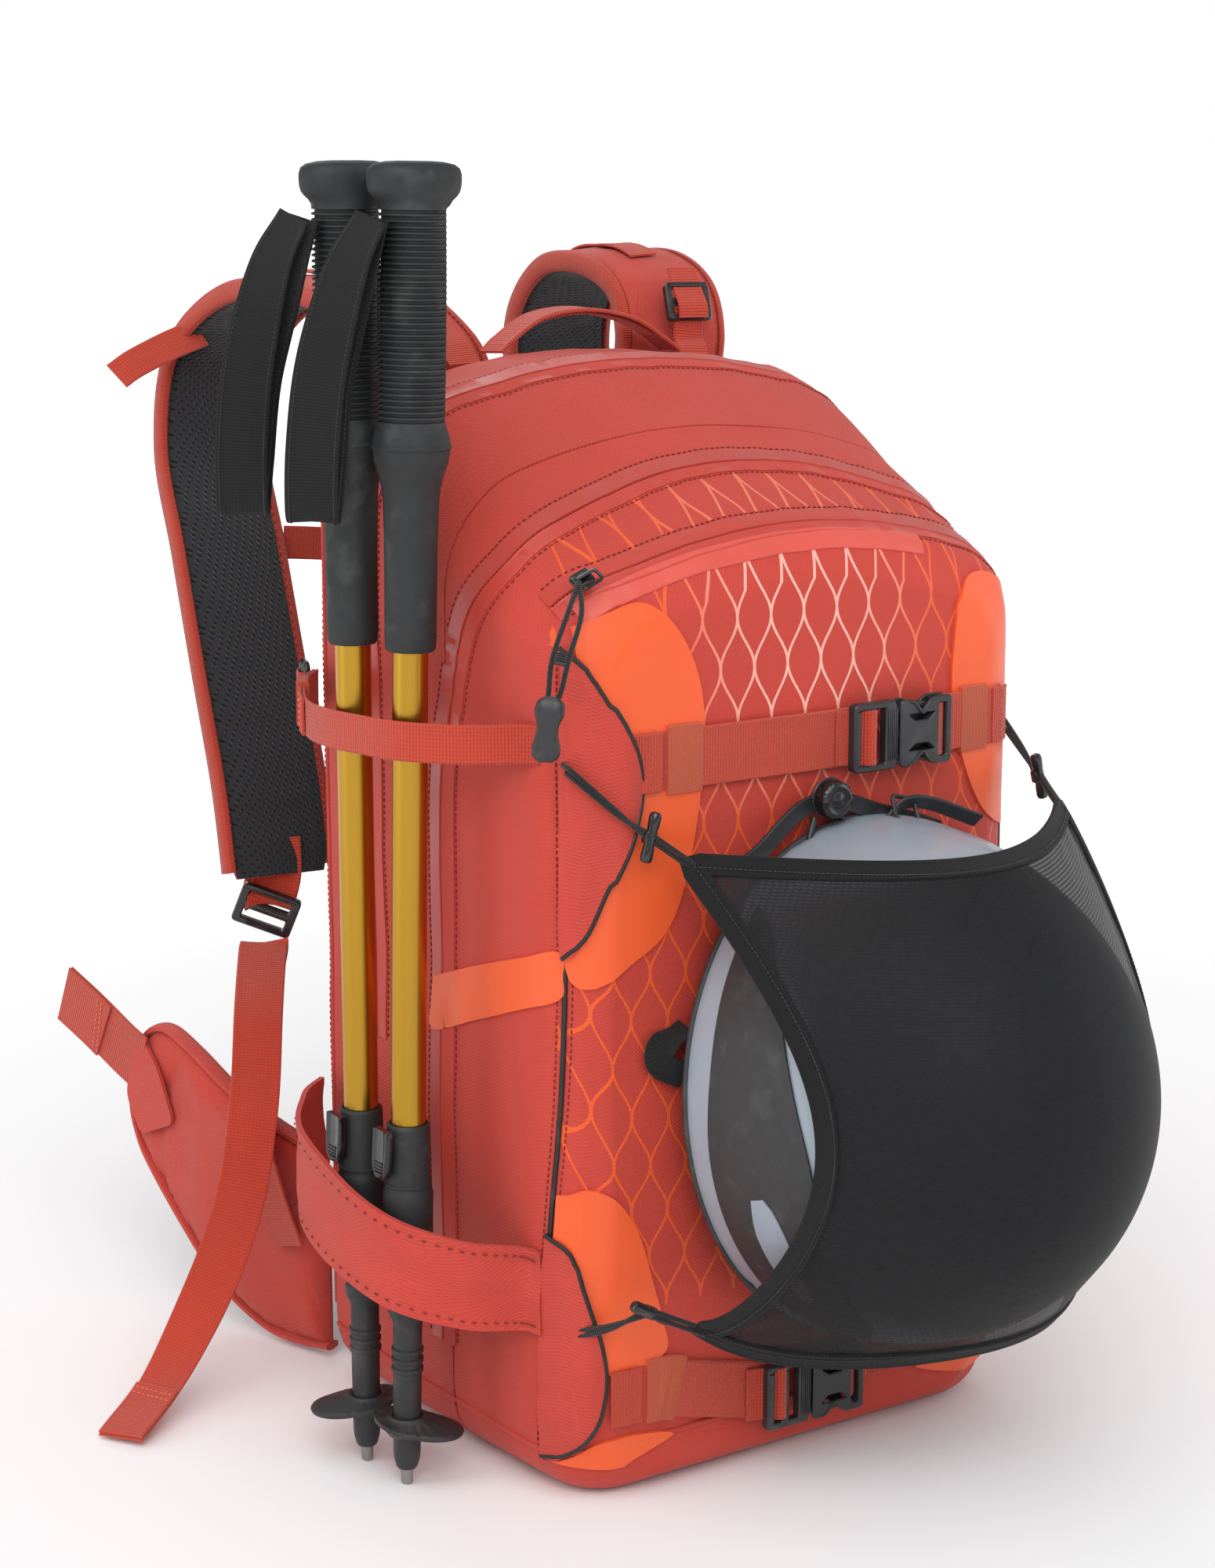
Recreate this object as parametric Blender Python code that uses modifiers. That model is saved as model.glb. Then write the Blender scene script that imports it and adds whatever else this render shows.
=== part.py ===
"""Ski touring backpack carrying two trekking poles and a helmet in a net.

Metres, +Z up.  The pack stands on its base with the origin under its middle.
The front faces -Y, the wearer's side +Y, and the poles are on the -X side.
"""
import math

import bmesh
import bpy
from mathutils import Matrix, Vector
from mathutils.bvhtree import BVHTree

OBJECT_NAME = "ski_backpack"
CLEARANCE = 0.0008                # air between neighbouring pieces

# Pack body: each station is (y, half width, height, corner radius, base height).
CROWN_CENTRE_Z = 0.173            # centre of every crown arc
BASE_CORNER = 0.030
FRONT_STATIONS = (
    (-0.1280, 0.1220, 0.474, 0.030, 0.010),
    (-0.1180, 0.1390, 0.494, 0.040, 0.003),
    (-0.1020, 0.1475, 0.503, 0.045, 0.000),
    (-0.0620, 0.1520, 0.524, 0.055, 0.000),
    (-0.0255, 0.1550, 0.5425, 0.065, 0.000),
)
REAR_STATIONS = (
    (-0.0245, 0.1550, 0.543, 0.065, 0.000),
    (0.0350, 0.1580, 0.575, 0.070, 0.000),
    (0.0850, 0.1590, 0.577, 0.070, 0.000),
    (0.1020, 0.1570, 0.571, 0.070, 0.002),
    (0.1120, 0.1500, 0.562, 0.065, 0.006),
)
FRONT_DOME = ((0.72, 0.0035), (0.40, 0.0055), (0.12, 0.0060))   # (scale, bulge)
DOME_CENTRE_Z = 0.240

# Back frame and padding
SHEET_FRONT_Y = 0.1130
SHEET_THICKNESS = 0.0020
PANEL_FRONT_Y = 0.1160
PANEL_HALF_WIDTH = 0.118

# Webbing
WEB_THICKNESS = 0.0016
FRONT_WEB = 0.030
SIDE_WEB = 0.020
SHOULDER_WEB = 0.028
HIP_WEB = 0.040
UPPER_STRAP_Z = 0.391
LOWER_STRAP_Z = 0.041
LOWER_STRAP_RISE = 0.018         # how much higher the lower strap is sewn than its buckle
STRAP_LEVEL_RUN = 0.018          # a strap is level this far either side of its buckle
STRAP_SLOPE_RUN = 0.067          # and has risen fully this much further out
SIDE_STRAP_Z = 0.400
UPPER_BUCKLE_X = 0.045
LOWER_BUCKLE_X = -0.004

# Poles, in their own frame: z runs up the shaft from the tip.
POLE_SIDES = 16
SHAFT_RADIUS = 0.0090
SHAFT_BORE = 0.0068
ROD_RADIUS = 0.0062
SHAFT_BOTTOM = 0.150
COLLAR_BOTTOM = 0.1093
COLLAR_TOP = 0.1980
COLLAR_RADIUS = 0.0130
GRIP_BOTTOM = 0.4430
LEVER_PIVOT_Z = 0.1945
LEVER_CENTRE_Z = 0.1835
LEVER_X = -0.0150
NEAR_POLE = (Vector((-0.1970, -0.0470, 0.0002)), Vector((-0.1830, -0.0470, 0.680)))
FAR_POLE = (Vector((-0.2000, -0.0100, 0.0)), Vector((-0.2000, -0.0100, 0.686)))
# How far each point of a wrist strap hangs to the front or rear of the common line
NEAR_SWAYS = (-0.0025, -0.0035, -0.007, -0.009, -0.009, -0.006, -0.004, -0.002, -0.001, 0.0)
FAR_SWAYS = (0.0, 0.001, 0.002, 0.003, 0.003, 0.004, 0.006, 0.008, 0.010, 0.010)

# Helmet: crown towards -Y, rear up
HELMET_CENTRE = Vector((0.027, -0.152, 0.213))
HELMET_RADII = (0.120, 0.166, 0.138)          # half width, crown height, half length
HELMET_TILT = math.radians(-5)
SHELL_THICKNESS = 0.003
LINER_THICKNESS = 0.018
DIAL_CENTRE = Vector((0.003, -0.1465, 0.3620))
DIAL_RADIUS = 0.0098

# Zip of the front pocket: its teeth follow a crown arc
ZIP_RADIUS = 0.330
ZIP_START = math.radians(-22.5)
ZIP_Y = -0.101

# Shoulder straps: width, thickness and the line of each
STRAP_WIDTH = 0.066
STRAP_THICKNESS = 0.012
LEFT_STRAP = ((-0.060, 0.1225, 0.512), (-0.0625, 0.132, 0.545), (-0.066, 0.150, 0.577),
              (-0.077, 0.200, 0.603), (-0.092, 0.268, 0.602), (-0.107, 0.312, 0.567),
              (-0.117, 0.312, 0.510), (-0.122, 0.282, 0.450), (-0.127, 0.250, 0.385),
              (-0.130, 0.222, 0.322), (-0.132, 0.206, 0.268))
RIGHT_STRAP = ((0.075, 0.1225, 0.512), (0.082, 0.1225, 0.548), (0.087, 0.123, 0.580),
               (0.089, 0.138, 0.606), (0.085, 0.168, 0.619), (0.081, 0.203, 0.615),
               (0.080, 0.230, 0.588), (0.086, 0.243, 0.548), (0.098, 0.252, 0.500),
               (0.108, 0.256, 0.450), (0.118, 0.248, 0.385), (0.128, 0.226, 0.322),
               (0.132, 0.206, 0.268))

# Hip belt wings: outline as (along the wing, height)
WING_ROOT = Vector((-0.1480, 0.1240, 0.0))
WING_ALONG = Vector((-0.28, 0.96, 0.0)).normalized()
WING_THICKNESS = 0.012
WING_OUTLINE = ((0.000, 0.006), (0.026, 0.0045), (0.050, 0.008), (0.085, 0.025), (0.118, 0.054),
                (0.148, 0.084), (0.159, 0.100), (0.164, 0.120), (0.160, 0.146), (0.152, 0.162),
                (0.140, 0.171), (0.126, 0.172), (0.102, 0.162), (0.078, 0.149), (0.046, 0.135),
                (0.020, 0.127), (0.000, 0.122))

# Helmet net
NET_HALF_WIDTH = 0.126
NET_HALF_LENGTH = 0.133
NET_CELLS = 16
NET_THICKNESS = 0.0010
NET_REACH = 1.44                 # distance of the corners, in helmet radii
NET_OFF = 0.0035                 # how far the net stands off the shell
NET_LOW_PULL = (-0.006, 0.029)   # how far the low left corner is pulled in and up
NET_HIGH_PULL = -0.010           # how far the high right corner is pulled in

LEFT = -1
RIGHT = 1

COLOURS = {
    "coral_fabric": ((0.56, 0.055, 0.040), 0.75, 0.0),
    "webbing": ((0.58, 0.060, 0.030), 0.80, 0.0),
    "foam_mesh": ((0.020, 0.020, 0.022), 0.90, 0.0),
    "black_plastic": ((0.015, 0.015, 0.017), 0.40, 0.0),
    "frame_plastic": ((0.080, 0.080, 0.085), 0.55, 0.0),
    "pole_rubber": ((0.045, 0.047, 0.050), 0.65, 0.0),
    "gold_tube": ((0.75, 0.480, 0.040), 0.28, 1.0),
    "steel": ((0.600, 0.600, 0.610), 0.30, 1.0),
    "helmet_shell": ((0.420, 0.500, 0.600), 0.30, 0.0),
    "helmet_foam": ((0.030, 0.030, 0.032), 0.85, 0.0),
    "black_mesh": ((0.010, 0.010, 0.011), 0.80, 0.0),
}


# ---------------------------------------------------------------- scene set-up

def clear_scene():
    for item in list(bpy.data.objects):
        bpy.data.objects.remove(item, do_unlink=True)
    for group in list(bpy.data.collections):
        bpy.data.collections.remove(group)


def make_collection(name):
    group = bpy.data.collections.new(name)
    bpy.context.scene.collection.children.link(group)
    return group


def make_material(name, kind):
    colour, roughness, metallic = COLOURS[kind]
    material = bpy.data.materials.new(name)
    material.use_nodes = True
    shader = material.node_tree.nodes["Principled BSDF"]
    shader.inputs["Base Color"].default_value = (*colour, 1.0)
    shader.inputs["Roughness"].default_value = roughness
    shader.inputs["Metallic"].default_value = metallic
    return material


def add_object(name, mesh, kind, matrix=None, smooth=True):
    if smooth:
        mesh.shade_smooth()
        mesh.set_sharp_from_angle(angle=math.radians(40))
    item = bpy.data.objects.new(name, mesh)
    item.data.materials.append(make_material(name, kind))
    if matrix is not None:
        item.matrix_world = matrix
    PARTS.objects.link(item)
    return item


def add_cutter(name, mesh, matrix=None):
    cutter = bpy.data.objects.new(name, mesh)
    cutter.hide_render = True
    cutter.display_type = "WIRE"
    if matrix is not None:
        cutter.matrix_world = matrix
    CUTTERS.objects.link(cutter)
    return cutter


def add_boolean(item, other, operation="DIFFERENCE"):
    modifier = item.modifiers.new(other.name, "BOOLEAN")
    modifier.operation = operation
    modifier.solver = "EXACT"
    modifier.object = other


# ---------------------------------------------------------------- mesh makers

def loft_mesh(name, rings, twisted=False):
    """Closed skin through rings of equal length, capped at both ends."""
    bm = bmesh.new()
    loops = [[bm.verts.new(point) for point in ring] for ring in rings]
    count = len(rings[0])
    for lower, upper in zip(loops, loops[1:]):
        for i in range(count):
            j = (i + 1) % count
            bm.faces.new((lower[i], lower[j], upper[j], upper[i]))
    bm.faces.new(loops[0])
    bm.faces.new(loops[-1])
    bmesh.ops.recalc_face_normals(bm, faces=bm.faces)
    if twisted:
        bmesh.ops.triangulate(bm, faces=bm.faces, quad_method="SHORT_EDGE")
    mesh = bpy.data.meshes.new(name)
    bm.to_mesh(mesh)
    bm.free()
    return mesh


def box_mesh(name, size, bevel=0.0, segments=2, centre=(0, 0, 0)):
    bm = bmesh.new()
    place = Matrix.Translation(Vector(centre)) @ Matrix.Diagonal((*size, 1.0))
    bmesh.ops.create_cube(bm, size=1.0, matrix=place)
    if bevel > 0:
        bmesh.ops.bevel(bm, geom=list(bm.edges), offset=bevel, segments=segments,
                        profile=0.5, affect="EDGES")
    mesh = bpy.data.meshes.new(name)
    bm.to_mesh(mesh)
    bm.free()
    return mesh


def circle_ring(radius_x, radius_y, z, sides=POLE_SIDES, shift_x=0.0):
    step = 2 * math.pi / sides
    return [(shift_x + radius_x * math.cos(i * step), radius_y * math.sin(i * step), z)
            for i in range(sides)]


def smooth_path(points, per_span):
    """Catmull-Rom curve through the points."""
    points = [Vector(p) for p in points]
    guard = [2 * points[0] - points[1]] + points + [2 * points[-1] - points[-2]]
    out = []
    for i in range(1, len(guard) - 2):
        a, b, c, d = guard[i - 1:i + 3]
        for k in range(per_span):
            t = k / per_span
            out.append(0.5 * (2 * b + (c - a) * t + (2 * a - 5 * b + 4 * c - d) * t ** 2
                              + (3 * b - a - 3 * c + d) * t ** 3))
    out.append(points[-1])
    return out


def rectangle_section(width, thickness):
    w, t = width / 2, thickness / 2
    return [(-w, -t), (w, -t), (w, t), (-w, t)]


def pad_section(width, thickness, sides=10):
    """Flat oval for padded straps."""
    out = []
    for i in range(sides):
        angle = 2 * math.pi * (i + 0.5) / sides
        c, s = math.cos(angle), math.sin(angle)
        out.append((width / 2 * math.copysign(abs(c) ** 0.45, c),
                    thickness / 2 * math.copysign(abs(s) ** 0.6, s)))
    return out


def sweep_mesh(name, path, sides, section):
    """Section swept along a path; sides give the direction of its width."""
    rings = []
    last = len(path) - 1
    for i, point in enumerate(path):
        tangent = (path[min(i + 1, last)] - path[max(i - 1, 0)]).normalized()
        side = sides[i] if isinstance(sides, list) else sides
        across = (side - side.dot(tangent) * tangent).normalized()
        normal = tangent.cross(across)
        rings.append([point + across * u + normal * v for u, v in section])
    return loft_mesh(name, rings, isinstance(sides, list))


def frame_mesh(name, length, width, thickness, slots, bevel=0.001):
    """Flat buckle frame in XY with through slots, each (centre x, width)."""
    bm = bmesh.new()
    half = width / 2
    rail = width * 0.14
    xs = [-length / 2]
    for centre, slot in slots:
        xs += [centre - slot / 2, centre + slot / 2]
    xs.append(length / 2)
    ys = [-half, -half + rail, half - rail, half]
    grid = [[bm.verts.new((x, y, -thickness / 2)) for y in ys] for x in xs]
    for i in range(len(xs) - 1):
        for j in range(3):
            if i % 2 == 1 and j == 1:
                continue
            bm.faces.new((grid[i][j], grid[i + 1][j], grid[i + 1][j + 1], grid[i][j + 1]))
    made = bmesh.ops.extrude_face_region(bm, geom=list(bm.faces))
    lifted = [v for v in made["geom"] if isinstance(v, bmesh.types.BMVert)]
    bmesh.ops.translate(bm, verts=lifted, vec=(0, 0, thickness))
    bmesh.ops.recalc_face_normals(bm, faces=bm.faces)
    flat = [e for e in bm.edges if e.is_manifold and e.calc_face_angle(0) > 0.5]
    bmesh.ops.bevel(bm, geom=flat, offset=bevel, segments=1, affect="EDGES")
    mesh = bpy.data.meshes.new(name)
    bm.to_mesh(mesh)
    bm.free()
    return mesh


# ---------------------------------------------------------------- pack body

def arch_outline(half_width, height, corner, base):
    """Three-centred arch on a flat base, from the base corner round to its mirror."""
    reach = height - CROWN_CENTRE_Z
    corner_x = half_width - corner
    rise = math.sqrt((reach - corner) ** 2 - corner_x ** 2)
    corner_z = CROWN_CENTRE_Z + rise
    tangent = math.atan2(rise, corner_x)
    right = []
    for i in range(4):
        angle = -math.pi / 2 + i * math.pi / 6
        right.append((half_width - BASE_CORNER + BASE_CORNER * math.cos(angle),
                      base + BASE_CORNER + BASE_CORNER * math.sin(angle)))
    for i in range(7):
        angle = tangent * i / 6
        right.append((corner_x + corner * math.cos(angle), corner_z + corner * math.sin(angle)))
    for i in range(1, 5):
        angle = tangent + (math.pi / 2 - tangent) * i / 5
        right.append((reach * math.cos(angle), CROWN_CENTRE_Z + reach * math.sin(angle)))
    left = [(-x, z) for x, z in reversed(right)]
    return right + [(0.0, height)] + left


def body_rings(stations):
    rings = []
    for y, half_width, height, corner, base in stations:
        rings.append([(x, y, z) for x, z in arch_outline(half_width, height, corner, base)])
    return rings


def make_front_compartment():
    rings = body_rings(FRONT_STATIONS)
    outer = rings[0]
    for scale, bulge in FRONT_DOME:
        rings.insert(0, [(x * scale, outer[0][1] - bulge,
                          DOME_CENTRE_Z + (z - DOME_CENTRE_Z) * scale) for x, y, z in outer])
    return add_object("front_compartment", loft_mesh("front_compartment", rings), "coral_fabric")


def make_main_compartment():
    mesh = loft_mesh("main_compartment", body_rings(REAR_STATIONS))
    return add_object("main_compartment", mesh, "coral_fabric")


def make_frame_sheet():
    rings = []
    for y in (SHEET_FRONT_Y, SHEET_FRONT_Y + SHEET_THICKNESS):
        rings.append([(x, y, z) for x, z in arch_outline(0.112, 0.520, 0.060, 0.030)])
    return add_object("frame_sheet", loft_mesh("frame_sheet", rings), "frame_plastic")


def make_back_panel():
    """Padding with a shoulder bulge and a lumbar bulge."""
    rings = []
    levels = 15
    for i in range(levels):
        z = 0.022 + 0.476 * i / (levels - 1)
        lumbar = 0.014 * math.exp(-((z - 0.115) / 0.060) ** 2)
        shoulder = 0.016 * math.exp(-((z - 0.375) / 0.080) ** 2)
        end = min(i, levels - 1 - i, 2) / 2
        depth = (0.018 + lumbar + shoulder) * (0.55 + 0.45 * end)
        half = PANEL_HALF_WIDTH - 0.010 * (1 - end) - 0.016 * max(0, (z - 0.3) / 0.2)
        front, back = PANEL_FRONT_Y, PANEL_FRONT_Y + depth
        bend = min(0.012, depth * 0.5)
        rings.append([(-half, front, z), (half, front, z), (half, back - bend, z),
                      (half - bend, back, z), (half * 0.25, back, z), (0, back - 0.007, z),
                      (-half * 0.25, back, z), (-half + bend, back, z), (-half, back - bend, z)])
    return add_object("back_panel", loft_mesh("back_panel", rings), "foam_mesh")


def surface_of(item):
    return BVHTree.FromObject(item, bpy.context.evaluated_depsgraph_get())


def wrap_point(surface, direction, z, half_width, lift):
    """Point on the body, seen from its axis, lifted off along the direction."""
    best = 0.0
    origin = Vector((0.0, -0.030, 0.0))
    for dz in (-half_width, 0.0, half_width):
        start = origin + direction * 0.5 + Vector((0, 0, z + dz))
        hit = surface.ray_cast(start, -direction)
        best = max(best, 0.5 - hit[3])
    return origin + direction * (best + lift) + Vector((0, 0, z))


def strap_height(x, buckle_x, z, rise):
    """Height of a strap: level under its buckle, then rising evenly to its seam."""
    away = max(0.0, abs(x - buckle_x) - STRAP_LEVEL_RUN)
    return z + rise * min(1.0, away / STRAP_SLOPE_RUN)


def front_strap_path(surface, x_from, x_to, buckle, lift):
    buckle_x, z, rise = buckle
    steps = max(3, round(abs(x_to - x_from) / 0.012))
    path = []
    for i in range(steps + 1):
        x = x_from + (x_to - x_from) * i / steps
        direction = Vector((x, -0.100, 0.0)).normalized()
        height = strap_height(x, buckle_x, z, rise)
        path.append(wrap_point(surface, direction, height, FRONT_WEB / 2, lift))
    return path


def make_front_straps(surface):
    """Two compression straps; each half runs under its own half of the buckle."""
    lift = CLEARANCE + WEB_THICKNESS / 2 + 0.0004
    section = rectangle_section(FRONT_WEB, WEB_THICKNESS)
    up = Vector((0, 0, 1))
    upper = (UPPER_BUCKLE_X, UPPER_STRAP_Z, 0.0)
    lower = (LOWER_BUCKLE_X, LOWER_STRAP_Z, LOWER_STRAP_RISE)
    spans = (("strap_upper_left", -0.100, UPPER_BUCKLE_X - 0.004, upper),
             ("strap_upper_right", 0.136, UPPER_BUCKLE_X + 0.004, upper),
             ("strap_lower_left", -0.104, LOWER_BUCKLE_X - 0.004, lower),
             ("strap_lower_right", 0.118, LOWER_BUCKLE_X + 0.004, lower))
    for name, x_from, x_to, buckle in spans:
        path = front_strap_path(surface, x_from, x_to, buckle, lift)
        add_object(name, sweep_mesh(name, path, up, section), "webbing")


# ---------------------------------------------------------------- buckles

def arm_mesh(name, side):
    """Spring arm that bows outward and ends in a rounded catch."""
    path = smooth_path([(-0.002, side * 0.0120, 0), (0.006, side * 0.0125, 0),
                        (0.014, side * 0.0142, 0), (0.0215, side * 0.0128, 0)], 3)
    return sweep_mesh(name, path, Vector((0, 0, 1)), rectangle_section(0.0046, 0.0032))


def make_prong(name, matrix):
    frame = frame_mesh(name, 0.028, 0.036, 0.0060, ((-0.0075, 0.0075), (0.0045, 0.0065)))
    frame.transform(Matrix.Translation((-0.0140, 0, 0)))
    item = add_object(name, frame, "black_plastic", matrix)
    tongue = box_mesh(name + "_tongue", (0.0215, 0.0050, 0.0036), 0.0008, 1, (0.0095, 0, 0))
    add_boolean(item, add_cutter(name + "_tongue", tongue, matrix), "UNION")
    for side in (LEFT, RIGHT):
        arm = add_cutter(name + f"_arm_{side}", arm_mesh(name, side), matrix)
        add_boolean(item, arm, "UNION")
    return item


def make_socket(name, matrix):
    """Buckle half with a mouth for the arms, side windows and a webbing bar."""
    shell = box_mesh(name, (0.0340, 0.0360, 0.0090), 0.0022, 2, (0.0178, 0, 0))
    item = add_object(name, shell, "black_plastic", matrix)
    cuts = (((0.0220, 0.0330, 0.0060), (0.0105, 0, 0)),
            ((0.0120, 0.0440, 0.0058), (0.0160, 0, 0)),
            ((0.0058, 0.0280, 0.0200), (0.0288, 0, 0)))
    for i, (size, centre) in enumerate(cuts):
        block = box_mesh(f"{name}_cut_{i}", size, 0.0, 1, centre)
        add_boolean(item, add_cutter(f"{name}_cut_{i}", block, matrix))
    return item


def make_front_buckles(surface):
    """The halves stand on the webbing, with their flat sides towards the pack."""
    for name, x, z in (("upper", UPPER_BUCKLE_X, UPPER_STRAP_Z),
                       ("lower", LOWER_BUCKLE_X, LOWER_STRAP_Z)):
        lift = CLEARANCE + WEB_THICKNESS + 0.0075
        seat = min(wrap_point(surface, Vector((x + dx, -0.1, 0)).normalized(), z,
                              FRONT_WEB / 2, lift).y for dx in (-0.02, 0.0, 0.02))
        basis = Matrix(((1, 0, 0), (0, 0, -1), (0, 1, 0))).to_4x4()
        matrix = Matrix.Translation((x, seat, z)) @ basis
        make_prong(f"buckle_{name}_prong", matrix)
        make_socket(f"buckle_{name}_socket", matrix)


def frame_matrix(position, along, normal):
    """Frame whose local X runs along and whose local Z is the normal."""
    x_axis = Vector(along).normalized()
    z_axis = Vector(normal)
    z_axis = (z_axis - z_axis.dot(x_axis) * x_axis).normalized()
    y_axis = z_axis.cross(x_axis)
    basis = Matrix((x_axis, y_axis, z_axis)).transposed().to_4x4()
    return Matrix.Translation(Vector(position)) @ basis


# ---------------------------------------------------------------- side loops

def make_pole_loops():
    """Broad fabric loops that hold the pole tips against the sides."""
    rear = (-0.1625, 0.1000, 0.150, 0.056)
    route = (rear, (-0.1860, 0.0780, 0.150, 0.056), (-0.2110, 0.0350, 0.149, 0.055),
             (-0.2180, -0.0150, 0.140, 0.053), (-0.2100, -0.0560, 0.129, 0.050),
             (-0.1820, -0.0830, 0.119, 0.047), (-0.1540, -0.0950, 0.115, 0.045))
    for name, sign in (("pole_loop_left", 1), ("pole_loop_right", -1)):
        squeeze = 1.0 if sign == 1 else 0.30
        flat_x = 0.1600
        points = []
        for x, y, z, tall in route:
            bulge = max(0.0, -x - flat_x) * squeeze
            points.append((sign * (-min(-x, flat_x) - bulge - 0.0012), y, z))
        path = smooth_path(points, 3)
        heights = smooth_path([(tall, 0, 0) for x, y, z, tall in route], 3)
        rings = []
        for i, point in enumerate(path):
            before, after = path[max(i - 1, 0)], path[min(i + 1, len(path) - 1)]
            tangent = (after - before).normalized()
            normal = Vector((tangent.y, -tangent.x, 0)).normalized() * 0.0011
            rise = Vector((0, 0, heights[i].x / 2))
            rings.append([point - rise - normal, point + rise - normal,
                          point + rise + normal, point - rise + normal])
        add_object(name, loft_mesh(name, rings), "coral_fabric")


def make_side_straps():
    """Narrow straps that hold the pole shafts, with a hook at the rear."""
    left = [(-0.1640, 0.0960), (-0.1860, 0.0680), (-0.2070, 0.0280), (-0.2130, -0.0050),
            (-0.2095, -0.0330), (-0.2010, -0.0560), (-0.1790, -0.0800), (-0.1550, -0.0960)]
    right = [(0.1650, 0.0960), (0.1640, 0.0680), (0.1625, 0.0280), (0.1605, -0.0050),
             (0.1590, -0.0330), (0.1580, -0.0560), (0.1565, -0.0800), (0.1550, -0.0960)]
    section = rectangle_section(SIDE_WEB, WEB_THICKNESS)
    for name, route in (("side_strap_left", left), ("side_strap_right", right)):
        path = smooth_path([(x, y, SIDE_STRAP_Z) for x, y in route], 3)
        add_object(name, sweep_mesh(name, path, Vector((0, 0, 1)), section), "webbing")
    for name, sign in (("side_hook_left", LEFT), ("side_hook_right", RIGHT)):
        mesh = frame_mesh(name, 0.0180, 0.0320, 0.0045, ((0.0, 0.0090),))
        matrix = frame_matrix((sign * 0.1650, 0.1080, 0.397), (-sign * 0.35, 1, 0),
                              (sign, 0.35, 0))
        add_object(name, mesh, "black_plastic", matrix)


# ---------------------------------------------------------------- harness

def make_shoulder_straps():
    section = pad_section(STRAP_WIDTH, STRAP_THICKNESS)
    for name, route in (("shoulder_strap_left", LEFT_STRAP),
                        ("shoulder_strap_right", RIGHT_STRAP)):
        path = smooth_path(route, 3)
        mesh = sweep_mesh(name, path, Vector((1, 0, 0)), section)
        add_object(name, mesh, "coral_fabric")


def make_strap_webbing():
    """Adjusting webbing: sewn low on the pack, up to the ladder lock, tail to the floor."""
    route = [(-0.1690, 0.1350, 0.068), (-0.1770, 0.1465, 0.110), (-0.1740, 0.1630, 0.165),
             (-0.1570, 0.1890, 0.205), (-0.1450, 0.2030, 0.227), (-0.1510, 0.1945, 0.226),
             (-0.1720, 0.1600, 0.203), (-0.1860, 0.1380, 0.170), (-0.1970, 0.1240, 0.145),
             (-0.2050, 0.1200, 0.115), (-0.2205, 0.1170, 0.078), (-0.2430, 0.1130, 0.042),
             (-0.2700, 0.1010, 0.016), (-0.3020, 0.0810, 0.0032)]
    turns = [100, 96, 52, 14, -14, -18, -18, -18, -18, -22, -30, -45, -63, -69]
    sides = [(math.cos(math.radians(a)), math.sin(math.radians(a)), 0.0) for a in turns]
    section = rectangle_section(SHOULDER_WEB, WEB_THICKNESS)
    for name, sign in (("strap_webbing_left", 1), ("strap_webbing_right", -1)):
        path = smooth_path([(sign * x, y, z) for x, y, z in route], 3)
        across = smooth_path([(sign * x, y, z) for x, y, z in sides], 3)
        add_object(name, sweep_mesh(name, path, across, section), "webbing")
    for name, sign in (("ladder_lock_left", 1), ("ladder_lock_right", -1)):
        mesh = frame_mesh(name, 0.026, 0.036, 0.0050, ((-0.0055, 0.0060), (0.0060, 0.0060)))
        matrix = frame_matrix((sign * -0.1390, 0.2115, 0.2465), (sign * 0.20, -0.35, 0.90),
                              (sign * -0.5, -0.85, 0))
        add_object(name, mesh, "black_plastic", matrix)


def make_load_lifters():
    """Short webbing from the top edge of the pack to a buckle on each strap."""
    section = rectangle_section(SIDE_WEB, WEB_THICKNESS)
    routes = {
        "left": [(-0.062, 0.1060, 0.5690), (-0.063, 0.1200, 0.5800), (-0.066, 0.1340, 0.5880)],
        "right": [(0.086, 0.0960, 0.5660), (0.0865, 0.1000, 0.5730), (0.087, 0.1050, 0.5790)],
    }
    seats = {"left": ((-0.0700, 0.1560, 0.6000), (-0.13, 0.86, 0.55), (0, -0.5, 0.86)),
             "right": ((0.0885, 0.1080, 0.5980), (0.02, 0.28, 0.95), (0, -0.95, 0.28))}
    for side, route in routes.items():
        path = smooth_path(route, 3)
        mesh = sweep_mesh("load_lifter_" + side, path, Vector((1, 0, 0)), section)
        add_object("load_lifter_" + side, mesh, "webbing")
        position, along, normal = seats[side]
        frame = frame_mesh("lifter_buckle_" + side, 0.022, 0.030, 0.0045,
                           ((-0.0045, 0.0050), (0.0050, 0.0050)))
        add_object("lifter_buckle_" + side, frame, "black_plastic",
                   frame_matrix(position, along, normal))


def make_sternum_strap():
    start, end = Vector((-0.0850, 0.2830, 0.452)), Vector((0.0700, 0.2590, 0.452))
    middle = (start + end) / 2 + Vector((0, 0.004, -0.006))
    path = smooth_path([start, middle, end], 5)
    section = rectangle_section(SIDE_WEB, WEB_THICKNESS)
    mesh = sweep_mesh("sternum_strap", path, Vector((0, 0, 1)), section)
    add_object("sternum_strap", mesh, "webbing")
    body = box_mesh("sternum_buckle", (0.042, 0.0080, 0.025), 0.0020)
    along = end - start
    turn = Matrix.Rotation(math.atan2(along.y, along.x), 4, "Z")
    place = Matrix.Translation(middle + Vector((0, 0.0065, 0))) @ turn
    add_object("sternum_buckle", body, "black_plastic", place)


def wing_point(along, z, out=0.0):
    """Point of the left wing: along it, at a height, and off its outer face."""
    outward = Vector((-WING_ALONG.y, WING_ALONG.x, 0.0))
    curl = 0.004 * math.sin(math.pi * min(1.0, along / 0.16))
    return WING_ROOT + WING_ALONG * along + outward * (out + curl) + Vector((0, 0, z))


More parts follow.
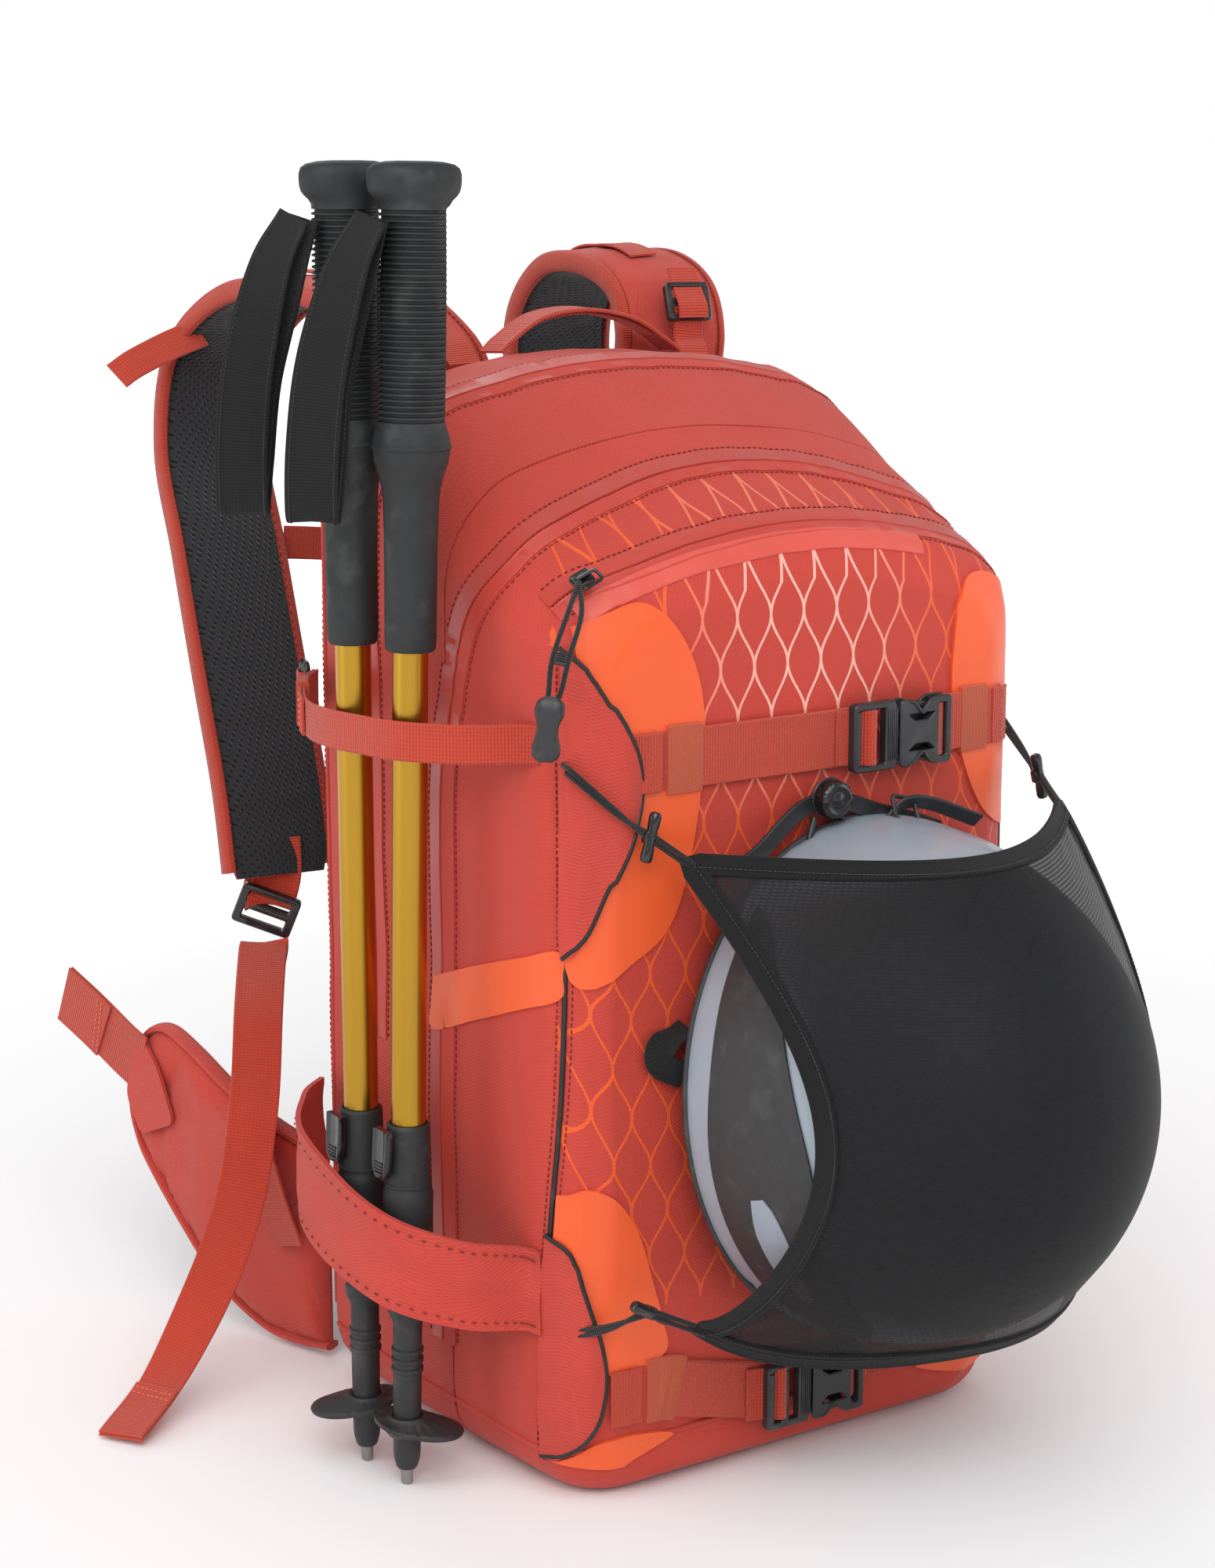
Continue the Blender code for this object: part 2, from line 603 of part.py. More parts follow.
def make_hip_belt():
    web_along = (0.1475, 0.165, 0.190, 0.216)
    web_heights = (0.148, 0.155, 0.168, 0.180)
    for side, sign in (("left", 1), ("right", -1)):
        rings = []
        for shrink, out in ((0.90, -0.5), (1.0, -0.3), (1.0, 0.3), (0.90, 0.5)):
            ring = []
            for along, z in WING_OUTLINE:
                s = 0.08 + (along - 0.08) * shrink if along > 0 else 0.0
                height = 0.090 + (z - 0.090) * (1 - (1 - shrink) * 0.5)
                p = wing_point(s, height, out * WING_THICKNESS)
                ring.append((sign * p.x, p.y, p.z))
            rings.append(ring)
        name = "hip_wing_" + side
        hinge = Vector((sign * WING_ROOT.x, WING_ROOT.y, 0))
        mesh = loft_mesh(name, [[Vector(p) - hinge for p in ring] for ring in rings])
        add_object(name, mesh, "coral_fabric", Matrix.Translation(hinge))
        name = "hip_webbing_" + side
        clear = WING_THICKNESS / 2 + WEB_THICKNESS / 2 + 2 * CLEARANCE
        path = [wing_point(s, z, clear) - WING_ROOT for s, z in zip(web_along, web_heights)]
        path = smooth_path([(sign * p.x, p.y, p.z) for p in path], 3)
        up = Vector((0, -0.28, 0.96))
        mesh = sweep_mesh(name, path, up, rectangle_section(HIP_WEB, WEB_THICKNESS))
        add_object(name, mesh, "webbing", Matrix.Translation(hinge))
    hinge = Vector((-WING_ROOT.x, WING_ROOT.y, 0))
    p = wing_point(0.2345, 0.189, WING_THICKNESS / 2)
    ahead = wing_point(0.216, 0.181) - wing_point(0.190, 0.168)
    frame = frame_mesh("hip_buckle", 0.030, 0.050, 0.0050, ((-0.006, 0.007), (0.007, 0.007)))
    outward = Vector((-WING_ALONG.y, WING_ALONG.x, 0.0))
    matrix = frame_matrix((-p.x, p.y, p.z), (-ahead.x, ahead.y, ahead.z),
                          (-outward.x, outward.y, 0))
    add_object("hip_buckle", frame, "black_plastic", matrix)


def make_haul_loop():
    path = smooth_path([(-0.049, 0.1000, 0.5755), (-0.040, 0.1010, 0.5825),
                        (-0.018, 0.1030, 0.5940), (0.012, 0.1040, 0.5970),
                        (0.042, 0.1030, 0.5910), (0.062, 0.1010, 0.5790),
                        (0.071, 0.1000, 0.5725)], 3)
    mesh = sweep_mesh("haul_loop", path, Vector((0, 1, 0)), rectangle_section(0.022, 0.0024))
    add_object("haul_loop", mesh, "webbing")


# ---------------------------------------------------------------- zips

def make_zip_slider(name, matrix):
    """Slider body with a bridge; the local Y axis runs along the teeth."""
    body = box_mesh(name, (0.0085, 0.0110, 0.0034), 0.0009, 1)
    item = add_object(name, body, "black_plastic", matrix)
    bridge = box_mesh(name + "_bridge", (0.0030, 0.0086, 0.0040), 0.0007, 1, (0, 0, 0.0026))
    add_boolean(item, add_cutter(name + "_bridge", bridge, matrix), "UNION")
    return item


def make_zips():
    reach = ZIP_RADIUS + 0.0040
    seat = Vector((reach * math.sin(ZIP_START), ZIP_Y - 0.010,
                   CROWN_CENTRE_Z + reach * math.cos(ZIP_START)))
    tangent = Vector((math.cos(ZIP_START), 0, -math.sin(ZIP_START)))
    outward = Vector((math.sin(ZIP_START), -0.8, math.cos(ZIP_START)))
    matrix = frame_matrix(seat, outward.cross(tangent), outward)
    make_zip_slider("zip_slider_pocket", matrix)

    hang = smooth_path([seat + Vector((-0.0070, -0.0080, 0.0005)),
                        (-0.1440, -0.1290, 0.468), (-0.1570, -0.1370, 0.449),
                        (-0.1620, -0.1395, 0.434)], 4)
    widths = [0.0025] * 3 + [0.0045] * (len(hang) - 3)
    hang += [Vector((-0.1640, -0.1402, 0.430)), Vector((-0.1665, -0.1405, 0.421)),
             Vector((-0.1675, -0.1405, 0.412)), Vector((-0.1682, -0.1405, 0.402))]
    widths += [0.0150, 0.0105, 0.0140, 0.0120]
    thick = [0.0025] * (len(widths) - 4) + [0.0075, 0.0070, 0.0075, 0.0060]
    rings = []
    across = Vector((0.832, -0.555, 0))
    for i, point in enumerate(hang):
        tangent = (hang[min(i + 1, len(hang) - 1)] - hang[max(i - 1, 0)]).normalized()
        side = (across - across.dot(tangent) * tangent).normalized()
        normal = tangent.cross(side)
        rings.append([point + side * u + normal * v - hang[0]
                      for u, v in pad_section(widths[i], thick[i], 8)])
    add_object("zip_pull_grip", loft_mesh("zip_pull_grip", rings), "black_plastic",
               Matrix.Translation(hang[0]))

    side_x = 0.1580 + CLEARANCE + 0.0019
    matrix = frame_matrix((side_x, 0.0350, 0.2150), (0, -1, 0), (1, 0, 0))
    make_zip_slider("zip_slider_main", matrix)


# ---------------------------------------------------------------- helmet

def dome_rings(grow, rim_y, levels=7, sides=28):
    """Rings of the helmet dome from rim to crown, in its own frame."""
    width, tall, length = (r + grow for r in HELMET_RADII)
    rings = []
    for i in range(levels):
        lift = math.radians(82) * i / (levels - 1)
        spread = math.cos(lift) ** 0.88
        y = rim_y - (tall + rim_y) * math.sin(lift)
        rings.append([(width * spread * math.cos(2 * math.pi * k / sides), y,
                       length * spread * math.sin(2 * math.pi * k / sides))
                      for k in range(sides)])
    return rings


def helmet_matrix():
    return Matrix.Translation(HELMET_CENTRE) @ Matrix.Rotation(HELMET_TILT, 4, "X")


def make_helmet():
    gap = 0.0006
    outer = dome_rings(0.0, 0.0)
    inner = dome_rings(-SHELL_THICKNESS, 0.0)
    mesh = loft_mesh("helmet_shell", outer[::-1] + inner)
    add_object("helmet_shell", mesh, "helmet_shell", helmet_matrix())
    outer = dome_rings(-SHELL_THICKNESS - gap, 0.0025)
    inner = dome_rings(-SHELL_THICKNESS - gap - LINER_THICKNESS, 0.0025)
    mesh = loft_mesh("helmet_liner", outer[::-1] + inner)
    add_object("helmet_liner", mesh, "helmet_foam", helmet_matrix())

    bm = bmesh.new()
    bmesh.ops.create_cone(bm, cap_ends=True, segments=24, radius1=DIAL_RADIUS,
                          radius2=DIAL_RADIUS * 0.86, depth=0.0085)
    mesh = bpy.data.meshes.new("fit_dial")
    bm.to_mesh(mesh)
    bm.free()
    matrix = frame_matrix(DIAL_CENTRE, (1, 0, 0), (0, -1, 0))
    add_object("fit_dial", mesh, "black_plastic", matrix)


def net_height(across, along):
    """Height of the stretched net: the dome, then a straight run to the corners."""
    width, tall, length = (r + NET_OFF for r in HELMET_RADII)
    distance = math.hypot(across / width, along / length)
    contact = 1 / NET_REACH
    if distance < contact:
        return tall * math.sqrt(1 - distance ** 2)
    top = tall * math.sqrt(1 - contact ** 2)
    return top * max(0.0, (NET_REACH - distance) / (NET_REACH - contact))


def make_net():
    bm = bmesh.new()
    bmesh.ops.create_grid(bm, x_segments=NET_CELLS, y_segments=NET_CELLS, size=1.0)
    for vert in bm.verts:
        u, v = vert.co.x, vert.co.y
        across = u * (NET_HALF_WIDTH - 0.018 * math.cos(v * math.pi / 2))
        along = v * (NET_HALF_LENGTH - 0.008 * math.cos(u * math.pi / 2))
        low = ((1 - u) / 2 * (1 - v) / 2) ** 12
        high = ((1 + u) / 2 * (1 + v) / 2) ** 12
        across += NET_LOW_PULL[0] * low + NET_HIGH_PULL * high
        along += NET_LOW_PULL[1] * low
        height = net_height(across, along) * (1 - 0.75 * low)
        vert.co = (across, -height - 0.001, along)
    bmesh.ops.recalc_face_normals(bm, faces=bm.faces)
    for face in bm.faces:
        if face.normal.y > 0:
            face.normal_flip()
    mesh = bpy.data.meshes.new("helmet_net")
    bm.to_mesh(mesh)
    bm.free()
    item = add_object("helmet_net", mesh, "black_mesh", helmet_matrix())
    solidify = item.modifiers.new("cloth", "SOLIDIFY")
    solidify.thickness = NET_THICKNESS
    solidify.offset = 1.0
    corners = {"net_toggle_top_left": ((-0.1085, -0.1430, 0.3560), 15),
               "net_toggle_top_right": ((0.1465, -0.1405, 0.3560), -15),
               "net_toggle_bottom_left": ((-0.1180, -0.1580, 0.1145), -60)}
    for name, (position, lean) in corners.items():
        mesh = box_mesh(name, (0.0070, 0.0070, 0.0250), 0.0018)
        turn = Matrix.Rotation(math.radians(lean), 4, "Y")
        add_object(name, mesh, "black_plastic", Matrix.Translation(position) @ turn)


# ---------------------------------------------------------------- poles

def place(item, frame, at=(0, 0, 0)):
    item.parent = frame
    item.location = at


def make_grip(name, frame):
    """Head, ribbed hand part and foam extension, bored from below for the shaft."""
    rings = [circle_ring(0.012, 0.008, 0.6815, shift_x=0.001),
             circle_ring(0.022, 0.014, 0.6800, shift_x=0.001),
             circle_ring(0.0250, 0.0160, 0.6755, shift_x=0.001),
             circle_ring(0.0245, 0.0158, 0.6665, shift_x=0.001),
             circle_ring(0.0175, 0.0165, 0.6590)]
    for z, radius in ((0.6400, 0.0165), (0.6000, 0.0168), (0.5560, 0.0165), (0.5470, 0.0192),
                      (0.5380, 0.0188), (0.5220, 0.0142), (0.5000, 0.0132),
                      (0.4480, 0.0130), (GRIP_BOTTOM, 0.0118)):
        rings.append(circle_ring(radius, radius, z))
    bore = SHAFT_RADIUS + 0.0005
    rings.append(circle_ring(bore, bore, GRIP_BOTTOM))
    rings.append(circle_ring(bore, bore, 0.6560))
    place(add_object(name, loft_mesh(name, rings), "pole_rubber"), frame)


def make_wrist_strap(name, frame, sways):
    """Hanging loop of webbing that leaves the grip edge-on and then turns flat."""
    route = [(-0.0195, 0.0060, 0.6540), (-0.0270, 0.0085, 0.6300), (-0.0370, 0.0230, 0.5800),
             (-0.0410, 0.0270, 0.5350), (-0.0450, 0.0250, 0.5100), (-0.0490, 0.0180, 0.5150),
             (-0.0500, 0.0130, 0.5450), (-0.0460, 0.0090, 0.5850), (-0.0360, 0.0020, 0.6300),
             (-0.0250, -0.0040, 0.6550)]
    angles = [95, 106, 138, 146, 146, 146, 146, 138, 115, 100]
    sides = [(math.cos(math.radians(a)), math.sin(math.radians(a)), 0) for a in angles]
    path = smooth_path([(x, y + sway, z) for (x, y, z), sway in zip(route, sways)], 3)
    across = smooth_path(sides, 3)
    mesh = sweep_mesh(name, path, across, rectangle_section(0.026, WEB_THICKNESS))
    place(add_object(name, mesh, "foam_mesh"), frame)


def make_upper_shaft(name, frame):
    """Straight tube, open at both ends: outer wall up, inner wall down."""
    rings = [circle_ring(SHAFT_BORE, SHAFT_BORE, SHAFT_BOTTOM),
             circle_ring(SHAFT_RADIUS, SHAFT_RADIUS, SHAFT_BOTTOM),
             circle_ring(SHAFT_RADIUS, SHAFT_RADIUS, 0.6550),
             circle_ring(SHAFT_BORE, SHAFT_BORE, 0.6550)]
    place(add_object(name, ring_tube(name, rings), "gold_tube"), frame)


def ring_tube(name, rings):
    """Closed wall through rings whose last joins the first."""
    bm = bmesh.new()
    loops = [[bm.verts.new(point) for point in ring] for ring in rings]
    count = len(rings[0])
    for lower, upper in zip(loops, loops[1:] + loops[:1]):
        for i in range(count):
            j = (i + 1) % count
            bm.faces.new((lower[i], lower[j], upper[j], upper[i]))
    bmesh.ops.recalc_face_normals(bm, faces=bm.faces)
    mesh = bpy.data.meshes.new(name)
    bm.to_mesh(mesh)
    bm.free()
    return mesh


def make_lock(suffix, frame):
    """Clamp collar on the foot of the upper shaft, and its lever."""
    wide = SHAFT_RADIUS + 0.0005
    narrow = ROD_RADIUS + 0.0005
    step = SHAFT_BOTTOM - 0.0005
    rings = [circle_ring(narrow, narrow, COLLAR_BOTTOM),
             circle_ring(0.0095, 0.0095, COLLAR_BOTTOM),
             circle_ring(0.0120, 0.0120, 0.1180),
             circle_ring(COLLAR_RADIUS, COLLAR_RADIUS, 0.1350),
             circle_ring(COLLAR_RADIUS, COLLAR_RADIUS, 0.1620),
             circle_ring(0.0116, 0.0116, 0.1700),
             circle_ring(0.0112, 0.0112, COLLAR_TOP),
             circle_ring(wide, wide, COLLAR_TOP),
             circle_ring(wide, wide, step),
             circle_ring(narrow, narrow, step)]
    name = "lock_collar_" + suffix
    place(add_object(name, ring_tube(name, rings), "pole_rubber"), frame)
    name = "lock_lever_" + suffix
    mesh = box_mesh(name, (0.0052, 0.0140, 0.0260), 0.0012, 1,
                    (0, 0, LEVER_CENTRE_Z - LEVER_PIVOT_Z))
    place(add_object(name, mesh, "pole_rubber"), frame, (LEVER_X, 0, LEVER_PIVOT_Z))


def make_lower_shaft(name, frame):
    """Slender rod with the tip ferrule moulded on its foot."""
    profile = ((0.0000, 0.0030), (0.0080, 0.0036), (0.0100, 0.0058), (0.0180, 0.0072),
               (0.0420, 0.0074), (0.0900, 0.0076), (0.0950, 0.0102), (0.0995, 0.0102),
               (0.1020, 0.0085), (0.1022, ROD_RADIUS), (0.4300, ROD_RADIUS))
    rings = [circle_ring(radius, radius, z) for z, radius in profile]
    place(add_object(name, loft_mesh(name, rings), "steel"), frame)


def make_basket(name, frame, tail):
    """Teardrop dish round the ferrule, its tail lower than its rim."""
    sides = 20
    bore = 0.0080
    hole, rim, edge = [], [], []
    for i in range(sides):
        angle = 2 * math.pi * i / sides
        away = math.cos(angle - tail)
        reach = 0.0175 + 0.0125 * max(0.0, away) ** 3
        x, y = math.cos(angle), math.sin(angle)
        hole.append((bore * x, bore * y))
        rim.append((reach * x, reach * y))
        edge.append(0.0040 * away)
    rings = [[(x, y, 0.0275) for x, y in hole], [(x, y, 0.0380) for x, y in hole],
             [(x * 1.28, y * 1.28, 0.0380) for x, y in hole],
             [(x, y, 0.0345 - e) for (x, y), e in zip(rim, edge)],
             [(x * 0.97, y * 0.97, 0.0318 - e) for (x, y), e in zip(rim, edge)],
             [(x * 1.25, y * 1.25, 0.0275) for x, y in hole]]
    place(add_object(name, ring_tube(name, rings), "pole_rubber"), frame)


def make_pole(suffix, ends, tail, sways):
    tip, top = ends
    lean = (top - tip).normalized()
    frame = bpy.data.objects.new("pole_axis_" + suffix, None)
    frame.matrix_world = Matrix.Translation(tip) @ Vector((0, 0, 1)).rotation_difference(
        lean).to_matrix().to_4x4()
    PARTS.objects.link(frame)
    make_grip("pole_grip_" + suffix, frame)
    make_wrist_strap("wrist_strap_" + suffix, frame, sways)
    make_upper_shaft("upper_shaft_" + suffix, frame)
    make_lock(suffix, frame)
    make_lower_shaft("lower_shaft_" + suffix, frame)
    make_basket("basket_" + suffix, frame, tail)


# ---------------------------------------------------------------- assembly

clear_scene()
PARTS = make_collection(OBJECT_NAME)
CUTTERS = make_collection("cutters")

front = make_front_compartment()
make_main_compartment()
make_frame_sheet()
make_back_panel()
bpy.context.view_layer.update()
front_surface = surface_of(front)
make_front_straps(front_surface)
make_front_buckles(front_surface)
make_pole_loops()
make_side_straps()
make_shoulder_straps()
make_strap_webbing()
make_load_lifters()
make_sternum_strap()
make_hip_belt()
make_haul_loop()
make_zips()
make_helmet()
make_net()
make_pole("near", NEAR_POLE, math.radians(-35), NEAR_SWAYS)
make_pole("far", FAR_POLE, math.radians(145), FAR_SWAYS)
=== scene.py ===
"""Looks of a ski touring backpack that carries two trekking poles and a helmet in a net.

Metres, +Z up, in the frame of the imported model.  The front of the pack faces -Y,
the wearer's side faces +Y and the poles are on the -X side.
"""

import math

import bmesh
import bpy
from mathutils import Matrix, Vector, geometry, noise
from mathutils.bvhtree import BVHTree
from mathutils.kdtree import KDTree


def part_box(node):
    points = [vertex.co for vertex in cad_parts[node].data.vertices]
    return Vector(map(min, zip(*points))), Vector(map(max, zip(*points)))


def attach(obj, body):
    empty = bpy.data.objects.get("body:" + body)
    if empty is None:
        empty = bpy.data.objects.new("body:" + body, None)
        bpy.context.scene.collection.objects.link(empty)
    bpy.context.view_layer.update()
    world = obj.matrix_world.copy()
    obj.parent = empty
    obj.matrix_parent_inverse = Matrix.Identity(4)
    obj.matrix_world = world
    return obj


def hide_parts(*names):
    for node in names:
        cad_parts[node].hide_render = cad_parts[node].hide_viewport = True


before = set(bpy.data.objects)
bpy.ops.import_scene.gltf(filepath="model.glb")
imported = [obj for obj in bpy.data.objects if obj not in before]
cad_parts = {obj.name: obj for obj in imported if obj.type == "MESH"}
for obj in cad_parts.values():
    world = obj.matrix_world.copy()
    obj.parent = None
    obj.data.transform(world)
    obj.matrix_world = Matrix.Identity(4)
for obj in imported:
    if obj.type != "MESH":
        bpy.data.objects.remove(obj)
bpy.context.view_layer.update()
SCENE = bpy.context.scene

# Camera
CAMERA_PLACE = Vector((-0.9356, -1.3452, 0.7010))
CAMERA_AHEAD = Vector((0.542, 0.813, -0.213))
CAMERA_LENS = 70.0

# Pack body: each station is (y, half width, height, corner radius, base height).
CROWN_CENTRE_Z = 0.173
BASE_CORNER = 0.030
FRONT_STATIONS = (
    (-0.1280, 0.1220, 0.474, 0.030, 0.010),
    (-0.1180, 0.1390, 0.494, 0.040, 0.003),
    (-0.1020, 0.1475, 0.503, 0.045, 0.000),
    (-0.0620, 0.1520, 0.524, 0.055, 0.000),
    (-0.0255, 0.1550, 0.5425, 0.065, 0.000),
)
REAR_STATIONS = (
    (-0.0245, 0.1550, 0.543, 0.065, 0.000),
    (0.0350, 0.1580, 0.575, 0.070, 0.000),
    (0.0850, 0.1590, 0.577, 0.070, 0.000),
    (0.1020, 0.1570, 0.571, 0.070, 0.002),
    (0.1120, 0.1500, 0.562, 0.065, 0.006),
)
DOME_BULGE = 0.0062
DOME_CENTRE_Z = 0.240
OUTLINE_POINTS = 300

# Webbing
WEB_THICKNESS = 0.0016
FRONT_WEB = 0.030
SIDE_WEB = 0.020
SHOULDER_WEB = 0.028
HIP_WEB = 0.040
UPPER_STRAP_Z = 0.391
LOWER_STRAP_Z = 0.041
LOWER_STRAP_RISE = 0.018         # how much higher the lower strap is sewn than its buckle
STRAP_LEVEL_RUN = 0.018          # a strap is level this far either side of its buckle
STRAP_SLOPE_RUN = 0.067          # and has risen fully this much further out
STRAP_AXIS_Y = -0.030            # front straps are measured outwards from this line
SIDE_STRAP_Z = 0.400
UPPER_BUCKLE_X = 0.045
LOWER_BUCKLE_X = -0.004

STITCH_RADIUS = 0.0004
UP = Vector((0, 0, 1))
ACROSS = Vector((1, 0, 0))
BACK = Vector((0, 1, 0))


# ---------------------------------------------------------------- mesh toolkit

def path_length(path):
    return sum((b - a).length for a, b in zip(path, path[1:]))


def heading(path, i, loop=False):
    """Unit direction of a path at its point i."""
    if loop:
        return (path[(i + 1) % len(path)] - path[i - 1]).normalized()
    return (path[min(i + 1, len(path) - 1)] - path[max(i - 1, 0)]).normalized()


def square_to(side, tangent):
    """The part of side that is square to the tangent, at unit length."""
    return (side - side.dot(tangent) * tangent).normalized()


class Shape:
    """Vertices and faces gathered into one mesh, with a cloth coordinate per vertex."""

    def __init__(self):
        self.verts = []
        self.faces = []
        self.cloth = []
        self.slots = []

    def add(self, verts, faces, cloth=None, slot=0):
        base = len(self.verts)
        self.verts += [Vector(v) for v in verts]
        self.faces += [tuple(base + i for i in face) for face in faces]
        self.cloth += cloth if cloth else [(0.0, 0.0, 0.0)] * len(verts)
        self.slots += [slot] * len(faces)

    def loft(self, rings, caps=True, loop=False, cloth=None, slot=0):
        """Skin through closed rings of equal length."""
        count = len(rings[0])
        verts = [v for ring in rings for v in ring]
        faces = []
        spans = len(rings) if loop else len(rings) - 1
        for k in range(spans):
            a, b = k * count, (k + 1) % len(rings) * count
            for i in range(count):
                j = (i + 1) % count
                faces.append((a + i, a + j, b + j, b + i))
        if caps and not loop:
            faces.append(tuple(range(count)))
            faces.append(tuple(len(verts) - count + i for i in reversed(range(count))))
        self.add(verts, faces, cloth, slot)

    def sweep(self, path, sides, section, loop=False):
        """Section, one for all or one per point, swept along a path."""
        rings, cloth = [], []
        travelled = 0.0
        for i, point in enumerate(path):
            if i:
                travelled += (path[i] - path[i - 1]).length
            tangent = heading(path, i, loop)
            across = square_to(sides[i] if isinstance(sides, list) else sides, tangent)
            normal = tangent.cross(across)
            outline = section[i] if isinstance(section[0], list) else section
            rings.append([point + across * u + normal * v for u, v in outline])
            cloth += [(u, travelled, v) for u, v in outline]
        self.loft(rings, caps=not loop, loop=loop, cloth=cloth)

    def web(self, path, sides, width, thickness=WEB_THICKNESS, steps=6):
        """Flat woven band along a path."""
        self.sweep(path, sides, web_section(width, thickness, steps))

    def tube(self, path, radius, sides=10, loop=False):
        """Round cord; its section turns smoothly with the path."""
        side = (path[1] - path[0]).normalized().orthogonal().normalized()
        frames = []
        for i in range(len(path)):
            side = square_to(side, heading(path, i, loop))
            frames.append(side)
        radii = radius if isinstance(radius, list) else [radius] * len(path)
        self.sweep(path, frames, [ring_section(r, sides) for r in radii], loop)

    def lathe(self, profile, sides=40, caps=True, loop=False, slot=0, shape=None):
        """Turned form about Z through (z, radius) pairs; shape widens each radius."""
        rings = []
        for z, radius in profile:
            ring = []
            for i in range(sides):
                angle = 2 * math.pi * i / sides
                reach = radius * (shape(angle, z) if shape else 1.0)
                ring.append((reach * math.cos(angle), reach * math.sin(angle), z))
            rings.append(ring)
        self.loft(rings, caps, loop, slot=slot)

    def box(self, size, centre, bevel, segments=3):
        """Block with rounded edges."""
        bm = bmesh.new()
        bmesh.ops.create_cube(bm, size=1.0, matrix=Matrix.Diagonal((*size, 1.0)))
        bmesh.ops.bevel(bm, geom=list(bm.edges), offset=bevel, segments=segments,
                        profile=0.5, affect="EDGES")
        bm.verts.index_update()
        self.add([v.co + Vector(centre) for v in bm.verts],
                 [tuple(v.index for v in f.verts) for f in bm.faces])
        bm.free()

    def mesh(self, name, matrix=None, sharp=38):
        """Blender mesh of the shape; edges sharper than the angle in degrees stay crisp."""
        mesh = bpy.data.meshes.new(name)
        verts = [matrix @ v for v in self.verts] if matrix is not None else self.verts
        mesh.from_pydata([tuple(v) for v in verts], [], self.faces)
        layer = mesh.attributes.new("cloth", "FLOAT_VECTOR", "POINT")
        layer.data.foreach_set("vector", [c for row in self.cloth for c in row])
        mesh.polygons.foreach_set("material_index", self.slots)
        tidy_normals(mesh)
        mesh.shade_smooth()
        mesh.set_sharp_from_angle(angle=math.radians(sharp))
        return mesh


def tidy_normals(mesh):
    bm = bmesh.new()
    bm.from_mesh(mesh)
    bmesh.ops.recalc_face_normals(bm, faces=list(bm.faces))
    bm.to_mesh(mesh)
    bm.free()


def piece(name, mesh, material, body="pack", nodes=()):
    """Visible object that rides on a body and stands for the named CAD nodes."""
    item = bpy.data.objects.new(name, mesh)
    for one in material if isinstance(material, list) else [material]:
        mesh.materials.append(one)
    SCENE.collection.objects.link(item)
    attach(item, body)
    if nodes:
        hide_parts(*nodes)
    return item


def smooth_path(points, per_span=8):
    """Catmull-Rom curve through the points."""
    points = [Vector(p) for p in points]
    guard = [2 * points[0] - points[1]] + points + [2 * points[-1] - points[-2]]
    out = []
    for i in range(1, len(guard) - 2):
        a, b, c, d = guard[i - 1:i + 3]
        for k in range(per_span):
            t = k / per_span
            out.append(0.5 * (2 * b + (c - a) * t + (2 * a - 5 * b + 4 * c - d) * t ** 2
                              + (3 * b - a - 3 * c + d) * t ** 3))
    out.append(points[-1])
    return out


def smooth_values(values, per_span):
    """Numbers eased between the given ones as smooth_path does with points."""
    return [point.x for point in smooth_path([(value, 0, 0) for value in values], per_span)]


def even_path(path, step):
    """The same line with points an even distance apart."""
    total = path_length(path)
    count = max(2, round(total / step))
    out = [path[0].copy()]
    left, want = 0.0, total / count
    for a, b in zip(path, path[1:]):
        span = (b - a).length
        while span > 1e-9 and left + span >= want * len(out) and len(out) < count:
            out.append(a.lerp(b, (want * len(out) - left) / span))
        left += span
    out.append(path[-1].copy())
    return out


def ring_section(radius, sides=10):
    return [(radius * math.cos(2 * math.pi * i / sides),
             radius * math.sin(2 * math.pi * i / sides)) for i in range(sides)]


def web_section(width, thickness=WEB_THICKNESS, steps=6):
    """Flat woven band: rounded selvedges a little thicker than its middle."""
    w, t = width / 2, thickness / 2
    upper = [(w, t * 0.45), (w - 0.0005, t), (w - 0.0016, t)]
    inner = w - 0.0024
    upper += [(inner - 2 * inner * i / steps, t * 0.80) for i in range(steps + 1)]
    upper += [(-w + 0.0016, t), (-w + 0.0005, t), (-w, t * 0.45)]
    return upper + [(u, -v) for u, v in reversed(upper)]


def pad_section(width, thickness, sides=28):
    """Flat oval for padded straps."""
    out = []
    for i in range(sides):
        angle = 2 * math.pi * (i + 0.5) / sides
        c, s = math.cos(angle), math.sin(angle)
        out.append((width / 2 * math.copysign(abs(c) ** 0.45, c),
                    thickness / 2 * math.copysign(abs(s) ** 0.6, s)))
    return out


def flipped(point, sign):
    """The point, or its mirror image on the other side of the pack when sign is -1."""
    return Vector((sign * point.x, point.y, point.z))


def frame_matrix(position, along, normal):
    """Frame whose local X runs along and whose local Z is the normal."""
    x_axis = Vector(along).normalized()
    z_axis = Vector(normal)
    z_axis = (z_axis - z_axis.dot(x_axis) * x_axis).normalized()
    y_axis = z_axis.cross(x_axis)
    basis = Matrix((x_axis, y_axis, z_axis)).transposed().to_4x4()
    return Matrix.Translation(Vector(position)) @ basis


# ---------------------------------------------------------------- materials

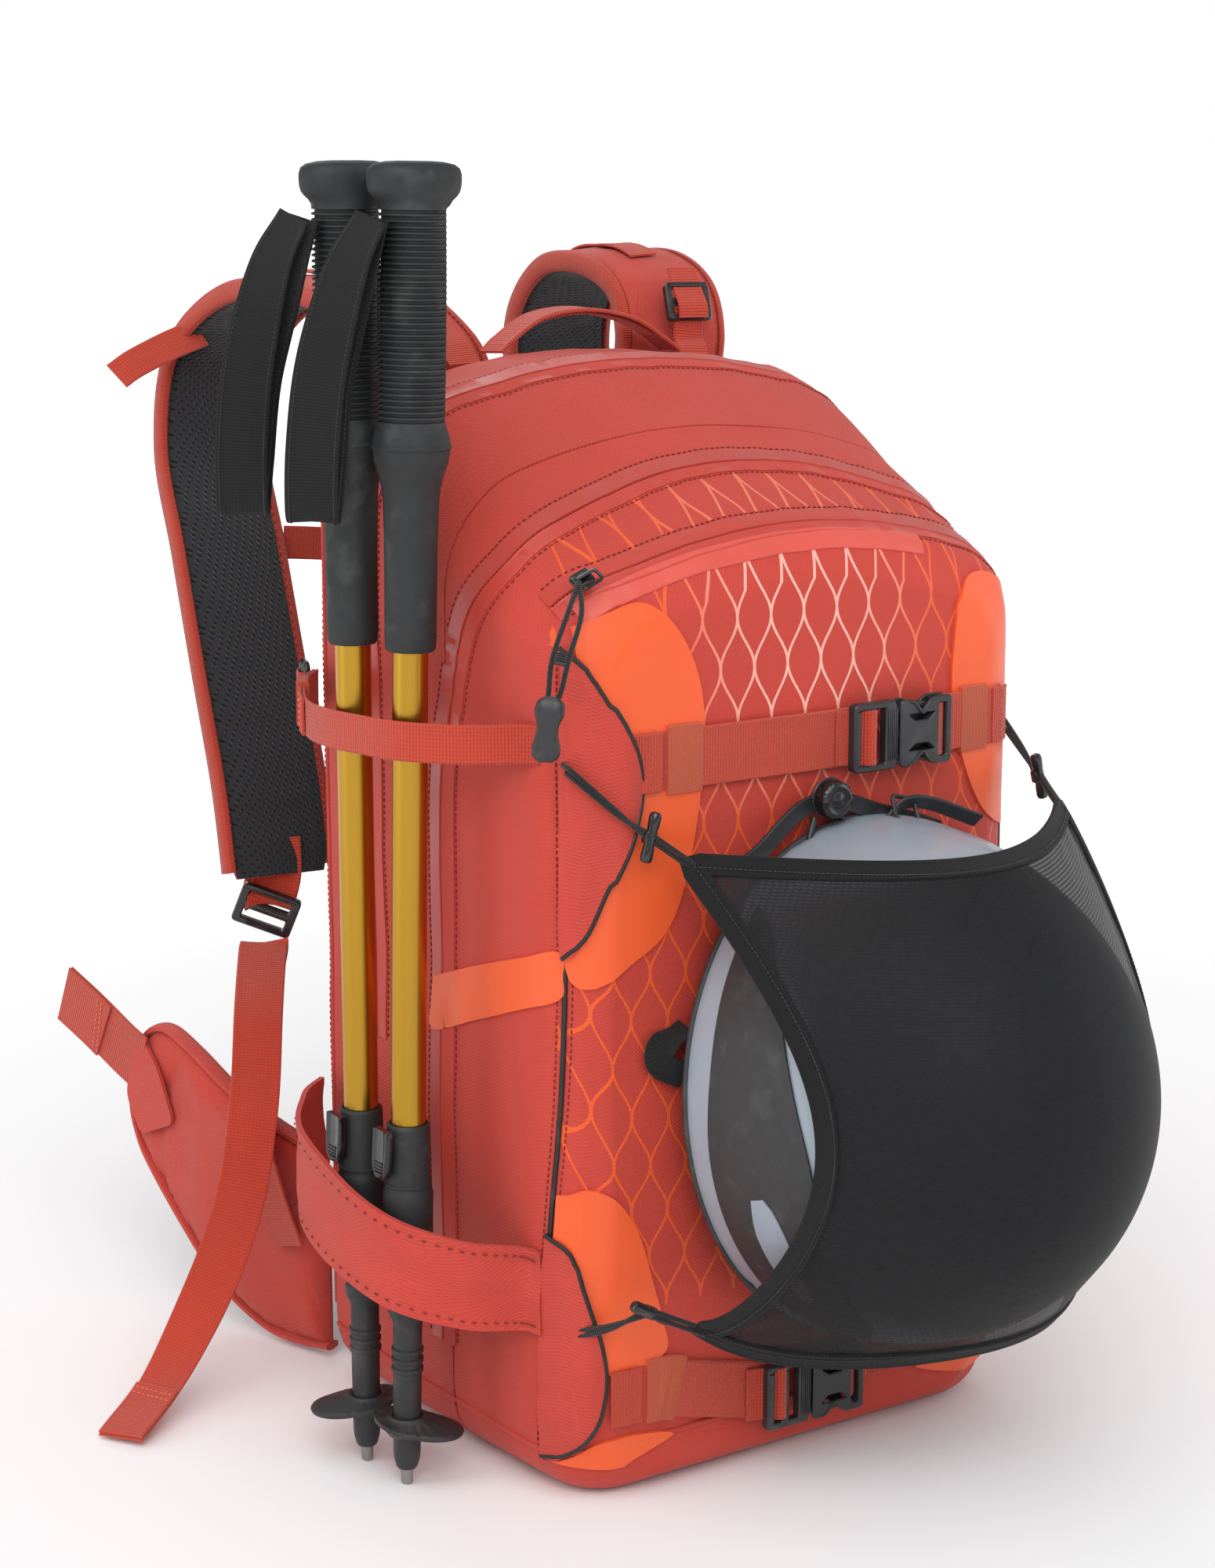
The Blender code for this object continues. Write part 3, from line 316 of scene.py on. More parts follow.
class Graph:
    """A Principled material and short calls for the nodes that feed it."""

    def __init__(self, name, rough=0.6, metal=0.0, sheen=0.0, coat=0.0, specular=0.5):
        self.material = bpy.data.materials.new(name)
        self.material.use_nodes = True
        self.tree = self.material.node_tree
        self.shader = self.tree.nodes["Principled BSDF"]
        self.shader.inputs["Roughness"].default_value = rough
        self.shader.inputs["Metallic"].default_value = metal
        self.shader.inputs["Sheen Weight"].default_value = sheen
        self.shader.inputs["Coat Weight"].default_value = coat
        self.shader.inputs["Specular IOR Level"].default_value = specular
        coords = self.tree.nodes.new("ShaderNodeTexCoord")
        self.object = coords.outputs["Object"]
        split = self.tree.nodes.new("ShaderNodeSeparateXYZ")
        self.tree.links.new(self.object, split.inputs[0])
        self.x, self.y, self.z = split.outputs

    def give(self, socket, value):
        if isinstance(value, bpy.types.NodeSocket):
            self.tree.links.new(value, socket)
        else:
            socket.default_value = value

    def math(self, operation, *values, clamp=False):
        node = self.tree.nodes.new("ShaderNodeMath")
        node.operation = operation
        node.use_clamp = clamp
        for socket, value in zip(node.inputs, values):
            self.give(socket, value)
        return node.outputs[0]

    def wave(self, value, period):
        return self.math("SINE", self.math("MULTIPLY", value, 2 * math.pi / period))

    def range(self, value, low, high, to_low=0.0, to_high=1.0):
        node = self.tree.nodes.new("ShaderNodeMapRange")
        for socket, given in zip(node.inputs, (value, low, high, to_low, to_high)):
            self.give(socket, given)
        return node.outputs[0]

    def attribute(self, name):
        node = self.tree.nodes.new("ShaderNodeAttribute")
        node.attribute_name = name
        split = self.tree.nodes.new("ShaderNodeSeparateXYZ")
        self.tree.links.new(node.outputs["Vector"], split.inputs[0])
        return split.outputs

    def noise(self, scale, detail=3.0, stretch=None):
        node = self.tree.nodes.new("ShaderNodeTexNoise")
        node.inputs["Scale"].default_value = scale
        node.inputs["Detail"].default_value = detail
        source = self.object
        if stretch:
            mapping = self.tree.nodes.new("ShaderNodeMapping")
            mapping.inputs["Scale"].default_value = stretch
            self.tree.links.new(source, mapping.inputs["Vector"])
            source = mapping.outputs[0]
        self.tree.links.new(source, node.inputs["Vector"])
        return node.outputs[0]

    def mix(self, factor, first, second):
        node = self.tree.nodes.new("ShaderNodeMix")
        node.data_type = "RGBA"
        colours = [s for s in node.inputs if s.type == "RGBA"]
        self.give(node.inputs[0], factor)
        for socket, value in zip(colours, (first, second)):
            self.give(socket, (*value, 1.0) if isinstance(value, tuple) else value)
        return [s for s in node.outputs if s.type == "RGBA"][0]

    def bump(self, height, distance, strength=1.0, below=None):
        node = self.tree.nodes.new("ShaderNodeBump")
        node.inputs["Strength"].default_value = strength
        node.inputs["Distance"].default_value = distance
        self.tree.links.new(height, node.inputs["Height"])
        if below is not None:
            self.tree.links.new(below, node.inputs["Normal"])
        return node.outputs[0]

    def finish(self, colour=None, rough=None, normal=None, alpha=None):
        for name, value in (("Base Color", colour), ("Roughness", rough),
                            ("Normal", normal), ("Alpha", alpha)):
            if value is not None:
                self.tree.links.new(value, self.shader.inputs[name])
        return self.material


def shade(colour, factor):
    return tuple(min(1.0, c * factor) for c in colour)


CORAL = (0.560, 0.052, 0.034)
ORANGE = (0.820, 0.100, 0.018)
WEB_RED = (0.600, 0.052, 0.021)
PALE_PRINT = (0.860, 0.420, 0.340)
CELL_WIDTH = 0.021               # printed lattice: a cell's width and height
CELL_HEIGHT = 0.050
PRINT_HALF_WIDTH = 0.00085


def weave_height(g, period=0.0019):
    """Plain weave of threads; it runs across fronts, sides and tops alike."""
    u = g.math("ADD", g.x, g.math("MULTIPLY", g.y, 0.93))
    v = g.math("SUBTRACT", g.z, g.math("MULTIPLY", g.y, 0.37))
    return g.math("MULTIPLY", g.wave(u, period), g.wave(v, period))


def cloth_colour(g, colour, weave, contrast=0.16):
    """Painted shade in the weave's valleys, with soft patches of lighter and darker dye."""
    dye = g.mix(g.noise(9.0, 4.0), shade(colour, 0.86), shade(colour, 1.10))
    # the weave's low threads are painted darker: painted shade
    painted_shade = g.range(weave, -1.0, 1.0, contrast, 0.0)
    return g.mix(painted_shade, dye, shade(colour, 0.30))


def fabric(name, colour, period=0.0019, rough=0.66, sheen=0.08):
    g = Graph(name, rough=rough, sheen=sheen, specular=0.35)
    weave = weave_height(g, period)
    crease = g.bump(g.noise(38.0, 3.0), 0.0012, 0.45)
    normal = g.bump(weave, 0.00022, 0.8, crease)
    gloss = g.range(g.noise(24.0, 2.0), 0.3, 0.7, rough - 0.08, rough + 0.10)
    return g.finish(cloth_colour(g, colour, weave), gloss, normal)


def lattice_distance(g, across, phase, sign):
    """Distance from one family of wavy printed lines."""
    wavy = g.math("MULTIPLY", phase, sign * 0.25)
    shifted = g.math("ADD", g.math("DIVIDE", across, CELL_WIDTH), wavy)
    if sign < 0:
        shifted = g.math("ADD", shifted, 0.5)
    part = g.math("FRACT", g.math("ADD", shifted, 100.0))
    return g.math("MULTIPLY", g.math("ABSOLUTE", g.math("SUBTRACT", part, 0.5)), CELL_WIDTH)


def printed_fabric(name, colour):
    """Body cloth with an ogee lattice printed where the mesh's cloth value asks for it."""
    g = Graph(name, rough=0.6, sheen=0.08, specular=0.30)
    weave = weave_height(g)
    drop = g.math("SUBTRACT", g.z, g.math("MULTIPLY", g.y, 1.0))
    phase = g.wave(drop, CELL_HEIGHT)
    near = g.math("MINIMUM", lattice_distance(g, g.x, phase, 1.0),
                  lattice_distance(g, g.x, phase, -1.0))
    line = g.range(near, PRINT_HALF_WIDTH * 0.75, PRINT_HALF_WIDTH * 1.25, 1.0, 0.0)
    shown, pale, _ = g.attribute("cloth")
    line = g.math("MULTIPLY", line, g.range(shown, 0.4, 0.6))
    print_colour = g.mix(pale, shade(ORANGE, 0.95), PALE_PRINT)
    colour = g.mix(line, cloth_colour(g, colour, weave), print_colour)
    crease = g.bump(g.noise(38.0, 3.0), 0.0012, 0.45)
    normal = g.bump(g.math("ADD", g.math("MULTIPLY", weave, 0.5), line), 0.00025, 0.8, crease)
    rough = g.range(line, 0.0, 1.0, 0.62, 0.34)
    return g.finish(colour, rough, normal)


def coated(name, colour, rough=0.42):
    """Smooth coated fabric with a faint grain and soft sheen."""
    g = Graph(name, rough=rough, sheen=0.1, specular=0.45)
    tint = g.mix(g.noise(14.0, 4.0), shade(colour, 0.92), shade(colour, 1.06))
    grain = g.bump(g.noise(900.0, 2.0), 0.00012, 0.5)
    crease = g.bump(g.noise(45.0, 3.0), 0.0010, 0.4, grain)
    gloss = g.range(g.noise(40.0, 3.0), 0.3, 0.7, rough - 0.06, rough + 0.10)
    return g.finish(tint, gloss, crease)


def webbing(name, colour, rib=0.0017, rough=0.66, sheen=0.2):
    """Ribs across the band and a smooth selvedge, from the band's own coordinates."""
    g = Graph(name, rough=rough, sheen=sheen, specular=0.3)
    across, along, _ = g.attribute("cloth")
    weft = g.wave(along, rib)
    warp = g.wave(across, rib * 1.15)
    height = g.math("ADD", weft, g.math("MULTIPLY", g.math("MULTIPLY", weft, warp), 0.6))
    # the rib valleys are painted darker: painted shade
    painted_shade = g.range(height, -1.6, 1.6, 0.34, 0.0)
    dye = g.mix(g.noise(16.0, 3.0), shade(colour, 0.88), shade(colour, 1.10))
    shaded = g.mix(painted_shade, dye, shade(colour, 0.25))
    return g.finish(shaded, None, g.bump(height, 0.00030, 0.9))


def spacer_mesh(name, colour, cell=0.0052):
    """Three-layer mesh: a honeycomb of soft round holes."""
    g = Graph(name, rough=0.85, sheen=0.3, specular=0.2)
    u = g.math("ADD", g.x, g.math("MULTIPLY", g.y, 0.93))
    v = g.math("SUBTRACT", g.z, g.math("MULTIPLY", g.y, 0.37))
    height = g.math("MULTIPLY", g.wave(u, cell), g.wave(v, cell * 0.9))
    hole = g.range(height, 0.25, 0.75)
    fine = g.math("MULTIPLY", g.wave(u, 0.0011), g.wave(v, 0.0011))
    surface = g.math("SUBTRACT", g.math("MULTIPLY", fine, 0.1), hole)
    # the holes are painted darker than the mesh around them: painted shade in the holes
    tint = g.mix(hole, shade(colour, 1.5), shade(colour, 0.25))
    return g.finish(tint, None, g.bump(surface, 0.0008, 0.9))


def moulded(name, colour, rough=0.4, grain=0.25, coat=0.0, metal=0.0):
    """Moulded plastic or rubber: fine texture, slight gloss changes and rubbed spots."""
    g = Graph(name, rough=rough, coat=coat, metal=metal, specular=0.5)
    worn = g.range(g.noise(60.0, 5.0), 0.55, 0.80)
    tint = g.mix(worn, colour, tuple(c + 0.035 for c in colour))
    gloss = g.range(g.noise(130.0, 3.0), 0.3, 0.7, rough - 0.06, rough + 0.10)
    return g.finish(tint, gloss, g.bump(g.noise(1500.0, 2.0), 0.0001, grain))


def brushed_metal(name, colour, rough=0.28):
    """Drawn tube: fine scratches along its length."""
    g = Graph(name, rough=rough, metal=1.0)
    drawn = g.noise(120.0, 4.0, (9.0, 9.0, 0.25))
    tint = g.mix(drawn, shade(colour, 0.96), shade(colour, 1.04))
    gloss = g.range(drawn, 0.3, 0.7, rough - 0.02, rough + 0.04)
    return g.finish(tint, gloss, g.bump(drawn, 0.00003, 0.15))


def net_cloth(name):
    """Warp-knit net with rows of small slots that the helmet shows through."""
    g = Graph(name, rough=0.62, sheen=0.03, specular=0.22)
    across, along, _ = g.attribute("cloth")
    pitch_u, pitch_v = 0.0034, 0.0022
    row = g.math("FLOOR", g.math("DIVIDE", along, pitch_v))
    shift = g.math("MULTIPLY", g.math("MODULO", row, 2.0), 0.5)
    u = g.math("FRACT", g.math("ADD", g.math("DIVIDE", across, pitch_u),
                               g.math("ADD", shift, 100.0)))
    v = g.math("FRACT", g.math("ADD", g.math("DIVIDE", along, pitch_v), 100.0))
    du = g.math("ABSOLUTE", g.math("SUBTRACT", u, 0.5))
    dv = g.math("ABSOLUTE", g.math("SUBTRACT", v, 0.5))
    across_slot = g.math("DIVIDE", du, 0.36)
    along_slot = g.math("DIVIDE", dv, 0.20)
    solid = g.range(g.math("MAXIMUM", across_slot, along_slot), 0.9, 1.1)
    alpha = g.math("MULTIPLY_ADD", solid, 0.12, 0.85)
    thread = g.mix(g.noise(300.0, 2.0), (0.004, 0.004, 0.005), (0.010, 0.010, 0.011))
    return g.finish(thread, None, g.bump(solid, 0.0003, 0.7), alpha)


MAT = {}


def make_materials():
    MAT["coral"] = fabric("coral_cloth", CORAL)
    MAT["print"] = printed_fabric("printed_cloth", CORAL)
    MAT["smooth_red"] = fabric("smooth_red_cloth", shade(CORAL, 1.02), 0.0012, 0.60, 0.1)
    MAT["orange"] = coated("orange_coating", ORANGE)
    MAT["tape"] = coated("zip_tape_coating", shade(CORAL, 0.92), 0.40)
    MAT["band"] = coated("reflective_band", (0.66, 0.085, 0.060), 0.30)
    MAT["teeth"] = moulded("zip_coil", (0.10, 0.010, 0.008), 0.45)
    MAT["web"] = webbing("red_webbing", WEB_RED)
    MAT["keeper"] = webbing("elastic_keeper", (0.74, 0.100, 0.024), 0.0008, 0.5)
    MAT["black_web"] = webbing("black_webbing", (0.010, 0.010, 0.011), 0.0015, 0.75, 0.05)
    MAT["binding"] = webbing("black_binding", (0.008, 0.008, 0.009), 0.0012, 0.75, 0.05)
    MAT["red_binding"] = webbing("red_binding", shade(WEB_RED, 0.98), 0.0012, 0.6)
    MAT["spacer"] = spacer_mesh("spacer_mesh", (0.018, 0.018, 0.020))
    MAT["thread"] = moulded("dark_thread", (0.16, 0.012, 0.009), 0.7)
    MAT["light_thread"] = moulded("light_thread", (0.74, 0.16, 0.11), 0.6)
    MAT["piping"] = moulded("black_piping", (0.012, 0.010, 0.010), 0.5)
    MAT["gloss"] = moulded("glossy_plastic", (0.010, 0.010, 0.011), 0.22, 0.1, 0.25)
    MAT["satin"] = moulded("satin_plastic", (0.022, 0.022, 0.024), 0.36)
    MAT["rubber"] = moulded("pole_rubber", (0.014, 0.015, 0.016), 0.62, 0.5)
    MAT["dark_rubber"] = moulded("dark_rubber", (0.020, 0.020, 0.021), 0.50, 0.4)
    MAT["gold"] = brushed_metal("gold_anodised", (0.46, 0.260, 0.032), 0.30)
    MAT["rod"] = brushed_metal("bare_rod", (0.62, 0.63, 0.65), 0.24)
    MAT["tip"] = brushed_metal("tip_steel", (0.32, 0.31, 0.30), 0.42)
    MAT["cord"] = webbing("elastic_cord", (0.010, 0.010, 0.011), 0.0012, 0.45, 0.2)
    MAT["shell"] = moulded("helmet_shell", (0.300, 0.345, 0.400), 0.34, 0.12, 0.2)
    MAT["helmet_dark"] = moulded("helmet_dark", (0.026, 0.027, 0.029), 0.50, 0.3)
    MAT["liner"] = moulded("helmet_liner", (0.020, 0.020, 0.022), 0.88, 0.6)
    MAT["net"] = net_cloth("net_cloth")


# ---------------------------------------------------------------- pack body

def station_at(stations, y):
    """Station values at any y, on a smooth curve through the stations."""
    ys = [s[0] for s in stations]
    k = max(0, min(len(ys) - 2, sum(1 for v in ys if v <= y) - 1))
    span = ys[k + 1] - ys[k]
    t = (y - ys[k]) / span
    values = []
    for c in range(1, 5):
        column = [s[c] for s in stations]

        def slope(i):
            low, high = max(0, i - 1), min(len(ys) - 1, i + 1)
            return (column[high] - column[low]) / (ys[high] - ys[low])

        a, b = column[k], column[k + 1]
        ma, mb = slope(k) * span, slope(k + 1) * span
        value = ((2 * t ** 3 - 3 * t ** 2 + 1) * a + (t ** 3 - 2 * t ** 2 + t) * ma
                 + (3 * t ** 2 - 2 * t ** 3) * b + (t ** 3 - t ** 2) * mb)
        low, high = min(a, b), max(a, b)
        values.append(min(high, max(low, value)))
    return values


def arch_outline(half_width, height, corner, base):
    """Three-centred arch on a flat base, as even points from the middle of the base."""
    reach = height - CROWN_CENTRE_Z
    corner_x = half_width - corner
    rise = math.sqrt((reach - corner) ** 2 - corner_x ** 2)
    corner_z = CROWN_CENTRE_Z + rise
    tangent = math.atan2(rise, corner_x)
    half = [Vector((0, 0, base)), Vector((half_width - BASE_CORNER, 0, base))]
    for i in range(1, 17):
        angle = -math.pi / 2 + i * math.pi / 32
        half.append(Vector((half_width - BASE_CORNER + BASE_CORNER * math.cos(angle), 0,
                            base + BASE_CORNER + BASE_CORNER * math.sin(angle))))
    for i in range(33):
        angle = tangent * i / 32
        half.append(Vector((corner_x + corner * math.cos(angle), 0,
                            corner_z + corner * math.sin(angle))))
    for i in range(1, 49):
        angle = tangent + (math.pi / 2 - tangent) * i / 48
        half.append(Vector((reach * math.cos(angle), 0,
                            CROWN_CENTRE_Z + reach * math.sin(angle))))
    steps = OUTLINE_POINTS // 2
    right = even_path(half, path_length(half) / steps)
    left = [Vector((-p.x, 0, p.z)) for p in right[1:-1]]
    return right + left[::-1]


def body_rings(stations, ys):
    rings = []
    for y in ys:
        ring = arch_outline(*station_at(stations, y))
        rings.append([Vector((p.x, y, p.z)) for p in ring])
    return rings


def front_rings():
    first, last = FRONT_STATIONS[0][0], FRONT_STATIONS[-1][0]
    ys = [last + (first - last) * (i / 40) ** 0.85 for i in range(41)]
    rings = body_rings(FRONT_STATIONS, ys)[::-1]
    outer = rings[0]
    for i in range(1, 48):
        scale = 1 - i / 48
        bulge = DOME_BULGE * (1 - scale ** 2)
        rings.insert(0, [Vector((p.x * scale, p.y - bulge,
                                 DOME_CENTRE_Z + (p.z - DOME_CENTRE_Z) * scale)) for p in outer])
    return rings


def rear_rings():
    first, last = REAR_STATIONS[0][0], REAR_STATIONS[-1][0]
    ys = [first + (last - first) * i / 44 for i in range(45)]
    return body_rings(REAR_STATIONS, ys)


# Seams and zips, as points near the body's surface
ZIP_POCKET = ((-0.139, -0.099, 0.467), (-0.122, -0.104, 0.477), (-0.099, -0.108, 0.484),
              (-0.052, -0.109, 0.495), (-0.002, -0.108, 0.500), (0.050, -0.106, 0.497),
              (0.090, -0.103, 0.490), (0.118, -0.099, 0.478), (0.138, -0.094, 0.452))
ZIP_FRONT_LEFT = ((-0.156, -0.017, 0.060), (-0.156, -0.018, 0.150), (-0.155, -0.020, 0.283),
                  (-0.155, -0.022, 0.367), (-0.155, -0.030, 0.409), (-0.154, -0.041, 0.451),
                  (-0.142, -0.061, 0.484))
ZIP_FRONT_TOP = ((-0.117, -0.063, 0.499), (-0.091, -0.062, 0.511), (-0.040, -0.057, 0.524),
                 (0.000, -0.056, 0.526), (0.040, -0.057, 0.524), (0.091, -0.062, 0.511),
                 (0.117, -0.063, 0.499))
ZIP_REAR_LEFT = ((-0.1585, 0.046, 0.215), (-0.1585, 0.047, 0.330), (-0.1585, 0.048, 0.440),
                 (-0.157, 0.048, 0.500), (-0.150, 0.046, 0.524), (-0.129, 0.038, 0.550))
ZIP_REAR_TOP = ((-0.093, 0.034, 0.563), (-0.053, 0.034, 0.571), (0.000, 0.033, 0.574),
                (0.053, 0.034, 0.571), (0.093, 0.034, 0.563))
SEAM_FRONT = ((-0.141, -0.115, 0.452), (-0.1415, -0.1145, 0.400), (-0.1415, -0.115, 0.282),
              (-0.1425, -0.113, 0.220), (-0.145, -0.106, 0.139), (-0.147, -0.103, 0.091),
              (-0.145, -0.101, 0.021))


def mirrored(route):
    return tuple((-x, y, z) for x, y, z in route)


def both_sides(left, top):
    return left + top + mirrored(left)[::-1]


ZIP_FRONT = both_sides(ZIP_FRONT_LEFT, ZIP_FRONT_TOP)
ZIP_REAR = both_sides(ZIP_REAR_LEFT, ZIP_REAR_TOP)
SEAMS_FRONT = (ZIP_POCKET, ZIP_FRONT, SEAM_FRONT, mirrored(SEAM_FRONT))
SEAM_BASE = ((-0.157, 0.100, 0.030), (-0.157, -0.020, 0.028), (-0.147, -0.100, 0.026),
             (-0.120, -0.128, 0.030), (0.0, -0.131, 0.032), (0.120, -0.128, 0.030),
             (0.147, -0.100, 0.026), (0.157, -0.020, 0.028), (0.157, 0.100, 0.030))
SEAM_PANEL_REAR = ((-0.150, 0.104, 0.040), (-0.158, 0.100, 0.150), (-0.159, 0.100, 0.450),
                   (-0.148, 0.100, 0.520), (-0.110, 0.100, 0.553), (0.0, 0.100, 0.571),
                   (0.110, 0.100, 0.553), (0.148, 0.100, 0.520), (0.159, 0.100, 0.450),
                   (0.158, 0.100, 0.150), (0.150, 0.104, 0.040))
PINCH_DEPTH = 0.0016
PINCH_WIDTH = 0.007
RIBBON_STEP = 0.003
PATCH_SINK = 0.0012              # a patch's underside reaches this far below its lift


def point_tree(points):
    tree = KDTree(len(points))
    for i, point in enumerate(points):
        tree.insert(point, i)
    tree.balance()
    return tree


def soften(mesh, seams, puff=0.0013, gather=0.0011):
    """Presses the seams in, lets the cloth between them puff and gathers it near zips."""
    tree = point_tree([p for seam in seams for p in even_path(smooth_path(seam, 6), 0.002)])
    moves = []
    for vert in mesh.vertices:
        near = tree.find(vert.co)[2]
        pinch = -PINCH_DEPTH * math.exp(-(near / PINCH_WIDTH) ** 2)
        slow = noise.noise(vert.co * 13.0) + 0.5 * noise.noise(vert.co * 29.0)
        slack = min(1.0, near / 0.02)
        across = Vector((vert.co.x * 75.0, vert.co.y * 18.0, vert.co.z * 18.0))
        fold = noise.noise(across + Vector((7.0, 3.0, 1.0)))
        near_zip = math.exp(-((near - 0.011) / 0.011) ** 2)
        moves.append(pinch + puff * slow * slack + gather * fold * near_zip)
    moved = [vert.co + vert.normal * move for vert, move in zip(mesh.vertices, moves)]
    for vert, place in zip(mesh.vertices, moved):
        if vert.co.z > 0.012:
            vert.co = place


def lattice_shown(p):
    """1 where the front cloth carries the printed lattice, and how pale its lines are."""
    if p.y > -0.060 or abs(p.x) > 0.1425 and p.z < 0.45:
        return 0.0, 0.0
    middle = math.exp(-((p.x + 0.004) / 0.060) ** 4)
    if p.y > -0.104 and p.z > 0.44:
        edge = -0.066 if abs(p.x) < 0.1 else -0.070
        shown = 1.0 if -0.099 < p.y < edge and abs(p.x) < 0.130 else 0.0
        return shown, 0.25 * middle
    if p.y > -0.104 or p.z < 0.105:
        return 0.0, 0.0
    pale = middle * max(0.0, min(1.0, (p.z - 0.355) / 0.045))
    return 1.0, pale


def make_compartments():
    shape = Shape()
    shape.loft(front_rings())
    mesh = shape.mesh("front_bag", sharp=60)
    soften(mesh, SEAMS_FRONT + (SEAM_BASE,))
    values = []
    for vert in mesh.vertices:
        shown, pale = lattice_shown(vert.co)
        values += [shown, pale, 0.0]
    mesh.attributes["cloth"].data.foreach_set("vector", values)
    front = piece("front_bag", mesh, MAT["print"],
                  nodes=["front_compartment"])
    shape = Shape()
    shape.loft(rear_rings())
    mesh = shape.mesh("main_bag", sharp=60)
    soften(mesh, (ZIP_REAR, SEAM_BASE, SEAM_PANEL_REAR))
    main = piece("main_bag", mesh, MAT["coral"],
                 nodes=["main_compartment"])
    return front, main


class Skin:
    """The two bags' outer surface, for laying seams, zips and patches on it."""

    def __init__(self, *items):
        verts, faces = [], []
        for item in items:
            base = len(verts)
            verts += [v.co.copy() for v in item.data.vertices]
            faces += [[base + i for i in f.vertices] for f in item.data.polygons]
        self.tree = BVHTree.FromPolygons(verts, faces)

    def near(self, point):
        """Closest surface point, and a normal that leads away from the pack's middle."""
        place, normal = self.tree.find_nearest(Vector(point))[:2]
        middle = Vector((0.0, 0.0, min(place.z, 0.30)))
        if normal.dot(place - middle) < 0:
            normal = -normal
        return place, normal

    def hit(self, start, direction):
        place, normal = self.tree.ray_cast(Vector(start), Vector(direction))[:2]
        if place is None:
            return self.near(start)
        if normal.dot(Vector(direction)) > 0:
            normal = -normal
        return place, normal

    def lay(self, shape, route, profile):
        """Ribbon along a route; profile is (across, height) pairs, highest side out."""
        path = even_path(smooth_path(route, 8), RIBBON_STEP)
        last = len(path) - 1
        rings, cloth = [], []
        seats = [self.near(p) for p in path]
        travelled = 0.0
        for i, (place, normal) in enumerate(seats):
            if i:
                travelled += (place - seats[i - 1][0]).length
            tangent = seats[min(i + 1, last)][0] - seats[max(i - 1, 0)][0]
            across = tangent.cross(normal).normalized()
            ring = []
            for u, height in profile:
                at, up = self.near(place + across * u)
                blend = (up + normal).normalized()
                ring.append(at + blend * height)
            rings.append(ring)
            cloth += [(u, travelled, h) for u, h in profile]
        shape.loft(rings, cloth=cloth)

    def stitch(self, shape, route, offset=0.0, pitch=0.0034, lift=0.0004,
               radius=STITCH_RADIUS):
        """Row of short raised stitches beside a route."""
        path = even_path(smooth_path(route, 8), pitch)
        for i in range(1, len(path) - 1):
            place, normal = self.near(path[i])
            tangent = (path[i + 1] - path[i - 1]).normalized()
            across = tangent.cross(normal).normalized()
            at, up = self.near(place + across * offset)
            add_stitch(shape, at + up * lift, tangent, up, pitch * 0.68, radius)


def inside(point, polygon):
    found = False
    for a, b in zip(polygon, polygon[1:] + polygon[:1]):
        if (a.y > point.y) != (b.y > point.y):
            if point.x < (b.x - a.x) * (point.y - a.y) / (b.y - a.y) + a.x:
                found = not found
    return found


def filled_outline(rim, low, high, spacing, clear):
    """Flat mesh of an outline: its rim and a grid of points that stay clear of the rim."""
    flat = list(rim)
    b = low[1]
    while b < high[1]:
        a = low[0]
        while a < high[0]:
            point = Vector((a, b))
            if inside(point, rim) and min((point - f).length for f in rim) > clear:
                flat.append(point)
            a += spacing
        b += spacing
    edges = [(i, (i + 1) % len(rim)) for i in range(len(rim))]
    made = geometry.delaunay_2d_cdt(flat, edges, [], 1, 1e-6)
    return made[0], made[2]


def closed_faces(faces, size):
    """Outer, inner and edge faces of a thin body whose two sides have size points each."""
    skin = [tuple(f) for f in faces]
    under = [tuple(size + i for i in reversed(f)) for f in faces]
    sides = [(a, b, size + b, size + a) for a, b in boundary_loop(faces)]
    return skin, under, sides


def skin_patch(shape, outline, project, lift=0.0007, thickness=0.0010, spacing=0.004):
    """Thin cloth patch; project turns a 2-D point into a surface place and normal."""
    border = even_path(smooth_path([(a, b, 0) for a, b in outline] +
                                   [(*outline[0], 0)], 6), 0.003)[:-1]
    rim = [Vector((p.x, p.y)) for p in border]
    low = Vector((min(p.x for p in rim), min(p.y for p in rim)))
    high = Vector((max(p.x for p in rim), max(p.y for p in rim)))
    start = (low.x + spacing, low.y + spacing)
    points, faces = filled_outline(rim, start, high, spacing, 0.0022)
    upper, lower = [], []
    for p in points:
        place, normal = project(p.x, p.y)
        upper.append(place + normal * (lift + thickness))
        lower.append(place + normal * (lift - PATCH_SINK))
    skin, under, sides = closed_faces(faces, len(points))
    cloth = [(p.x, p.y, 0.0) for p in points] * 2
    shape.add(upper + lower, skin + under + sides, cloth)


def boundary_loop(faces):
    used = {}
    for face in faces:
        for a, b in zip(face, list(face[1:]) + [face[0]]):
            used[(a, b)] = True
    return [(b, a) for a, b in used if (b, a) not in used]


def add_stitch(shape, centre, tangent, normal, length, radius=STITCH_RADIUS):
    """One thread stitch that dives into the cloth at both ends."""
    across = tangent.cross(normal).normalized()
    rings = []
    for t, drop, swell in ((-0.5, 1.2, 0.5), (-0.3, 0.3, 1.0), (0.3, 0.3, 1.0), (0.5, 1.2, 0.5)):
        middle = centre + tangent * (t * length) - normal * (drop * radius)
        rings.append([middle + (across * math.cos(a) + normal * math.sin(a)) * radius * swell
                      for a in (0.0, 1.26, 2.51, 3.77, 5.03)])
    shape.loft(rings)


def stitch_row(shape, at, along, normal, start, pitch, count, length=0.0022):
    """Straight row of stitches across a webbing, from start on."""
    for i in range(count):
        add_stitch(shape, at + along * (start + i * pitch), along, normal, length)


# ---------------------------------------------------------------- zips, seams, patches

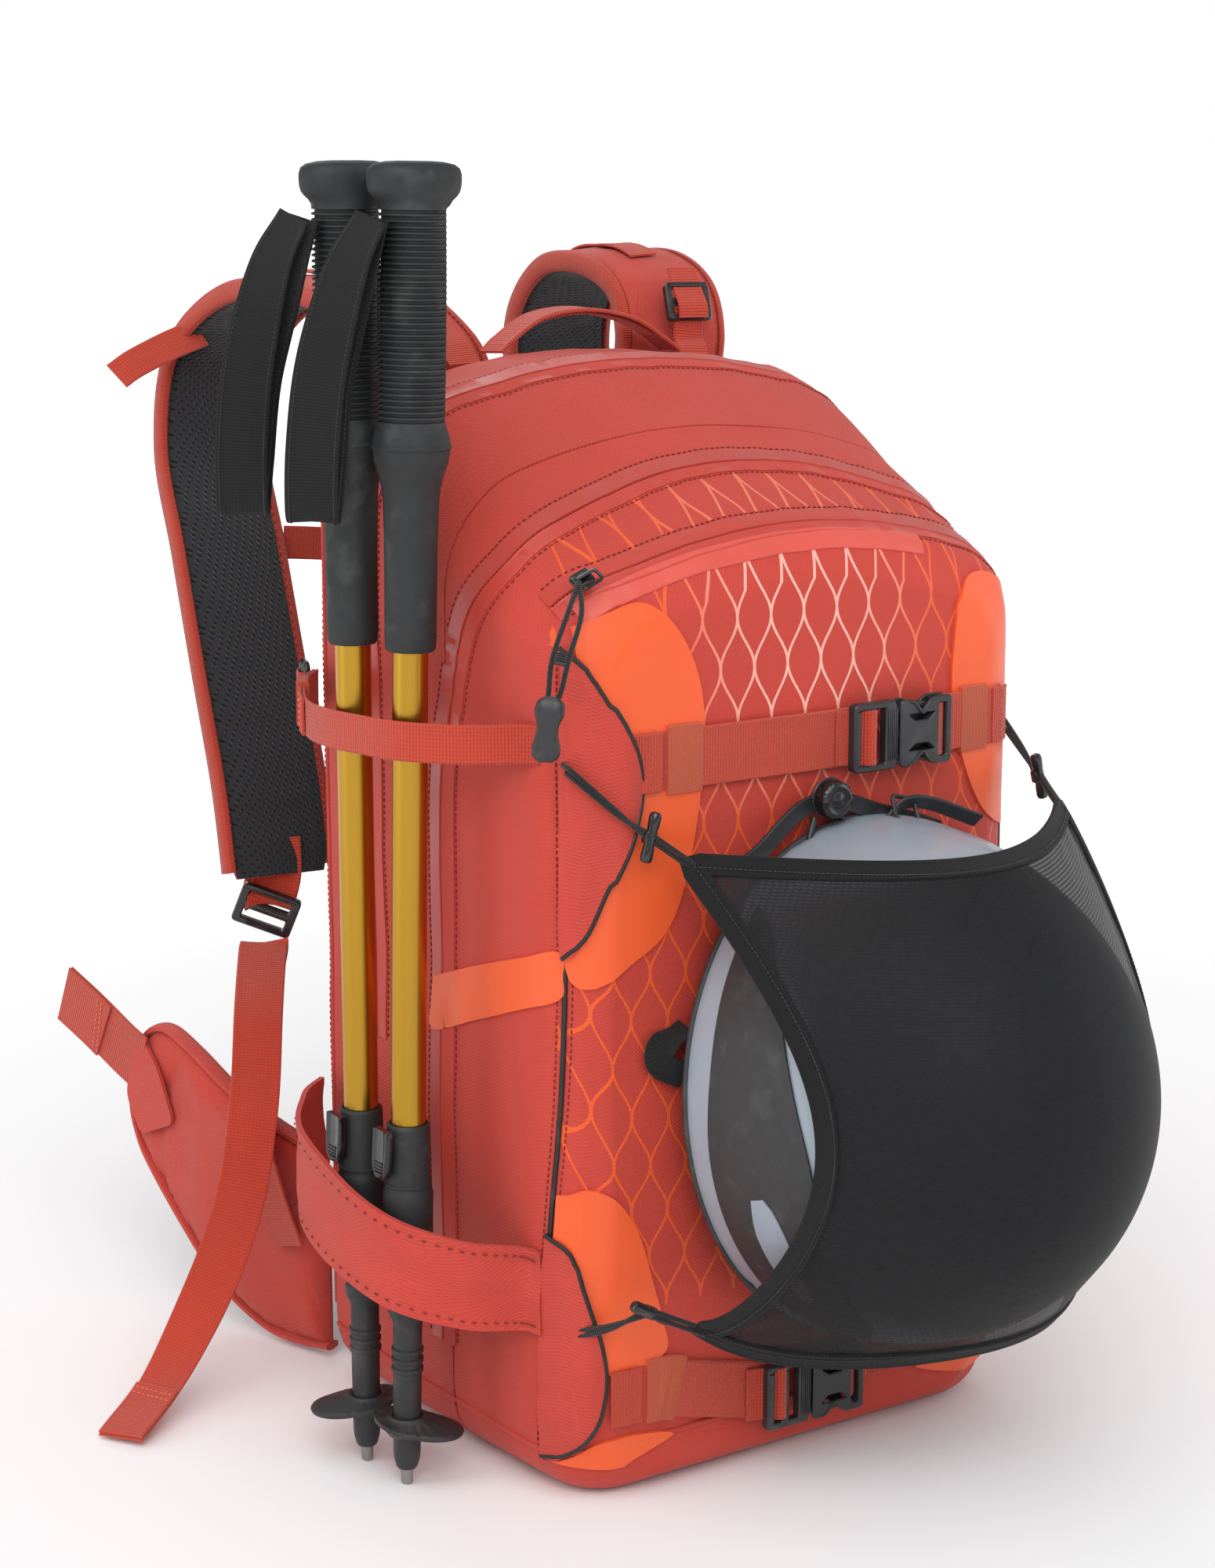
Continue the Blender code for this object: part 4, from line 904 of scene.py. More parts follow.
TAPE = ((-0.0105, -0.0010), (-0.0105, 0.0007), (-0.0100, 0.0010), (-0.0018, 0.0010),
        (-0.0010, 0.0015), (-0.0004, 0.0002), (0.0004, 0.0002), (0.0010, 0.0015),
        (0.0018, 0.0010), (0.0100, 0.0010), (0.0105, 0.0007), (0.0105, -0.0010))
PIPE = tuple((0.0015 * math.cos(math.pi * i / 6), 0.0013 * math.sin(math.pi * i / 6) + 0.0004)
             for i in range(7)) + ((-0.0012, -0.0010), (0.0012, -0.0010))


def band_profile(left, right, height=0.0009):
    return ((left, -0.0010), (left, height * 0.6), (left + 0.0005, height),
            ((left + right) / 2, height), (right - 0.0005, height), (right, height * 0.6),
            (right, -0.0010))


def make_zips(skin):
    for name, route in (("zip_tape_pocket", ZIP_POCKET), ("zip_tape_front", ZIP_FRONT),
                        ("zip_tape_rear", ZIP_REAR)):
        tape = Shape()
        skin.lay(tape, route, TAPE)
        piece(name, tape.mesh(name), MAT["tape"])
    teeth = Shape()
    for route in (ZIP_POCKET, ZIP_FRONT, ZIP_REAR):
        skin.stitch(teeth, route, 0.0, 0.0022, 0.0005, radius=0.0006)
    piece("zip_coils", teeth.mesh("zip_coils"), MAT["teeth"])
    rows = Shape()
    for route in (ZIP_POCKET, ZIP_FRONT, ZIP_REAR):
        for offset in (-0.0122, 0.0122):
            skin.stitch(rows, route, offset)
    for route in (SEAM_FRONT, mirrored(SEAM_FRONT)):
        for offset in (-0.0040, 0.0040):
            skin.stitch(rows, route, offset)
    skin.stitch(rows, SEAM_PANEL_REAR, -0.006)
    piece("seam_stitches", rows.mesh("seam_stitches"), MAT["thread"])
    pipes = Shape()
    for route in (SEAM_FRONT[1:], mirrored(SEAM_FRONT[1:])):
        skin.lay(pipes, route, PIPE)
    piece("front_piping", pipes.mesh("front_piping"), MAT["piping"])
    rear = Shape()
    skin.lay(rear, SEAM_PANEL_REAR, PIPE)
    skin.lay(rear, SEAM_BASE, PIPE)
    piece("body_piping", rear.mesh("body_piping"), MAT["coral"])


GLOSS_BAND = ((-0.134, -0.115, 0.466), (-0.104, -0.117, 0.477), (-0.074, -0.118, 0.485),
              (-0.012, -0.118, 0.492), (0.040, -0.118, 0.491), (0.080, -0.117, 0.485))
FLAP = ((-0.1405, 0.449), (-0.134, 0.441), (-0.128, 0.430), (-0.117, 0.410), (-0.109, 0.392),
        (-0.1065, 0.376), (-0.111, 0.360), (-0.123, 0.330), (-0.132, 0.306), (-0.1405, 0.293),
        (-0.1415, 0.330), (-0.1415, 0.390))
PATCH_UPPER_LEFT = ((-0.1355, 0.459), (-0.120, 0.465), (-0.100, 0.469), (-0.084, 0.456),
                    (-0.0735, 0.436), (-0.069, 0.412), (-0.070, 0.385), (-0.076, 0.345),
                    (-0.088, 0.308), (-0.108, 0.291), (-0.1385, 0.281), (-0.1365, 0.360))
PATCH_UPPER_RIGHT = ((0.096, 0.452), (0.108, 0.466), (0.128, 0.464), (0.1405, 0.450),
                     (0.1405, 0.400), (0.1405, 0.335), (0.128, 0.331), (0.112, 0.345),
                     (0.098, 0.375), (0.092, 0.410))
PATCH_LOWER_LEFT = ((-0.1430, 0.168), (-0.132, 0.172), (-0.119, 0.165), (-0.107, 0.146),
                    (-0.099, 0.120), (-0.092, 0.095), (-0.091, 0.078), (-0.118, 0.072),
                    (-0.1445, 0.080), (-0.1445, 0.125))
PATCH_LOWER_RIGHT = tuple((-x, z) for x, z in PATCH_LOWER_LEFT)
FLAP_LOWER = ((-0.1455, 0.146), (-0.139, 0.136), (-0.133, 0.112), (-0.127, 0.090),
              (-0.1245, 0.069), (-0.128, 0.047), (-0.138, 0.030), (-0.1455, 0.024),
              (-0.1465, 0.060), (-0.1465, 0.110))
PATCH_FOOT_LEFT = ((-0.1440, 0.0215), (-0.120, 0.019), (-0.100, 0.024), (-0.083, 0.030),
                   (-0.100, 0.0345), (-0.124, 0.035))
PATCH_FOOT_RIGHT = ((0.144, 0.0215), (0.120, 0.019), (0.098, 0.022), (0.078, 0.030),
                    (0.100, 0.0345), (0.124, 0.035))
SIDE_BAND = ((-0.012, 0.262), (-0.050, 0.276), (-0.090, 0.289), (-0.112, 0.296),
             (-0.1135, 0.283), (-0.112, 0.271), (-0.090, 0.262), (-0.050, 0.247),
             (-0.012, 0.233), (-0.010, 0.247))


def make_patches(skin):
    def on_front(x, z):
        return skin.hit((x, -0.30, z), (0, 1, 0))

    def on_left(y, z):
        return skin.hit((-0.30, y, z), (1, 0, 0))

    def on_right(y, z):
        return skin.hit((0.30, y, z), (-1, 0, 0))

    patches = (("patch_upper_left", PATCH_UPPER_LEFT, on_front),
               ("patch_upper_right", PATCH_UPPER_RIGHT, on_front),
               ("patch_lower_left", PATCH_LOWER_LEFT, on_front),
               ("patch_lower_right", PATCH_LOWER_RIGHT, on_front),
               ("patch_foot_left", PATCH_FOOT_LEFT, on_front),
               ("patch_foot_right", PATCH_FOOT_RIGHT, on_front),
               ("side_band_left", SIDE_BAND, on_left),
               ("side_band_right", SIDE_BAND, on_right))
    for name, outline, project in patches:
        shape = Shape()
        skin_patch(shape, outline, project)
        piece(name, shape.mesh(name), MAT["orange"])

    def puffed(x, z):
        place, normal = on_front(x, z)
        edge = min(1.0, max(0.0, (-0.106 - x) / 0.018))
        swell = 0.0035 * math.sin(math.pi * min(1.0, edge)) + 0.0012 * edge
        fold = 0.0007 * noise.noise(Vector((x * 45, 0, z * 30))) * edge
        return place + normal * (swell + fold), normal

    def low_puffed(x, z):
        place, normal = on_front(x, z)
        edge = min(1.0, max(0.0, (-0.124 - x) / 0.014))
        fold = 0.0010 * noise.noise(Vector((x * 110, 2, z * 70))) * edge
        return place + normal * (0.0024 * math.sin(math.pi * edge) + fold), normal

    for name, outline, project in (("pocket_flap", FLAP, puffed),
                                   ("lower_flap", FLAP_LOWER, low_puffed)):
        shape = Shape()
        skin_patch(shape, outline, project, lift=0.0022)
        piece(name, shape.mesh(name), MAT["coral"])
    edges = Shape()
    for outline, project, span in ((FLAP, puffed, slice(0, 10)),
                                   (FLAP_LOWER, low_puffed, slice(0, 8))):
        line = smooth_path([(x, z, 0) for x, z in outline[span]], 6)
        seats = [project(p.x, p.y) for p in even_path(line, 0.0025)]
        edges.tube([place + normal * 0.0028 for place, normal in seats], 0.0012, 8)
    piece("flap_piping", edges.mesh("flap_piping"), MAT["piping"])
    shape = Shape()
    skin.lay(shape, GLOSS_BAND, band_profile(-0.0060, 0.0075, 0.0011))
    piece("gloss_band", shape.mesh("gloss_band"), MAT["band"])


# ---------------------------------------------------------------- front straps and buckles

def strap_height(x, buckle):
    """Height of a strap: level under its buckle, then rising evenly to its seam."""
    buckle_x, z, rise = buckle
    away = max(0.0, abs(x - buckle_x) - STRAP_LEVEL_RUN)
    return z + rise * min(1.0, away / STRAP_SLOPE_RUN)


def strap_line(skin, x_from, x_to, buckle, lift):
    """Points on the front along a strap, lifted off the cloth under the whole width."""
    steps = max(3, round(abs(x_to - x_from) / 0.006))
    path = []
    for i in range(steps + 1):
        x = x_from + (x_to - x_from) * i / steps
        z = strap_height(x, buckle)
        way = Vector((x, -0.100, 0.0)).normalized()
        best = 0.0
        for dz in (-FRONT_WEB / 2, 0.0, FRONT_WEB / 2):
            middle = Vector((0, STRAP_AXIS_Y, z + dz))
            place = skin.tree.ray_cast(middle + way * 0.5, -way)[0]
            best = max(best, (place - middle).length)
        path.append(Vector((0, STRAP_AXIS_Y, z)) + way * (best + lift))
    return path


def make_front_straps(skin):
    lift = 0.0016
    upper = (UPPER_BUCKLE_X, UPPER_STRAP_Z, 0.0)
    lower = (LOWER_BUCKLE_X, LOWER_STRAP_Z, LOWER_STRAP_RISE)
    spans = (("strap_upper_left", -0.111, UPPER_BUCKLE_X - 0.026, upper),
             ("strap_upper_right", 0.136, UPPER_BUCKLE_X + 0.032, upper),
             ("strap_lower_left", -0.122, LOWER_BUCKLE_X - 0.026, lower),
             ("strap_lower_right", 0.118, LOWER_BUCKLE_X + 0.032, lower))
    for name, x_from, x_to, buckle in spans:
        shape = Shape()
        under = strap_line(skin, x_from, x_to, buckle, lift)
        shape.web(under, UP, FRONT_WEB)
        direction = 1 if x_to > x_from else -1
        over_from = x_from + direction * (0.030 if direction > 0 else 0.016)
        over = strap_line(skin, over_from, x_to, buckle, lift + WEB_THICKNESS + 0.0002)
        shape.web(over, UP, FRONT_WEB)
        piece(name + "_web", shape.mesh(name + "_web"), MAT["web"],
              nodes=[name])
        wrap = Shape()
        wrap.web(wrap_line(over[-1], direction), UP, FRONT_WEB * 0.96)
        holder = "pack"
        if direction > 0:
            holder = "upper_prong" if buckle is upper else "lower_prong"
        piece(name + "_wrap", wrap.mesh(name + "_wrap"), MAT["web"], holder)
        make_strap_trim(skin, name, x_from, direction, buckle, lift)


def wrap_line(end, direction):
    """Webbing that rises from the strap and turns round the buckle's bar."""
    reach = [(-0.010, 0.0020), (-0.004, 0.0030), (0.002, 0.0064), (0.0062, 0.0098),
             (0.0094, 0.0100), (0.0098, 0.0066), (0.0068, 0.0036)]
    return smooth_path([end + Vector((direction * a, -b, 0)) for a, b in reach], 5)


def make_strap_trim(skin, name, x_from, direction, buckle, lift):
    """Sewn end fold, box stitch and the elastic keeper that holds the spare webbing."""
    high = lift + 2 * WEB_THICKNESS
    fold = Shape()
    line = strap_line(skin, x_from, x_from + direction * 0.019, buckle, high)
    fold.web(line, UP, FRONT_WEB)
    piece(name + "_fold", fold.mesh(name + "_fold"), MAT["web"])
    keeper = Shape()
    start = x_from + direction * 0.0215
    line = strap_line(skin, start, start + direction * 0.020, buckle, lift + 0.0009)
    outline = [(-0.0170, -0.0016), (0.0170, -0.0016), (0.0176, 0.0), (0.0172, 0.0032),
               (0.0150, 0.0042), (0.0, 0.0044), (-0.0150, 0.0042), (-0.0172, 0.0032),
               (-0.0176, 0.0)]
    if direction > 0:
        outline = [(u, -v) for u, v in outline]
    keeper.sweep(line, UP, outline)
    piece(name + "_keeper", keeper.mesh(name + "_keeper"), MAT["keeper"])
    rows = Shape()
    line = strap_line(skin, x_from, x_from + direction * 0.019, buckle, high + 0.0010)
    for k in (2, len(line) - 2):
        normal = Vector((line[k].x, -0.1, 0)).normalized()
        stitch_row(rows, line[k], UP, normal, -0.0125, 0.0031, 9, 0.0021)
    piece(name + "_stitches", rows.mesh(name + "_stitches"), MAT["light_thread"])


def rounded_outline(points, radius, steps=5):
    """Closed outline with each corner rounded."""
    out = []
    count = len(points)
    for i, point in enumerate(points):
        corner = Vector(point)
        before = (Vector(points[i - 1]) - corner)
        after = (Vector(points[(i + 1) % count]) - corner)
        cut = min(radius, before.length * 0.45, after.length * 0.45)
        a, b = corner + before.normalized() * cut, corner + after.normalized() * cut
        for k in range(steps + 1):
            t = k / steps
            out.append(a * (1 - t) ** 2 + corner * 2 * t * (1 - t) + b * t ** 2)
    return out


def rounded_box(x, half_x, half_y, radius, steps=5):
    """Rounded rectangle about (x, 0)."""
    return rounded_outline([(x - half_x, -half_y), (x + half_x, -half_y),
                            (x + half_x, half_y), (x - half_x, half_y)], radius, steps)


def flat_ring(outline, matrix=None):
    """Outline in the XY plane as points of a path, moved by the matrix."""
    points = [Vector((p.x, p.y, 0)) for p in outline]
    return [matrix @ p for p in points] if matrix is not None else points


def plate(shape, outline, holes, low, high, bevel=0.0007):
    """Flat moulded plate with through holes and softened edges."""
    rings = [[Vector(p) for p in outline]] + [[Vector(p) for p in hole] for hole in holes]
    points, edges, starts = [], [], []
    for ring in rings:
        starts.append(len(points))
        points += ring
        edges += [(starts[-1] + i, starts[-1] + (i + 1) % len(ring)) for i in range(len(ring))]
    inset_points = []
    for ring in rings:
        count = len(ring)
        area = sum(ring[i].cross(ring[(i + 1) % count]) for i in range(count))
        sign = 1 if (area > 0) == (ring is rings[0]) else -1
        for i in range(count):
            tangent = (ring[(i + 1) % count] - ring[i - 1]).normalized()
            inset_points.append(ring[i] + Vector((-tangent.y, tangent.x)) * bevel * sign)
    made = geometry.delaunay_2d_cdt(inset_points, edges, [], 1, 1e-7)
    if len(made[0]) != len(inset_points):
        raise ValueError("a plate outline crosses itself")
    hole_rings = [inset_points[s:s + len(r)] for s, r in zip(starts[1:], rings[1:])]
    keep = []
    for face in made[2]:
        middle = sum((made[0][i] for i in face), Vector((0, 0))) / len(face)
        if not any(inside(middle, hole) for hole in hole_rings):
            keep.append(tuple(face))
    size = len(points)
    verts = []
    for level, z in ((inset_points, high), (points, high - bevel), (points, low + bevel),
                     (inset_points, low)):
        verts += [(p.x, p.y, z) for p in level]
    faces = keep + [tuple(3 * size + i for i in reversed(f)) for f in keep]
    for s, ring in zip(starts, rings):
        count = len(ring)
        for level in range(3):
            for i in range(count):
                j = (i + 1) % count
                a, b = level * size + s, (level + 1) * size + s
                faces.append((a + i, a + j, b + j, b + i))
    shape.add(verts, faces)


def buckle_matrix(name):
    low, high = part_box(f"buckle_{name}_socket")
    x = {"upper": UPPER_BUCKLE_X, "lower": LOWER_BUCKLE_X}[name]
    centre_y = (low.y + high.y) / 2
    z = (low.z + high.z) / 2
    basis = Matrix(((1, 0, 0), (0, 0, -1), (0, 1, 0))).to_4x4()
    return Matrix.Translation((x, centre_y, z)) @ basis


def make_buckles():
    """Side-release buckles: webbing frame and arms on one side, windowed body on the other."""
    for name, body in (("upper", "upper_prong"), ("lower", "lower_prong")):
        matrix = buckle_matrix(name)
        prong = Shape()
        outline = rounded_outline([(-0.0285, -0.0180), (-0.0020, -0.0180), (-0.0005, -0.0150),
                                   (-0.0005, 0.0150), (-0.0020, 0.0180), (-0.0285, 0.0180)],
                                  0.0030)
        slots = [rounded_box(x, half, 0.0145, 0.0012)
                 for x, half in ((-0.0222, 0.0033), (-0.0115, 0.0036))]
        plate(prong, outline, slots, -0.0030, 0.0030)
        for x in (-0.0167, -0.0262):
            bar = [Vector((x, y, 0.0022)) for y in (-0.0140, 0.0140)]
            prong.tube(bar, 0.0019, 12)
        for k in range(5):
            prong.box((0.0008, 0.0260, 0.0009), (-0.0062 + k * 0.0013, 0, 0.0031), 0.0002, 1)
        for side in (-1, 1):
            arm = smooth_path([(-0.002, side * 0.0120, 0), (0.006, side * 0.0125, 0),
                               (0.014, side * 0.0142, 0), (0.0215, side * 0.0128, 0)], 5)
            prong.web(arm, UP, 0.0046, 0.0030, 2)
        prong.box((0.0215, 0.0050, 0.0036), (0.0095, 0, 0), 0.0008)
        piece(f"buckle_{name}_fork", prong.mesh("fork", matrix), MAT["satin"], body,
              [f"buckle_{name}_prong"])

        socket = Shape()
        outline = rounded_outline([(0.0005, -0.0172), (0.0050, -0.0180), (0.0100, -0.0165),
                                   (0.0150, -0.0112), (0.0195, -0.0165), (0.0235, -0.0180),
                                   (0.0345, -0.0180), (0.0345, 0.0180), (0.0235, 0.0180),
                                   (0.0195, 0.0165), (0.0150, 0.0112), (0.0100, 0.0165),
                                   (0.0050, 0.0180), (0.0005, 0.0172)], 0.0028)
        windows = [rounded_box(0.0287, 0.0025, 0.0140, 0.0012)]
        for side in (-1, 1):
            windows.append(rounded_outline([(0.0060, side * 0.0098), (0.0235, side * 0.0098),
                                            (0.0190, side * 0.0062), (0.0105, side * 0.0062)],
                                           0.0009))
        plate(socket, outline, windows, 0.0026, 0.0045, 0.0006)
        plate(socket, outline, windows[:1], -0.0045, -0.0026, 0.0006)
        for x in (0.0330, 0.0246):
            socket.box((0.0028, 0.0330, 0.0054), (x, 0, 0), 0.0008)
        for side in (-1, 1):
            rim = smooth_path([(0.0062, side * 0.0168, 0.0040), (0.0100, side * 0.0152, 0.0043),
                               (0.0150, side * 0.0102, 0.0047), (0.0195, side * 0.0152, 0.0043),
                               (0.0232, side * 0.0168, 0.0040)], 5)
            socket.tube(rim, 0.0009, 8)
            tray = smooth_path([(0.0050, side * 0.0100, 0), (0.0150, side * 0.0040, 0),
                                (0.0245, side * 0.0100, 0)], 6)
            socket.web(tray, UP, 0.0050, 0.0012, 2)
        piece(f"buckle_{name}_body", socket.mesh("body", matrix), MAT["satin"], "pack",
              [f"buckle_{name}_socket"])


# ---------------------------------------------------------------- side loops and straps

LOOP_ROUTE = ((-0.1625, 0.1000, 0.150, 0.056), (-0.1860, 0.0780, 0.150, 0.056),
              (-0.2110, 0.0350, 0.149, 0.055), (-0.2180, -0.0150, 0.140, 0.053),
              (-0.2100, -0.0560, 0.129, 0.050), (-0.1820, -0.0830, 0.119, 0.047),
              (-0.1540, -0.0950, 0.115, 0.045), (-0.1475, -0.1035, 0.113, 0.044))
SIDE_LEFT = ((-0.1640, 0.0960), (-0.1860, 0.0680), (-0.2070, 0.0280), (-0.2130, -0.0050),
             (-0.2095, -0.0330), (-0.2010, -0.0560), (-0.1790, -0.0800), (-0.1550, -0.0960),
             (-0.1480, -0.1035))
SIDE_RIGHT = ((0.1650, 0.0960), (0.1640, 0.0680), (0.1625, 0.0280), (0.1605, -0.0050),
              (0.1590, -0.0330), (0.1580, -0.0560), (0.1565, -0.0800), (0.1550, -0.0960),
              (0.1480, -0.1035))


def make_pole_loops():
    for name, sign in (("pole_loop_left", 1), ("pole_loop_right", -1)):
        squeeze = 1.0 if sign == 1 else 0.30
        points = []
        for x, y, z, tall in LOOP_ROUTE:
            bulge = max(0.0, -x - 0.1600) * squeeze
            points.append((sign * (-min(-x, 0.1600) - bulge - 0.0012), y, z))
        path = smooth_path(points, 12)
        heights = smooth_values([row[3] for row in LOOP_ROUTE], 12)
        shape, rows = Shape(), Shape()
        rings, cloth = [], []
        last = len(path) - 1
        for i, point in enumerate(path):
            tangent = heading(path, i)
            out = Vector((tangent.y, -tangent.x, 0)).normalized() * sign
            half = heights[i] / 2
            t = i / last
            outer, inner = [], []
            steps = 14
            for k in range(steps + 1):
                v = -1 + 2 * k / steps
                sag = 0.0011 * math.sin(9 * t + 3 * v) * (1 - v * v)
                crease = 0.0008 * noise.noise(Vector((t * 9, v * 2.5, 4 + sign)))
                hem = 0.0011 if abs(v) > 0.82 else 0.0
                base = point + Vector((0, 0, v * half)) + out * (sag + crease)
                outer.append(base + out * (0.0009 + hem * 0.6))
                inner.append(base - out * (0.0009 + hem * 0.3))
            rings.append(outer + inner[::-1])
            cloth += [(k * 0.004, i * 0.004, 0.0) for k in range(2 * steps + 2)]
            if i % 2 == 0 and 2 < i < last - 2:
                for v in (-0.80, 0.80):
                    at = point + Vector((0, 0, v * half)) + out * 0.0024
                    add_stitch(rows, at, tangent, out, 0.0024)
        shape.loft(rings, cloth=cloth)
        piece(name + "_cloth", shape.mesh(name, sharp=50), MAT["coral"], "pack",
              [name])
        piece(name + "_stitches", rows.mesh(name), MAT["thread"], "pack")


def make_side_straps():
    for name, route, sign in (("left", SIDE_LEFT, -1), ("right", SIDE_RIGHT, 1)):
        path = even_path(smooth_path([(x, y, SIDE_STRAP_Z) for x, y in route], 10), 0.003)
        last = len(path) - 1
        for i, p in enumerate(path):
            p.z += 0.0012 * math.sin(i * 0.16) * (1 - i / last)
        shape = Shape()
        shape.web(path, UP, SIDE_WEB)
        third = int(last * 0.36)
        doubled = [p + outward_xy(path, i, sign) * (WEB_THICKNESS + 0.0002)
                   for i, p in enumerate(path[:third])]
        shape.web(doubled, UP, SIDE_WEB)
        piece(f"side_strap_{name}_web", shape.mesh("side_strap", sharp=50), MAT["web"],
              "pack", [f"side_strap_{name}"])
        keeper = Shape()
        start = int(last * 0.16)
        line = [path[i] + outward_xy(path, i, sign) * 0.0009 for i in range(start, start + 6)]
        outline = [(-0.0122, -0.0026), (-0.0110, -0.0034), (0.0110, -0.0034), (0.0122, -0.0026),
                   (0.0122, 0.0026), (0.0110, 0.0034), (-0.0110, 0.0034), (-0.0122, 0.0026)]
        keeper.sweep(line, UP, outline)
        piece(f"side_keeper_{name}", keeper.mesh("keeper"), MAT["keeper"], "pack")
        rows = Shape()
        for k in (third - 3, third - 8):
            out = outward_xy(path, k, sign)
            stitch_row(rows, path[k] + out * 0.0030, UP, out, -0.0078, 0.0031, 6)
        piece(f"side_stitches_{name}", rows.mesh("rows"), MAT["light_thread"], "pack")
        make_side_hook(name, sign)


def outward_xy(path, i, sign):
    """Level direction square to the path, away from the pack on the side of the sign."""
    tangent = heading(path, i)
    out = Vector((tangent.y, -tangent.x, 0)).normalized()
    return out if out.x * sign > 0 else -out


def make_side_hook(name, sign):
    """Glossy hook frame with its webbing loop, sewn into the rear seam."""
    matrix = frame_matrix((sign * 0.1650, 0.1080, 0.397), (-sign * 0.35, 1, 0),
                          (sign, 0.35, 0))
    shape = Shape()
    shape.tube(flat_ring(rounded_box(0, 0.0080, 0.0150, 0.0040, 6)), 0.0018, 10, loop=True)
    shape.tube([Vector((0.0, y, 0.0006)) for y in (-0.0145, -0.005, 0.005, 0.0145)], 0.0016, 10)
    hook = smooth_path([(-0.0080, 0.0140, 0), (-0.0095, 0.0165, 0.0010),
                        (-0.0065, 0.0180, 0.0018), (-0.0030, 0.0165, 0.0022)], 5)
    shape.tube(hook, 0.0015, 8)
    piece(f"side_hook_{name}_frame", shape.mesh("hook", matrix), MAT["gloss"], "pack",
          [f"side_hook_{name}"])
    web = Shape()
    loop = smooth_path([(0.0140, 0, -0.0022), (0.0085, 0, -0.0030), (0.0020, 0, -0.0032),
                        (-0.0022, 0, -0.0010), (-0.0015, 0, 0.0028), (0.0050, 0, 0.0034),
                        (0.0140, 0, 0.0010)], 5)
    web.web(loop, BACK, SIDE_WEB, 0.0014)
    piece(f"side_hook_{name}_loop", web.mesh("loop", matrix), MAT["web"], "pack")


# ---------------------------------------------------------------- poles

NEAR_POLE = (Vector((-0.1970, -0.0470, 0.0002)), Vector((-0.1830, -0.0470, 0.680)))
FAR_POLE = (Vector((-0.2000, -0.0100, 0.0)), Vector((-0.2000, -0.0100, 0.686)))
NEAR_SWAYS = (-0.0025, -0.0035, -0.007, -0.009, -0.009, -0.006, -0.004, -0.002, -0.001, 0.0)
FAR_SWAYS = (0.0, 0.001, 0.002, 0.003, 0.003, 0.004, 0.006, 0.008, 0.010, 0.010)
SHAFT_RADIUS = 0.0090
SHAFT_BORE = 0.0068
ROD_RADIUS = 0.0062
STRAP_WIDE = 0.026
GRIP_TOP = 0.6590                # the ribbed hand part, along the pole
GRIP_FOOT = 0.5560
GRIP_RIBS = 36
GRIP_SIDES = 48


def pole_matrix(ends):
    tip, top = ends
    lean = (top - tip).normalized()
    turn = Vector((0, 0, 1)).rotation_difference(lean).to_matrix().to_4x4()
    return Matrix.Translation(tip) @ turn


def make_grip(suffix, matrix):
    """Broad head, ribbed hand part, flared guard and smooth foam below it."""
    shape = Shape()
    head = [(0.6815, 0.0085, 0.0060), (0.6812, 0.0150, 0.0100), (0.6800, 0.0212, 0.0138),
            (0.6782, 0.0240, 0.0154), (0.6755, 0.0250, 0.0160), (0.6725, 0.0251, 0.0161),
            (0.6692, 0.0248, 0.0160), (0.6668, 0.0240, 0.0158), (0.6648, 0.0222, 0.0158),
            (0.6628, 0.0196, 0.0160), (0.6608, 0.0180, 0.0162)]
    angles = [2 * math.pi * i / GRIP_SIDES for i in range(GRIP_SIDES)]
    rings = [[Vector((0.001 + rx * math.cos(a), ry * math.sin(a), z)) for a in angles]
             for z, rx, ry in head]
    pitch = (GRIP_TOP - GRIP_FOOT) / GRIP_RIBS
    for k in range(GRIP_RIBS):
        for part, depth in ((0.0, 0.0), (0.22, 0.0), (0.34, 0.0016), (0.72, 0.0016),
                            (0.88, 0.0)):
            z = GRIP_TOP - (k + part) * pitch
            body = 0.0166 + 0.0004 * math.sin((GRIP_TOP - z) / 0.103 * math.pi)
            ring = []
            for a in angles:
                smooth_side = 1.0 if math.cos(a) < 0.86 else 0.15
                reach = body - depth * smooth_side
                ring.append(Vector((reach * math.cos(a), reach * math.sin(a), z)))
            rings.append(ring)
    lower = [(0.5550, 0.0168), (0.5520, 0.0178), (0.5490, 0.0189), (0.5455, 0.0193),
             (0.5420, 0.0191), (0.5370, 0.0184), (0.5300, 0.0162), (0.5240, 0.0146),
             (0.5180, 0.0140), (0.5000, 0.0134), (0.4800, 0.0131), (0.4500, 0.0130),
             (0.4445, 0.0127), (0.4430, 0.0118), (0.4430, 0.0095), (0.6560, 0.0095)]
    for z, radius in lower:
        rings.append([Vector((radius * math.cos(a), radius * math.sin(a), z)) for a in angles])
    shape.loft(rings)
    shape.lathe([(0.5452, 0.0194), (0.5446, 0.0199), (0.5436, 0.0199), (0.5430, 0.0194)], 48,
                caps=False)
    piece(f"grip_{suffix}", shape.mesh("grip", matrix, 50), MAT["rubber"],
          f"pole_{suffix}_upper", [f"pole_grip_{suffix}"])


